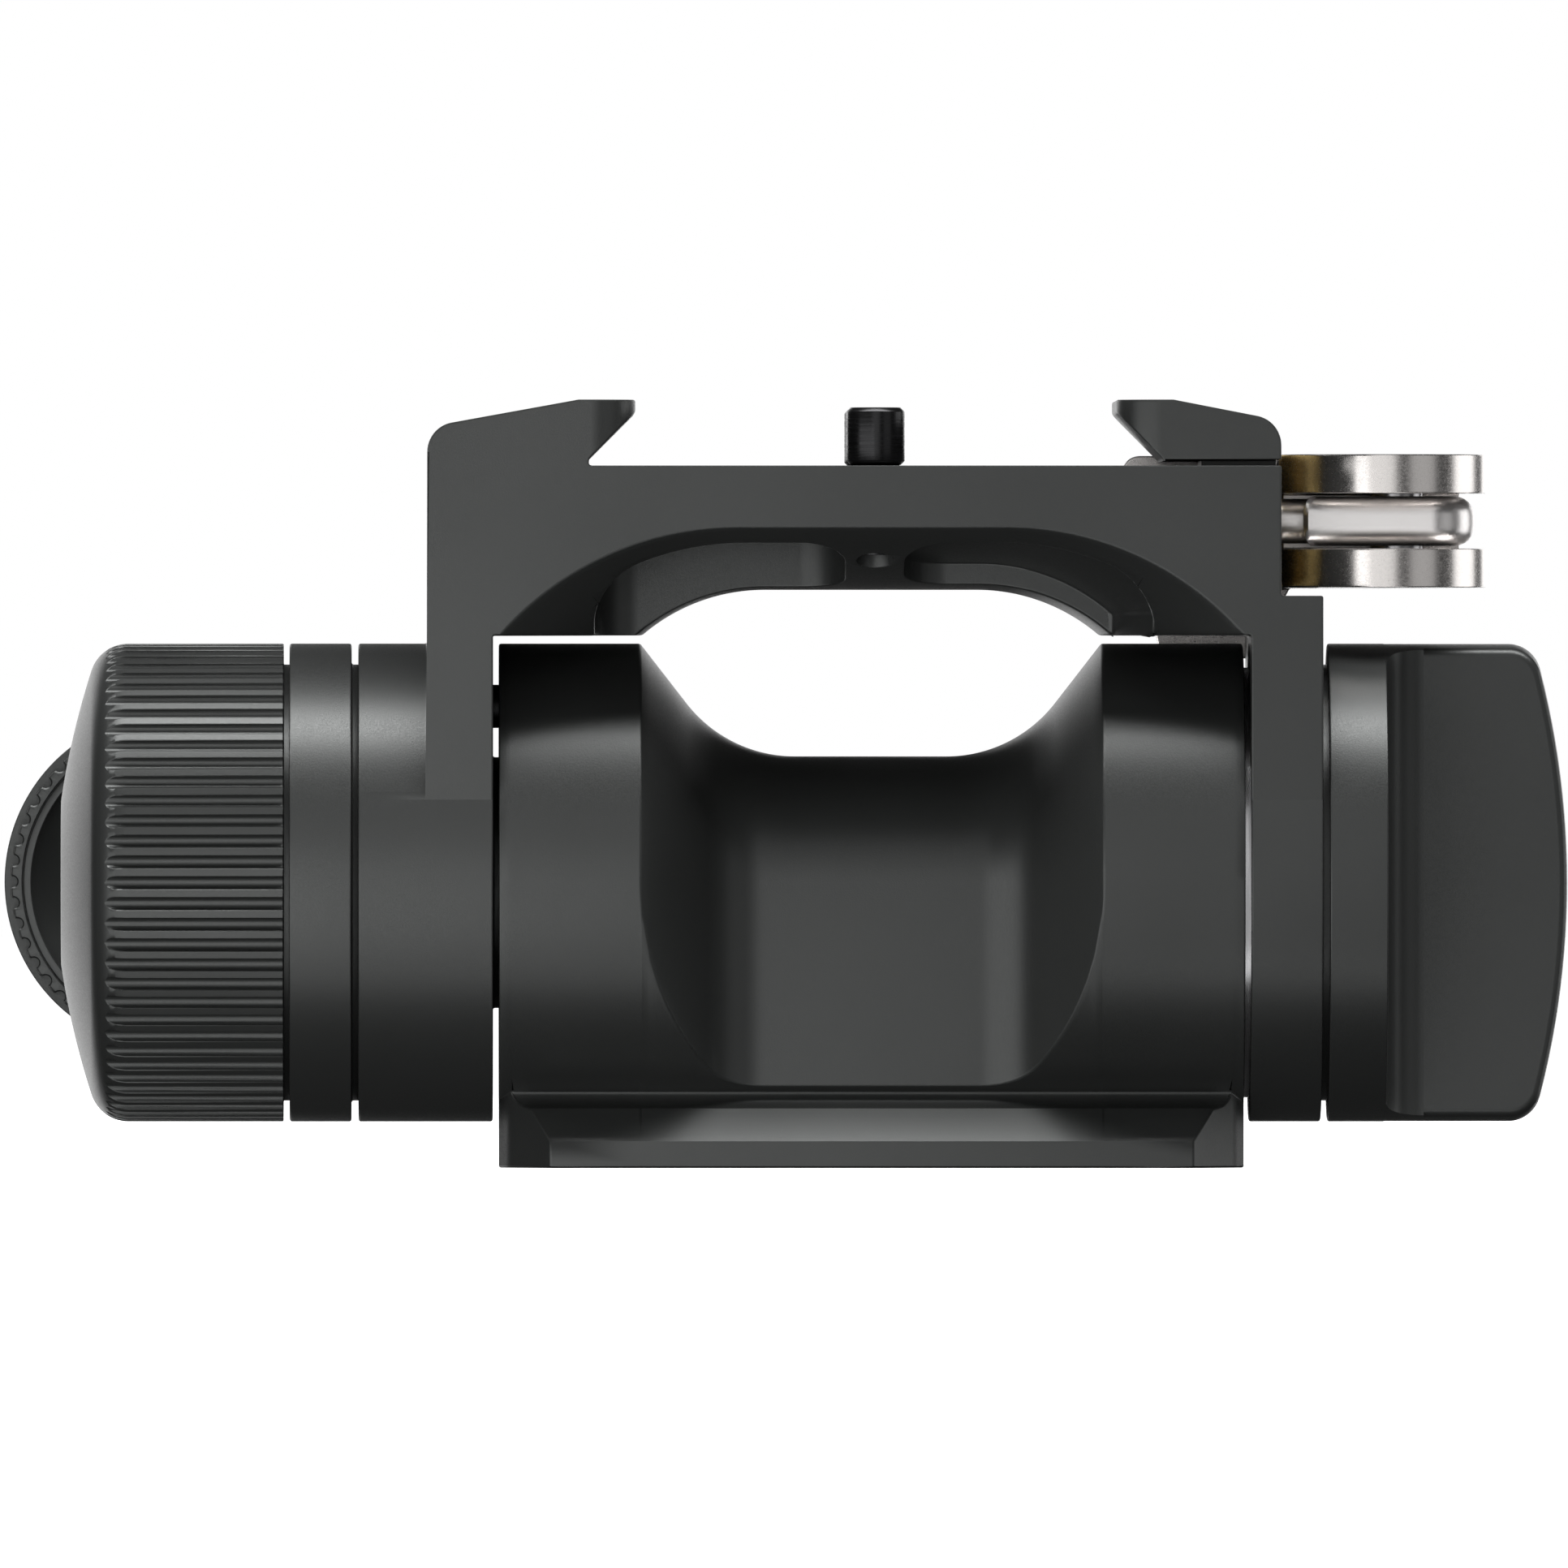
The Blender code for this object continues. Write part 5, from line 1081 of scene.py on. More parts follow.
    def outline(self) -> Outline:
        """The bracket's outline seen from the front, without its round ears."""
        plan = self.plan
        arm = -plan.ear_inner - self.left_arm
        tip = self.plate_centre - self.plate / 2 + self.overhang
        undercut = plan.clamp_floor + self.relief
        shoulder = plan.underside + self.shoulder
        corner, height = self.jaw_corner
        points = arc((arm + corner, plan.clamp_floor + height), corner, 180, 103, 12)
        points += [(tip - self.jaw_flat, plan.jaw_top), (tip, plan.jaw_top),
                   (tip, undercut + self.overhang), (tip - self.overhang, undercut),
                   (tip - self.overhang, plan.clamp_floor),
                   (plan.side, plan.clamp_floor), (plan.side, shoulder), (plan.right_ear, shoulder),
                   (plan.right_ear, 0.0), (plan.ear_inner, 0.0), (plan.ear_inner, plan.underside),
                   (-plan.ear_inner, plan.underside), (-plan.ear_inner, 0.0), (arm, 0.0)]
        return points

    def arch(self, lift: float = 0.0) -> Blank:
        """The tool that clears the space under the bridge, with a crown from front to back.

        Args:
            lift: how far the tool is raised, for the floor of the shallow pocket.

        Returns:
            The tool.
        """
        plan = self.plan
        depth = plan.yoke_half_depth
        drop = self.arch_rise[0] - self.arch_rise[1]
        crown = (depth ** 2 + drop ** 2) / (2 * drop)
        span = depth + 0.6 * plan.past
        sections = []
        for step in range(31):
            y = span * (step / 15 - 1)
            share = (crown - math.sqrt(crown ** 2 - y ** 2)) / drop
            flat, rise, half = (pair[1] + (pair[0] - pair[1]) * share
                                for pair in (self.arch_flat, self.arch_rise, self.arch_half))
            radius = ((half - flat) ** 2 + rise ** 2) / (2 * rise)
            sweep = math.degrees(math.atan2(half - flat, radius - rise))
            top = plan.underside + rise + lift
            side = [(half, plan.underside - 1.5 * plan.past)]
            side += arc((flat, top - radius), radius, 90 - sweep, 90, 26)
            sections.append([(x, y, z) for x, z in side + [(-x, z) for x, z in side[::-1]]])
        return loft(sections)

    def pockets(self) -> list[Blank]:
        """The tools for the pockets: two deep ones on the left and two shallow on the right."""
        plan = self.plan
        low = plan.underside - plan.past
        high = plan.clamp_floor - self.pocket_roof
        corners = {index: self.pocket_corner for index in range(4)}
        tools = []
        for side in (-1, 1):
            for (start, end), near in zip(self.pocket_x, self.pocket_y):
                first, last = sorted((side * near, side * self.pocket_end))
                outline = rounded(box_outline((start, first), (end, last)), corners, 12)
                tool = extrude(outline, Axis.Z, low, high)
                if start > 0.0:
                    tool.work(Work.KEEP, self.arch(self.pocket_skin))
                tools.append(tool)
        return tools

    def ears(self) -> list[Blank]:
        """The two round ears, the left one with its boss."""
        plan = self.plan
        boss_end = -plan.ear_inner + self.boss[1]
        left = lathe(stepped(plan.left_ear, (-plan.ear_inner, plan.barrel),
                             (boss_end, self.boss[0])))
        return [left, rod(plan.ear_inner, plan.right_ear, plan.barrel, segments=160)]

    def ear_bores(self) -> list[Blank]:
        """The tools for the stepped bores of both ears."""
        plan = self.plan
        past = plan.past
        recess = plan.groove_radius + plan.gap
        neck = plan.left_ear + plan.lap - plan.groove + plan.gap
        left = lathe(stepped(plan.left_ear - past, (neck, recess),
                             (plan.left_ear + self.bearing[1], self.bearing[0]),
                             (-plan.ear_inner + self.boss[1] + past, plan.bush)))
        seat, depth = self.washer_seat
        knob_neck = plan.right_ear - plan.lap + plan.groove - plan.gap
        right = lathe(stepped(plan.ear_inner - past / 4, (plan.ear_inner + depth, seat),
                              (knob_neck, plan.bush), (plan.right_ear + past, recess)))
        return [left, right]

    def bridge_holes(self) -> list[Blank]:
        """The tools for the round holes along the bridge and in the left ear."""
        plan = self.plan
        past = plan.past
        arm = -plan.ear_inner - self.left_arm
        holes = [lathe(stepped(arm - past, (arm + self.nut_seat[1], self.nut_seat[0]),
                               (plan.side + past, self.rod_hole)), 64, centre=plan.rod_centre)]
        step = self.slot[0] - self.spring_pocket[1]
        bore, depth = self.guide_hole
        guide = stepped(step - depth, (step, bore), (self.slot[0] + past, self.spring_pocket[0]))
        for side in (-1, 1):
            centre = (0.0, side * self.guide_spacing / 2, plan.rod_height)
            holes.append(lathe(guide, 48, centre=centre))
        bore, depth = self.tilt_stop_hole
        holes.append(rod(-plan.ear_inner - depth, -plan.ear_inner + past / 4, bore,
                         centre=(0.0, 0.0, plan.tilt_stop[1])))
        circle, depth = self.cap_screw_hole
        for turn in (30, 150, 270):
            spoke = arc((0.0, 0.0), circle, turn, turn, 1)[0]
            holes.append(rod(plan.left_ear - past, plan.left_ear + depth, plan.tap,
                             centre=(0.0, *spoke), segments=32))
        return holes

    def stop_pin_holes(self) -> list[Blank]:
        """The tools for the stepped holes of the two stop pins."""
        plan = self.plan
        radius, _, spacing = self.stop_pin
        stud = self.stud[0] * radius + plan.gap
        profile = stepped(plan.underside, (plan.clamp_floor - self.stud[1], self.stop_screw_hole),
                          (plan.clamp_floor + plan.past, stud))
        return [lathe(profile, 48, Axis.Z, (self.plate_centre, side * spacing / 2, 0.0))
                for side in (-1, 1)]

    def tip_round(self, tip: float, way: int, low: float, high: float) -> list[Blank]:
        """The tools that round a jaw's tip in plan, at the front and the back.

        Args:
            tip: the tip's place.
            way: 1 when the jaw points along +X, -1 when it points back.
            low: where the tools start.
            high: where they end.

        Returns:
            The two tools.
        """
        tools = []
        past = self.plan.past / 2
        depth = self.plan.yoke_half_depth
        for side in (-1, 1):
            centre = (tip - way * self.jaw_round, side * (depth - self.jaw_round))
            outline = [(centre[0] + way * x, centre[1] + side * y)
                       for x, y in arc((0.0, 0.0), self.jaw_round, 0, 90, 16)]
            outline += [(centre[0], centre[1] + side * (self.jaw_round + past)),
                        (tip + way * past, centre[1] + side * (self.jaw_round + past)),
                        (tip + way * past, centre[1])]
            tools.append(extrude(outline, Axis.Z, low, high))
        return tools

    def make_bracket(self) -> None:
        """Makes the bracket itself."""
        plan = self.plan
        depth = plan.yoke_half_depth
        bracket = extrude(self.outline(), Axis.Y, -depth, depth)
        bracket.fuse(*self.ears())
        bracket.cut(self.arch())
        bracket.cut(*self.pockets())
        slot = box_outline((self.slot[0], -self.slot[1]), (plan.side + MM, self.slot[1]))
        bracket.cut(extrude(slot, Axis.Z, plan.underside + self.shoulder, plan.clamp_floor + MM))
        tip = self.plate_centre - self.plate / 2 + self.overhang
        bracket.cut(*self.tip_round(tip, 1, plan.clamp_floor + MM / 20, plan.jaw_top + MM))
        bracket.cut(*self.ear_bores(), *self.bridge_holes(), *self.stop_pin_holes())
        bracket.soften(plan.edge)
        bracket.deliver("yoke_body", "yoke", ["yoke_bracket"], BLACK_ANODISED, plan.place)

    def pair_along_y(self, spacing: float, tool: Blank, along: float = 0.0) -> Blank:
        """Sets a piece out in front of and behind the middle plane.

        Args:
            spacing: distance between the two.
            tool: the piece, made on the middle plane.
            along: how far both are moved along the axis.

        Returns:
            A blank with both.
        """
        return Blank(bmesh.new()).recipe(make_row_of(), {
            "Count": 2, "First": (along, -spacing / 2, 0.0), "Step": (0.0, spacing, 0.0),
            "Tool": tool})

    def make_stop_pins(self) -> None:
        """Makes the two pins on the clamp floor and the screws that hold them from below."""
        plan = self.plan
        radius, height, spacing = self.stop_pin
        base = plan.clamp_floor + MM / 20
        top = plan.clamp_floor + height
        share, depth = self.stud
        stud_end = plan.clamp_floor - depth + plan.gap
        stud = share * radius
        tap = 0.96 * MM
        floor = base - 0.7 * MM
        chamfer = 0.28 * MM
        pin = lathe([(floor, 0.0), (floor, tap), (stud_end, tap), (stud_end, stud), (base, stud),
                     (base, radius - chamfer), (base + chamfer, radius), (top - chamfer, radius),
                     (top, radius - chamfer), (top, 0.0)], 96, Axis.Z).soften(0.05 * MM)
        self.pair_along_y(spacing, pin, self.plate_centre).deliver(
            "plate_stop_pins", "yoke", ["stop_pin_front", "stop_pin_rear"], BLACK_STEEL, plan.place)
        low = plan.underside + self.arch_rise[1] + 2.3 * MM
        head, shank, socket = 0.95 * MM, 0.66 * MM, 0.8 * MM
        screw = socket_screw(stepped(low, (stud_end - plan.gap, head), (floor - plan.gap, shank)),
                             48, socket, (low - plan.past, low + socket), 0.05 * MM, Axis.Z)
        self.pair_along_y(spacing, screw, self.plate_centre).deliver(
            "stop_pin_screws", "yoke", ["stop_pin_screw_front", "stop_pin_screw_rear"],
            BLACK_STEEL, plan.place)

    def make_tilt_stop(self) -> None:
        """Makes the pin in the left ear that ends the tilt."""
        plan = self.plan
        inner = -plan.ear_inner
        radius, distance = plan.tilt_stop
        hidden, shown = 3.2 * MM, 3.1 * MM
        pin = rod(inner - hidden, inner + shown, radius, centre=(0.0, 0.0, distance))
        pin.soften(0.2 * MM).deliver("tilt_stop", "yoke", ["tilt_stop_pin"],
                                     BLACK_STEEL.worked(Grain.TURNED_ABOUT_X), plan.place)

    def make_guides(self) -> None:
        """Makes the moving jaw's guide pins and winds the springs around them."""
        plan = self.plan
        step = self.slot[0] - self.spring_pocket[1]
        radius, depth, inset = self.guide_pin
        pin = rod(step - depth, plan.side - inset, radius, centre=plan.rod_centre).soften(0.2 * MM)
        self.pair_along_y(self.guide_spacing, pin).deliver(
            "jaw_guide_pins", "yoke", ["guide_pin_front", "guide_pin_rear"], PLAIN_STEEL,
            plan.place)
        turns, radius, wire = self.coil
        start = step + plan.gap + wire
        coil = Blank(bmesh.new()).recipe(make_coil(), {
            "Turns": turns, "Radius": radius, "Wire": wire, "Length": self.slot[0] - wire - start})
        coil.object.data.transform(Matrix.Translation((start, 0.0, plan.rod_height)))
        self.pair_along_y(self.guide_spacing, coil).deliver(
            "jaw_springs", "yoke", ["jaw_spring_front", "jaw_spring_rear"],
            PLAIN_STEEL.worked(Grain.MILLED_ALONG_X), plan.place)


# Clamp ------------------------------------------------------------------------------------
@dataclass
class DovetailClamp:
    """The sliding jaw with its bronze cam plate, the tie rod and the forked lever.

    Attributes:
        plan: the shared sizes.
        yoke: the bracket that the jaw slides in.
        corner_height: height of the centre of the jaw's corner round above the clamp floor.
        leg: inner wall, half width and bottom of the jaw's leg.
        cam_plate: thickness and half width of the bronze plate.
        cam_face: the plate's outer face.
        cam_screw: radius and length of its screws, and their space beside the rod.
        cam_slot: how far the plate's seat reaches up into the jaw.
        head: radius of the lever's head, and its offset from the lever's pin.
        lever_plate: thickness of each side of the fork.
        fork_gap: half the gap of the fork.
        pin: the lever pin's radius.
        eye: radius and thickness of the tie rod's eye.
        eye_round: round along the eye's edges.
        eye_face: the eye's flat front from the rod's axis, and the round at its outer corner.
        eye_root: from the cam plate to the eye, without the gap, and the root's chamfer.
        bar: half width of the bar behind the eye.
        rod: the tie rod's radius.
        nut: the nut's size across flats, and the radius of its turned face.
        arm: the arm's outer side from the lever's centre, and the round of its outer corner.
        paddle: inner face and thickness of the paddle.
        paddle_reach: how far the paddle's tip is inside the bridge's right side.
        paddle_drop: the paddle's lower edge below the underside.
        paddle_tip: round of the paddle's tip, and how far its lower edge slants back.
    """

    plan: Plan
    yoke: Yoke
    corner_height: float = 1.35 * MM
    leg: Place = (22.0 * MM, 11.2 * MM, 19.46 * MM)
    cam_plate: Point = (0.8 * MM, 6.3 * MM)
    cam_face: float = 27.04 * MM
    cam_screw: Place = (0.8 * MM, 2.4 * MM, 0.5 * MM)
    cam_slot: float = 1.3 * MM
    head: Point = (6.96 * MM, 0.9 * MM)
    lever_plate: float = 2.6 * MM
    fork_gap: float = 1.85 * MM
    pin: float = 1.75 * MM
    eye: Point = (5.2 * MM, 3.3 * MM)
    eye_round: float = 1.3 * MM
    eye_face: Point = (4.6 * MM, 3.0 * MM)
    eye_root: Point = (1.6 * MM, 0.9 * MM)
    bar: float = 2.4 * MM
    rod: float = 1.5 * MM
    nut: Point = (6.0 * MM, 2.9 * MM)
    arm: Point = (4.2 * MM, 6.0 * MM)
    paddle: Point = (15.6 * MM, 3.2 * MM)
    paddle_reach: float = 10.3 * MM
    paddle_drop: float = 1.5 * MM
    paddle_tip: Point = (1.2 * MM, 2.4 * MM)

    def build(self) -> None:
        """Makes the clamp's pieces."""
        self.make_jaw()
        self.make_cam_plate()
        self.make_tie_rod()
        self.make_nut()
        self.make_lever()
        self.make_lever_pin()

    def jaw_outline(self) -> Outline:
        """The jaw's outline seen from the front, without its leg."""
        plan = self.plan
        tip = self.yoke.plate_centre + self.yoke.plate / 2 - self.yoke.overhang
        undercut = plan.clamp_floor + self.yoke.relief
        bottom = plan.clamp_floor + plan.running_gap
        points = [(plan.side, bottom)]
        corner = self.yoke.jaw_corner[0]
        centre = (plan.side - corner, plan.clamp_floor + self.corner_height)
        points += arc(centre, corner, 0, 77, 12)
        points += [(tip + self.yoke.jaw_flat, plan.jaw_top), (tip, plan.jaw_top),
                   (tip, undercut + self.yoke.overhang), (tip + self.yoke.overhang, undercut),
                   (tip + self.yoke.overhang, bottom)]
        return points

    def screw_spots(self) -> tuple[float, float]:
        """The cam plate screws' places from front to back."""
        offset = (self.rod + self.cam_plate[1]) / 2 + self.cam_screw[2]
        return -offset, offset

    def make_jaw(self) -> None:
        """Makes the moving jaw with its leg."""
        plan = self.plan
        depth = plan.yoke_half_depth
        bottom = plan.clamp_floor + plan.running_gap
        inner, half, low = self.leg
        jaw = extrude(self.jaw_outline(), Axis.Y, -depth, depth)
        outer = plan.side - plan.gap
        jaw.fuse(extrude(box_outline((inner, -half), (outer, half)), Axis.Z, low, bottom + MM))
        tip = self.yoke.plate_centre + self.yoke.plate / 2 - self.yoke.overhang
        jaw.cut(*self.yoke.tip_round(tip, -1, bottom - MM, plan.jaw_top + MM))
        seat = self.cam_face - self.cam_plate[0] - plan.gap
        width = self.cam_plate[1] + plan.gap
        jaw.cut(extrude(box_outline((seat, -width), (plan.side + MM, width)), Axis.Z,
                        low - MM, bottom + self.cam_slot))
        jaw.cut(rod(inner - MM, plan.side + MM, self.rod + 2 * plan.gap, centre=plan.rod_centre))
        for side in (-1, 1):
            spot = (0.0, side * self.yoke.guide_spacing / 2, plan.rod_height)
            jaw.cut(rod(inner - MM, outer - MM, self.yoke.guide_hole[0], centre=spot))
        depth = self.cam_screw[1] + 0.4 * MM
        for y in self.screw_spots():
            jaw.cut(rod(seat - depth, seat + MM, plan.tap, centre=(0.0, y, plan.rod_height)))
        jaw.soften(plan.edge)
        jaw.deliver("sliding_jaw", "jaw", ["moving_jaw"], BLACK_ANODISED, plan.place)

    def make_cam_plate(self) -> None:
        """Makes the bronze plate that the lever's cam bears on, and its screws."""
        plan = self.plan
        inner = self.cam_face - self.cam_plate[0]
        half = self.cam_plate[1]
        top = plan.clamp_floor + plan.running_gap + MM
        outline = rounded(box_outline((-half, self.leg[2] + plan.gap), (half, top)),
                          {index: 0.8 * MM for index in range(4)})
        plate = extrude(outline, Axis.X, inner, self.cam_face)
        plate.cut(rod(inner - MM, self.cam_face + MM, self.rod + 2 * plan.gap,
                      centre=plan.rod_centre))
        for y in self.screw_spots():
            centre = (0.0, y, plan.rod_height)
            plate.cut(rod(inner - MM, self.cam_face + MM, plan.tap, centre=centre))
        plate.soften(0.1 * MM)
        plate.deliver("bronze_cam_plate", "jaw", ["cam_plate"], BRONZE, plan.place)
        radius, length, _ = self.cam_screw
        top = self.cam_face - 0.1 * MM
        screw = socket_screw(stepped(top - self.cam_plate[0] - length, (top, radius)), 48, 0.7 * MM,
                             (top - 0.5 * MM, top + MM), 0.05 * MM, centre=plan.rod_centre)
        low, high = self.screw_spots()
        pair = self.yoke.pair_along_y(high - low, screw)
        pair.deliver("cam_plate_screws", "jaw", ["cam_plate_screw_front", "cam_plate_screw_rear"],
                     BLACK_STEEL.worked(Grain.TURNED_ABOUT_X), plan.place)

    def eye_outline(self, inset: float) -> Outline:
        """The eye and its bar in plan, drawn in from the edge.

        Args:
            inset: how far the outline is drawn in.

        Returns:
            The closed outline.
        """
        radius = self.eye[0] - inset
        bar = self.bar - inset
        face, corner = self.eye_face
        space, chamfer = self.eye_root
        root = self.cam_face + space + self.plan.gap + inset / 2
        meet = math.degrees(math.asin(bar / radius))
        pin = self.plan.lever_pin
        points = arc((pin + self.eye[0] - corner, corner - face), corner - inset, -90, 0, 20)
        points += arc((pin, 0.0), radius, 0, 180 - meet, 48)
        step = self.plan.gap
        points += [(root + MM, bar), (root, bar - chamfer), (root, step - face)]
        return points + [(root + step, inset - face)]

    def make_tie_rod(self) -> None:
        """Makes the rod with its round-edged eye."""
        plan = self.plan
        arm = -plan.ear_inner - self.yoke.left_arm
        shank = rod(arm + 0.8 * MM, self.cam_face + 3.6 * MM, self.rod, centre=plan.rod_centre)
        core = self.eye[1] / 2 - self.eye_round
        turns = [math.radians(turn) for turn in range(-90, 1, 15)]
        levels = [(-core + self.eye_round * math.sin(turn), self.eye_round * (1.0 - math.cos(turn)))
                  for turn in turns]
        levels += [(-height, inset) for height, inset in levels[::-1]]
        eye = loft([[(x, y, plan.rod_height + height) for x, y in self.eye_outline(inset)]
                    for height, inset in levels])
        reach = self.eye[1]
        bore = rod(plan.rod_height - reach, plan.rod_height + reach, self.pin + plan.gap, Axis.Z,
                   (plan.lever_pin, 0.0, 0.0))
        shank.fuse(eye).cut(bore)
        shank.deliver("tie_rod_and_eye", "yoke", ["tie_rod"], SATIN_STEEL, plan.place)

    def make_nut(self) -> None:
        """Makes the tie rod's nut, a hexagon with turned corners."""
        plan = self.plan
        arm = -plan.ear_inner - self.yoke.left_arm
        start = arm + plan.gap
        end = arm + self.yoke.nut_seat[1] - plan.gap
        across, face = self.nut
        corner = across / math.sqrt(3)
        outline = [(y, z + plan.rod_height) for y, z in hexagon(across)]
        nut = extrude(outline, Axis.X, start, end)
        turned = lathe([(start, 0.0), (start, face), (start + 0.5 * MM, corner), (end, corner),
                        (end, 0.0)], 96, centre=plan.rod_centre)
        hole = rod(start - MM, end + MM, self.rod + plan.gap, centre=plan.rod_centre)
        nut.work(Work.KEEP, turned).cut(hole)
        nut.soften(0.06 * MM)
        nut.deliver("rod_nut", "yoke", ["tie_rod_nut"], PLAIN_STEEL, plan.place)

    def lever_outline(self) -> Outline:
        """The lever in plan: its round head, the arm to the back and the paddle's root."""
        plan = self.plan
        inner = plan.side + 1.2 * plan.gap
        back = sum(self.paddle)
        radius, offset = self.head
        centre = plan.lever_pin - offset
        lean = math.degrees(math.acos((centre - inner) / radius))
        points = arc((centre, 0.0), radius, 180 - lean, 395, 80)
        side, corner = self.arm
        points += arc((centre + side - corner, back - corner), corner, 0, 90, 20)
        root = inner - 2.0 * MM
        return points + [(root, back), (root, self.paddle[0]), (inner, self.paddle[0])]

    def paddle_outline(self) -> Outline:
        """The paddle seen from the front, with a slanting round tip."""
        plan = self.plan
        tip = plan.side - self.paddle_reach
        low = plan.underside - self.paddle_drop
        top = plan.rod_height + self.fork_gap + self.lever_plate
        bottom = plan.rod_height - self.fork_gap - self.lever_plate
        root = plan.side + MM
        corner, slant = self.paddle_tip
        points = [(root, top)]
        points += arc((tip + corner, top - corner), corner, 90, 180, 8)
        points += arc((tip + slant + corner, low + corner), corner, 190, 270, 8)
        return points + [(root - 2.5 * MM, low), (root, bottom)]

    def make_lever(self) -> None:
        """Makes the polished forked lever."""
        plan = self.plan
        low = plan.rod_height - self.fork_gap - self.lever_plate
        high = plan.rod_height + self.fork_gap + self.lever_plate
        lever = extrude(self.lever_outline(), Axis.Z, low, high)
        lever.fuse(extrude(self.paddle_outline(), Axis.Y, self.paddle[0], sum(self.paddle)))
        radius, offset = self.head
        centre = plan.lever_pin - offset
        reach = self.eye[0] + offset + 2 * plan.gap
        slot = box_outline((centre - 2 * radius, -2 * radius), (centre + 2 * radius, reach))
        lever.cut(extrude(slot, Axis.Z, low + self.lever_plate, high - self.lever_plate))
        pivot = (plan.lever_pin, 0.0, 0.0)
        lever.cut(rod(low - MM, high + MM, self.pin + plan.gap, Axis.Z, pivot))
        lever.soften(0.12 * MM)
        lever.deliver("polished_lever", "lever", ["clamp_lever"], POLISHED_STEEL, plan.place)

    def make_lever_pin(self) -> None:
        """Makes the pin that the lever turns on."""
        plan = self.plan
        reach = self.fork_gap + self.lever_plate - 0.1 * MM
        pin = rod(plan.rod_height - reach, plan.rod_height + reach, self.pin, Axis.Z,
                  (plan.lever_pin, 0.0, 0.0))
        pin.soften(0.15 * MM).deliver("lever_hinge_pin", "lever", ["lever_pin"],
                                      PLAIN_STEEL.worked(Grain.TURNED_ABOUT_Z), plan.place)


# Lock knob --------------------------------------------------------------------------------
@dataclass
class WingKnob:
    """The lock knob: a turned flange with a wing standing across it.

    Attributes:
        plan: the shared sizes.
        flange: thickness of the flange.
        half_thickness: half the wing's thickness.
        root: radius between wing and flange.
        corner: radius of the wing's outer corners.
        crown: radius of its crowned end.
        wing_edge: round along the wing's edges.
        inset: how far the wing stands inside the flange's edge.
        insert: radius of the threaded insert's bore.
    """

    plan: Plan
    flange: float = 3.9 * MM
    half_thickness: float = 3.6 * MM
    root: float = 2.6 * MM
    corner: float = 2.2 * MM
    crown: float = 57.0 * MM
    wing_edge: float = 0.5 * MM
    inset: float = 0.02 * MM
    insert: float = 8.8 * MM

    @property
    def start(self) -> float:
        """The flange's inner face."""
        return self.plan.right_ear + self.plan.groove

    @property
    def wing(self) -> float:
        """The flange's outer face, where the wing begins."""
        return self.start + self.flange

    def wing_outline(self, height: float, inset: float) -> list[Place]:
        """The wing's outline in one plane beside the middle plane.

        Args:
            height: the plane's distance from the middle plane.
            inset: how far the outline is drawn in for the rounded edge.

        Returns:
            The closed outline.
        """
        barrel = self.plan.barrel - self.inset
        middle = self.plan.wing_end - self.crown
        rise = barrel - self.corner
        lean = math.asin(rise / (self.crown - self.corner))
        along = middle + math.sqrt((self.crown - self.corner) ** 2 - rise ** 2)
        side = [(self.start + MM, barrel - inset)]
        for step in range(15):
            turn = math.pi / 2 + (lean - math.pi / 2) * step / 14
            size = self.corner - inset
            side.append((along + size * math.cos(turn), rise + size * math.sin(turn)))
        outline = [(x, height, math.sqrt(radius ** 2 - height ** 2)) for x, radius in side]
        edge = outline[-1][2]
        for step in range(1, 24):
            z = edge * (1.0 - step / 12)
            crown = math.sqrt((self.crown - inset) ** 2 - z * z - height ** 2)
            outline.append((middle + crown, height, z))
        return outline + [(x, y, -z) for x, y, z in outline[15::-1]]

    def make_wing(self) -> Blank:
        """The wing with its rounded edges, as a stack of outlines."""
        core = self.half_thickness - self.wing_edge
        turns = [math.radians(turn) for turn in range(-90, 1, 15)]
        levels = [(-core + self.wing_edge * math.sin(turn), self.wing_edge * (1.0 - math.cos(turn)))
                  for turn in turns]
        levels += [(core * step / 4, 0.0) for step in range(-3, 4)]
        levels += [(-height, inset) for height, inset in levels[6::-1]]
        return loft([self.wing_outline(height, inset) for height, inset in levels])

    def make_root(self) -> Blank:
        """The hollow fillets between the wing and the flange."""
        reach = self.root + self.half_thickness
        curve = arc((self.wing + self.root, reach), self.root, 184, 268.5, 20)
        outline = [(self.wing - MM / 2, curve[0][1])] + curve + [(curve[-1][0], -curve[-1][1])]
        outline += [(x, -y) for x, y in curve[-2::-1]] + [(self.wing - MM / 2, -curve[0][1])]
        barrel = self.plan.barrel - self.inset
        fillet = extrude(outline, Axis.Z, -barrel - MM, barrel + MM)
        inside = rod(self.wing - MM, self.wing + self.root + MM, barrel, segments=192)
        return fillet.work(Work.KEEP, inside)

    def build(self) -> None:
        """Makes the knob."""
        plan = self.plan
        knob = rod(self.start, self.wing, plan.barrel, segments=192).soften(plan.edge)
        neck = self.start - plan.lap
        knob.fuse(rod(neck, self.start + MM, plan.groove_radius, segments=192))
        knob.fuse(self.make_root(), self.make_wing())
        knob.cut(rod(neck - MM, self.wing - plan.gap, self.insert, segments=96))
        knob.deliver("wing_knob", "lock_knob", ["lock_knob"], BLACK_ANODISED, plan.place, 30.0)


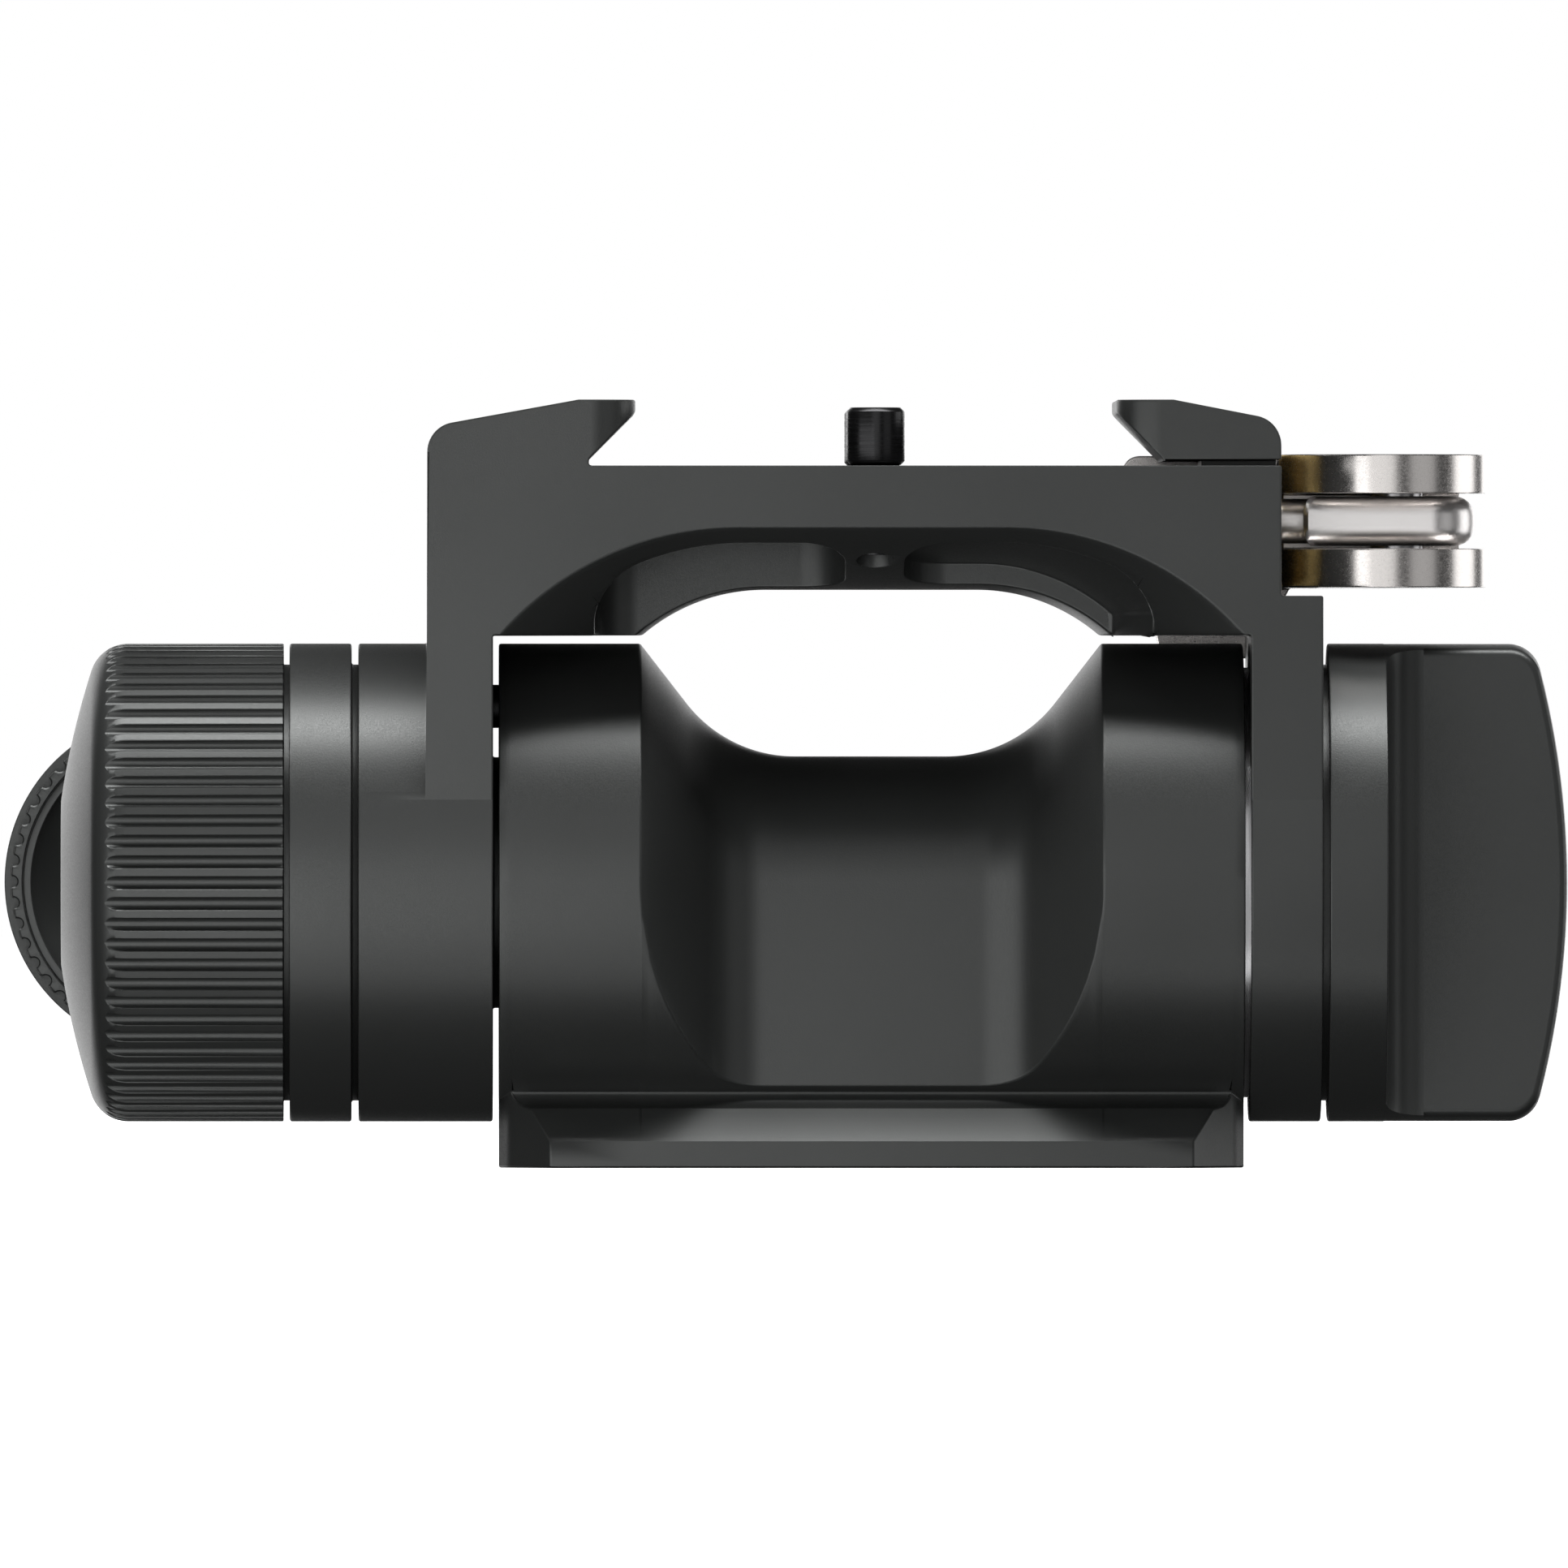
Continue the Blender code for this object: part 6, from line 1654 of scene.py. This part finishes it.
# Handle side ------------------------------------------------------------------------------
@dataclass
class HandleHub:
    """The bearing cap on the left ear and the knurled hub that turns on its spigot.

    Attributes:
        plan: the shared sizes.
        cap: length of the cap's plain band.
        spigot: radius of the cap's spigot.
        spigot_end: how far the spigot's end stands inside the hub's outer face.
        bearing: radius of the bearing's seat.
        screw: the hub screw's radius.
        straight: length of the hub's straight band.
        shoulder: round of the hub's outer corner.
        flat: radius of the flat end around the screw.
        crown: radius of the shallow dome between them.
        grooves: how many grooves the knurl has.
        groove: radius of a groove, and distance of its centre from the axis.
        web: thickness of the web under the screw's head.
        cap_screw: length, head radius and shank radius of the cap's screws.
        hub_screw: head radius and socket of the hub screw, and how far its head stands out.
        rod_seat: the rod's bore in the hub, and its floor outside the spigot.
    """

    plan: Plan
    cap: float = 4.15 * MM
    spigot: float = 7.0 * MM
    spigot_end: float = 7.0 * MM
    bearing: float = 11.25 * MM
    screw: float = 1.9 * MM
    straight: float = 10.4 * MM
    shoulder: float = 2.6 * MM
    flat: float = 5.5 * MM
    crown: float = 50.0 * MM
    grooves: int = 72
    groove: Point = (0.42 * MM, 15.95 * MM)
    web: float = 3.4 * MM
    cap_screw: Place = (8.0 * MM, 1.2 * MM, 0.8 * MM)
    hub_screw: Place = (4.96 * MM, 4.0 * MM, 0.15 * MM)
    rod_seat: Point = (4.3 * MM, 1.4 * MM)

    @property
    def cap_start(self) -> float:
        """The cap's face beside the ear."""
        return self.plan.left_ear - self.plan.groove

    @property
    def hub_start(self) -> float:
        """The hub's inner face."""
        return self.cap_start - self.cap - self.plan.running_gap

    def build(self) -> None:
        """Makes the cap, its screws, the hub and the hub's screw."""
        self.make_cap()
        self.make_hub()
        self.make_hub_screw()

    def make_cap(self) -> None:
        """Makes the cap and its three screws, which a recipe sets out in a ring."""
        plan = self.plan
        start = self.cap_start
        end = start - self.cap
        neck = start + plan.lap
        recess = end + plan.lap - plan.running_gap + plan.gap
        spigot = plan.hub_end + self.spigot_end
        hole = self.screw + plan.gap
        floor = recess + 1.3 * MM
        bore_end = end - 1.5 * MM
        inner = plan.groove_radius + plan.gap
        profile = [(floor, 0.0), (floor, self.bearing), (neck, self.bearing),
                   (neck, plan.groove_radius), (start, plan.groove_radius), (start, plan.barrel),
                   (end, plan.barrel), (end, inner), (recess, inner), (recess, self.spigot),
                   (spigot, self.spigot), (spigot, hole), (bore_end, hole), (bore_end, 0.0)]
        cap = lathe(profile)
        radius = (self.bearing + plan.groove_radius) / 2
        hole = lathe(stepped(recess - MM, (recess + 1.9 * MM, 1.5 * MM), (neck + MM, plan.tap)),
                     36, centre=(0.0, radius, 0.0))
        cap.recipe(make_ring_cutter(), {"Count": 3, "Start": math.pi / 6, "Tool": hole})
        cap.soften(plan.edge)
        cap.deliver("bearing_cap_ring", "yoke", ["bearing_cap"], BLACK_ANODISED, plan.place)
        top = recess + plan.gap
        length, head, shank = self.cap_screw
        screw = socket_screw(stepped(top, (top + 1.3 * MM, head), (top + length, shank)), 48,
                             1.1 * MM, (top - MM, top + 0.78 * MM), 0.08 * MM,
                             centre=(0.0, radius, 0.0))
        ring = Blank(bmesh.new()).recipe(make_ring_of(), {
            "Count": 3, "Start": math.pi / 6, "Tool": screw})
        ring.deliver("cap_screws", "yoke", ["cap_screw_1", "cap_screw_2", "cap_screw_3"],
                     PLAIN_STEEL, plan.place)

    def hub_outline(self) -> Outline:
        """The hub's profile from its inner neck over the dome to the web inside."""
        plan = self.plan
        neck = self.hub_start + plan.lap
        bore = self.spigot + plan.gap
        bore_end = plan.hub_end + self.spigot_end - plan.gap
        web = bore_end - self.web
        hole = self.screw + plan.gap
        head = self.flat - 0.1 * MM
        corner = (self.hub_start - self.straight, plan.barrel - self.shoulder)
        profile = [(bore_end, hole), (bore_end, bore), (neck, bore), (neck, plan.groove_radius),
                   (self.hub_start, plan.groove_radius), (self.hub_start, plan.barrel)]
        profile += arc(corner, self.shoulder, 90, 162, 16)
        dome, last = profile[-1], (plan.hub_end, self.flat)
        for step in range(1, 15):
            share = step / 14
            sag = share * (1.0 - share) * (dome[1] - last[1]) ** 2 / (2 * self.crown)
            profile.append((dome[0] + (last[0] - dome[0]) * share - sag,
                            dome[1] + (last[1] - dome[1]) * share))
        profile += [(plan.hub_end, head), (web, head), (web, hole)]
        return profile

    def make_hub(self) -> None:
        """Makes the hub; a recipe cuts its knurl of half-round grooves."""
        plan = self.plan
        hub = lathe(self.hub_outline(), 288)
        bore, floor = self.rod_seat
        centre = (plan.hub_place, 0.0, 0.0)
        hub.cut(rod(self.spigot + floor, plan.barrel + MM, bore, Axis.Y, centre, 64))
        radius, distance = self.groove
        groove = rod(plan.hub_end, self.hub_start + 0.3 * MM, radius,
                     centre=(0.0, distance, 0.0), segments=28)
        hub.recipe(make_ring_cutter(), {"Count": self.grooves, "Start": 0.0, "Tool": groove})
        hub.soften(0.05 * MM, 40.0, 1)
        hub.deliver("knurled_hub", "handle", ["handle_hub"], BLACK_ANODISED, plan.place)

    def make_hub_screw(self) -> None:
        """Makes the socket screw in the hub's face."""
        plan = self.plan
        web = plan.hub_end + self.spigot_end - plan.gap - self.web
        head, across, proud = self.hub_screw
        top = plan.hub_end + proud
        head_end = web - 2 * plan.gap - 0.5 * MM
        end = self.cap_start - self.cap - 2.2 * MM
        screw = socket_screw(stepped(top, (head_end, head), (end, self.screw)), 96, across,
                             (top - MM, top + 0.6 * (head_end - top)), 0.25 * MM)
        screw.deliver("hub_socket_screw", "yoke", ["hub_screw"],
                      BLACK_STEEL.worked(Grain.TURNED_ABOUT_X), plan.place)


@dataclass
class PanHandle:
    """The rod behind the hub with its ferrule, scalloped collar, rubber grip and end cap.

    Attributes:
        plan: the shared sizes.
        hub: the hub that holds the rod.
        rod: radius and bore of the rod.
        ferrule: length and wall of the ferrule.
        collar: radius and length of the collar.
        knurl: radius of the scalloped band, and where its face starts.
        dish: radius and depth of the hollow in the collar's face.
        scallops: how many scallops the collar has.
        scallop: radius of a scallop, and distance of its centre from the rod's.
        scallop_depth: how far the scallops reach back from the collar's face.
        lip: how far the dish lies behind the collar's face.
        grip: radius and length of the rubber grip.
        waist: how much the grip narrows at its middle and widens to its end, as shares.
        flutes: how many flutes the grip has.
        flute: a flute's radius, how far its centre is outside the grip, and its inset.
        end_cap: length of the end cap.
        cap_round: radius of the end cap's corner.
        rod_past: how far the rod reaches into the end cap.
        end_screw: head radius and length, and whole length, of the end screw.
    """

    plan: Plan
    hub: HandleHub
    rod: Point = (4.0 * MM, 2.4 * MM)
    ferrule: Point = (4.2 * MM, 2.0 * MM)
    collar: Point = (11.5 * MM, 4.0 * MM)
    knurl: Point = (11.05 * MM, 10.3 * MM)
    dish: Point = (9.7 * MM, 2.6 * MM)
    scallops: int = 48
    scallop: Point = (0.42 * MM, 11.0 * MM)
    scallop_depth: float = 1.5 * MM
    lip: float = 0.12 * MM
    grip: Point = (10.0 * MM, 48.0 * MM)
    waist: Point = (0.09, 0.04)
    flutes: int = 20
    flute: Place = (0.75 * MM, 0.15 * MM, 5.0 * MM)
    end_cap: float = 6.5 * MM
    cap_round: float = 3.0 * MM
    rod_past: float = 3.5 * MM
    end_screw: Place = (3.2 * MM, 1.2 * MM, 12.0 * MM)

    @property
    def sleeve(self) -> float:
        """Radius of the bores that the rod passes through."""
        return self.rod[0] + self.plan.gap

    @property
    def grip_start(self) -> float:
        """Where the grip begins."""
        return self.plan.grip_front + self.collar[1] + self.plan.gap

    @property
    def grip_end(self) -> float:
        """Where the grip ends."""
        return self.grip_start + self.grip[1]

    def build(self) -> None:
        """Makes every piece along the rod."""
        self.make_rod()
        self.make_ferrule()
        self.make_collar()
        self.make_grip()
        self.make_end()

    def deliver(self, blank: Blank, name: str, node: str, finish: Finish) -> None:
        """Lays a shape made along X on the pan handle's axis and delivers it."""
        blank.deliver(name, "handle", [node], finish, self.plan.hub_axis)

    def make_rod(self) -> None:
        """Makes the hollow rod."""
        start = self.hub.spigot + self.hub.rod_seat[1] + self.plan.gap
        outer, bore = self.rod
        end, floor = self.grip_end + self.rod_past, start + 12.0 * MM
        shape = lathe(stepped(start, (end, outer), (floor, bore)), 96)
        self.deliver(shape.soften(0.15 * MM), "pan_rod", "handle_rod", BLACK_ANODISED)

    def make_ferrule(self) -> None:
        """Makes the ferrule beside the hub."""
        plan = self.plan
        start = plan.barrel + 2 * plan.gap
        length, wall = self.ferrule
        outer = self.sleeve + wall
        end = start + length
        shape = lathe([(start, self.sleeve), (start, outer), (end - MM, outer),
                       (end, self.sleeve + wall / 2), (end, self.sleeve)], 96)
        self.deliver(shape.soften(0.12 * MM), "rod_ferrule", "handle_ferrule",
                     BLACK_STEEL.worked(Grain.TURNED_ABOUT_Y))

    def make_collar(self) -> None:
        """Makes the dished collar; a recipe cuts the scallops around its face."""
        front = self.plan.grip_front
        rim, length = self.collar
        dish, depth = self.dish
        knurl, face = self.knurl
        profile = []
        for step in range(19):
            turn = math.pi / 2 * step / 18
            profile.append((front + self.lip + depth * math.cos(turn) ** 1.3,
                            self.sleeve + (dish - self.sleeve) * math.sin(turn)))
        groove = 0.1 * MM
        back = front + self.scallop_depth
        profile += [(front + self.lip, face - groove), (front + 0.3 * MM, face - groove / 2),
                    (front, face), (front, knurl - groove), (front + groove, knurl),
                    (back, knurl), (back, rim), (front + length, rim),
                    (front + length, self.sleeve)]
        collar = lathe(profile, 240)
        radius, distance = self.scallop
        tool = rod(front - MM, back, radius, centre=(0.0, distance, 0.0), segments=28)
        collar.recipe(make_ring_cutter(), {"Count": self.scallops, "Start": 0.0, "Tool": tool})
        collar.soften(0.05 * MM, 40.0, 1)
        self.deliver(collar, "scalloped_collar", "grip_collar", BLACK_ANODISED)

    def grip_radius(self, along: float) -> float:
        """The grip's radius at one place along the rod."""
        share = (along - self.grip_start) / self.grip[1]
        narrow, wide = self.waist
        return self.grip[0] * (1.0 - narrow * math.sin(math.pi * share) + wide * share)

    def make_flute(self) -> Blank:
        """The tool for one flute, which runs out softly at both ends."""
        radius, outside, inset = self.flute
        rings = []
        for step in range(1, 24):
            share = step / 24
            along = self.grip_start + inset + (self.grip[1] - 2 * inset) * share
            size = radius * math.sqrt(1.0 - (2 * share - 1.0) ** 8)
            centre = self.grip_radius(along) + outside
            turns = [side * math.pi / 8 for side in range(16)]
            rings.append([(along, centre + size * math.cos(a), size * math.sin(a)) for a in turns])
        return loft(rings)

    def make_grip(self) -> None:
        """Makes the waisted rubber grip; a recipe cuts its flutes."""
        stations = [self.grip_start + self.grip[1] * step / 40 for step in range(41)]
        profile = [(along, self.grip_radius(along)) for along in stations]
        profile = [(self.grip_start, self.sleeve)] + profile + [(self.grip_end, self.sleeve)]
        grip = lathe(profile, 160)
        flute = self.make_flute()
        grip.recipe(make_ring_cutter(), {"Count": self.flutes, "Start": 0.0, "Tool": flute})
        grip.soften(0.12 * MM, 35.0)
        self.deliver(grip, "fluted_grip", "handle_grip", GRIP_RUBBER)

    def make_end(self) -> None:
        """Makes the end cap and the screw that holds it."""
        plan = self.plan
        start = self.grip_end + plan.gap
        end = start + self.end_cap
        radius = self.grip_radius(self.grip_end)
        pocket = self.grip_end + self.rod_past + plan.gap
        shank = self.rod[1] - 2 * plan.gap
        head, head_length, length = self.end_screw
        hole = shank + plan.gap
        seat, seat_end = head + plan.gap, end - 1.6 * MM
        profile = [(pocket, hole), (pocket, self.sleeve), (start, self.sleeve), (start, radius)]
        profile += arc((start + 2.2 * MM, radius - self.cap_round), self.cap_round, 90, 15, 14)
        profile += [(end, radius - 4.2 * MM), (end, seat), (seat_end, seat), (seat_end, hole)]
        cap = lathe(profile, 128).soften(0.12 * MM)
        self.deliver(cap, "grip_cap", "grip_end_cap", BLACK_ANODISED)
        top = end - 0.1 * MM
        screw = socket_screw(stepped(top, (top - head_length, head), (top - length, shank)), 72,
                             2.6 * MM, (top - 0.72 * MM, top + MM), 0.12 * MM)
        self.deliver(screw, "grip_socket_screw", "grip_end_screw",
                     BLACK_STEEL.worked(Grain.TURNED_ABOUT_Y))


# Inner fittings ---------------------------------------------------------------------------
@dataclass
class InnerFittings:
    """The turned parts inside the barrel, shown as the frame holds them with their own finishes.

    Attributes:
        finishes: the finish for each node that stays.
    """

    finishes: dict[str, Finish] = field(default_factory=lambda: {
        "tilt_axle": PLAIN_STEEL, "axle_nut": PLAIN_STEEL, "needle_bearing": PLAIN_STEEL,
        "hub_washer": PLAIN_STEEL, "knob_insert": PLAIN_STEEL, "spring_washer": PLAIN_STEEL,
        "bush_left": BRONZE, "bush_right": BRONZE})

    def dress(self) -> None:
        """Gives every node that stays its finish."""
        for name, finish in self.finishes.items():
            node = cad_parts[name]
            for place in node.material_slots:
                place.material = finish.material()
            LOG.info("%s: kept from the frame as %s", name, finish.name)


# Studio -----------------------------------------------------------------------------------
@dataclass(frozen=True)
class Softbox:
    """One soft light.

    Attributes:
        name: what it is for.
        place: where it hangs, from the middle of the tilt axis.
        size: its width and height.
        power: its power in watts.
    """

    name: str
    place: Place
    size: Point
    power: float

    def hang(self, target: Vector) -> None:
        """Adds the light, aimed at a target."""
        lamp = bpy.data.lights.new(self.name, "AREA")
        lamp.shape = "RECTANGLE"
        lamp.size, lamp.size_y = self.size
        lamp.energy = self.power
        holder = bpy.data.objects.new(self.name, lamp)
        holder.location = target + Vector(self.place)
        holder.rotation_euler = (-Vector(self.place)).to_track_quat("-Z", "Y").to_euler()
        holder.visible_camera = False
        bpy.context.scene.collection.objects.link(holder)


@dataclass
class Studio:
    """A white sweep, soft lights and a long lens at the height of the bridge.

    Attributes:
        plan: the shared sizes.
        distance: from the camera to the object.
        width: what the picture takes in at the object.
        middle: the place along the axis and the height above it that the lens is aimed at.
        yaw: how far the camera stands to the left, in degrees.
        dim: strength of the surroundings as a light.
        floor_radius: the floor's radius.
        floor_glow: strength of the floor's own light, which keeps it white.
        lights: the soft lights.
    """

    plan: Plan
    distance: float = 4.0
    width: float = 105.0 * MM
    middle: Point = (-5.8 * MM, 6.6 * MM)
    yaw: float = 0.35
    dim: float = 0.035
    floor_radius: float = 6.0
    floor_glow: float = 1.1
    lights: tuple[Softbox, ...] = (
        Softbox("overhead", (0.0, -0.09, 0.55), (0.80, 0.17), 7.0),
        Softbox("front", (0.03, -0.90, 0.05), (0.45, 1.30), 1.8),
        Softbox("near_left", (-0.11, -0.15, -0.03), (0.22, 0.16), 0.22),
        Softbox("low_front", (0.0, -0.45, -0.42), (0.50, 0.18), 0.45),
        Softbox("right_front", (0.55, -0.53, 0.0), (0.40, 0.60), 0.35),
        Softbox("right", (0.73, 0.16, 0.0), (0.45, 0.60), 1.4),
        Softbox("left_rear", (-0.30, 0.75, 0.0), (0.50, 0.60), 1.6),
        Softbox("rear", (0.30, 0.80, 0.05), (0.60, 0.40), 1.2),
    )

    def build(self) -> None:
        """Sets up the surroundings, the floor, the lights and the camera."""
        self.surround()
        self.lay_floor()
        for light in self.lights:
            light.hang(Vector((0.0, 0.0, self.plan.axis_height)))
        self.place_camera()

    def surround(self) -> None:
        """Makes the surroundings white to look at and dim to be lit by."""
        scene = bpy.context.scene
        scene.view_settings.view_transform = "Standard"
        world = bpy.data.worlds.new("studio")
        scene.world = world
        world.use_nodes = True
        tree = world.node_tree
        seen = add_node(tree, "ShaderNodeBackground", inputs={"Color": WHITE})
        dim = tree.nodes["Background"]
        feed(tree, dim, {"Color": WHITE, "Strength": self.dim})
        path = add_node(tree, "ShaderNodeLightPath")
        blend = add_node(tree, "ShaderNodeMixShader", inputs={
            "Fac": path.outputs["Is Camera Ray"], 1: dim.outputs["Background"],
            2: seen.outputs["Background"]})
        feed(tree, tree.nodes["World Output"], {"Surface": blend.outputs["Shader"]})

    def lay_floor(self) -> None:
        """Lays the white floor, which the object stands on and doesn't mirror."""
        shape = bmesh.new()
        bmesh.ops.create_circle(shape, cap_ends=True, segments=96, radius=self.floor_radius)
        mesh = bpy.data.meshes.new("floor")
        shape.to_mesh(mesh)
        shape.free()
        floor = bpy.data.objects.new("floor", mesh)
        bpy.context.scene.collection.objects.link(floor)
        paint = bpy.data.materials.new("white_floor")
        paint.use_nodes = True
        tree = paint.node_tree
        feed(tree, tree.nodes["Principled BSDF"], {
            "Base Color": (0.9, 0.9, 0.9, 1.0), "Roughness": 0.9,
            "Emission Color": WHITE, "Emission Strength": self.floor_glow})
        mesh.materials.append(paint)
        floor.visible_glossy = False
        floor.visible_diffuse = False
        floor.visible_shadow = False

    def place_camera(self) -> None:
        """Places the camera, level with the bridge and far back behind a long lens."""
        lens = bpy.data.cameras.new("long_lens")
        lens.sensor_width = 36.0
        lens.lens = lens.sensor_width * self.distance / self.width
        lens.clip_start = 0.1
        lens.clip_end = 20.0
        camera = bpy.data.objects.new("camera", lens)
        target = Vector((self.middle[0], 0.0, self.plan.axis_height + self.middle[1]))
        swing = math.radians(self.yaw)
        way = Vector((-math.sin(swing), -math.cos(swing), 0.0))
        camera.location = target + self.distance * way
        camera.rotation_euler = (target - camera.location).to_track_quat("-Z", "Y").to_euler()
        bpy.context.scene.collection.objects.link(camera)
        bpy.context.scene.camera = camera


def main() -> None:
    """Builds every sub-assembly in order, then the studio around them."""
    logging.basicConfig(level=logging.INFO, format="%(message)s")
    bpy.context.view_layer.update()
    plan = Plan.measured()
    yoke = Yoke(plan)
    hub = HandleHub(plan)
    for assembly in (TiltBase(plan), yoke, DovetailClamp(plan, yoke), WingKnob(plan), hub,
                     PanHandle(plan, hub)):
        LOG.info("-- %s", type(assembly).__name__)
        assembly.build()
    InnerFittings().dress()
    Studio(plan).build()


if __name__ == "__main__":
    main()
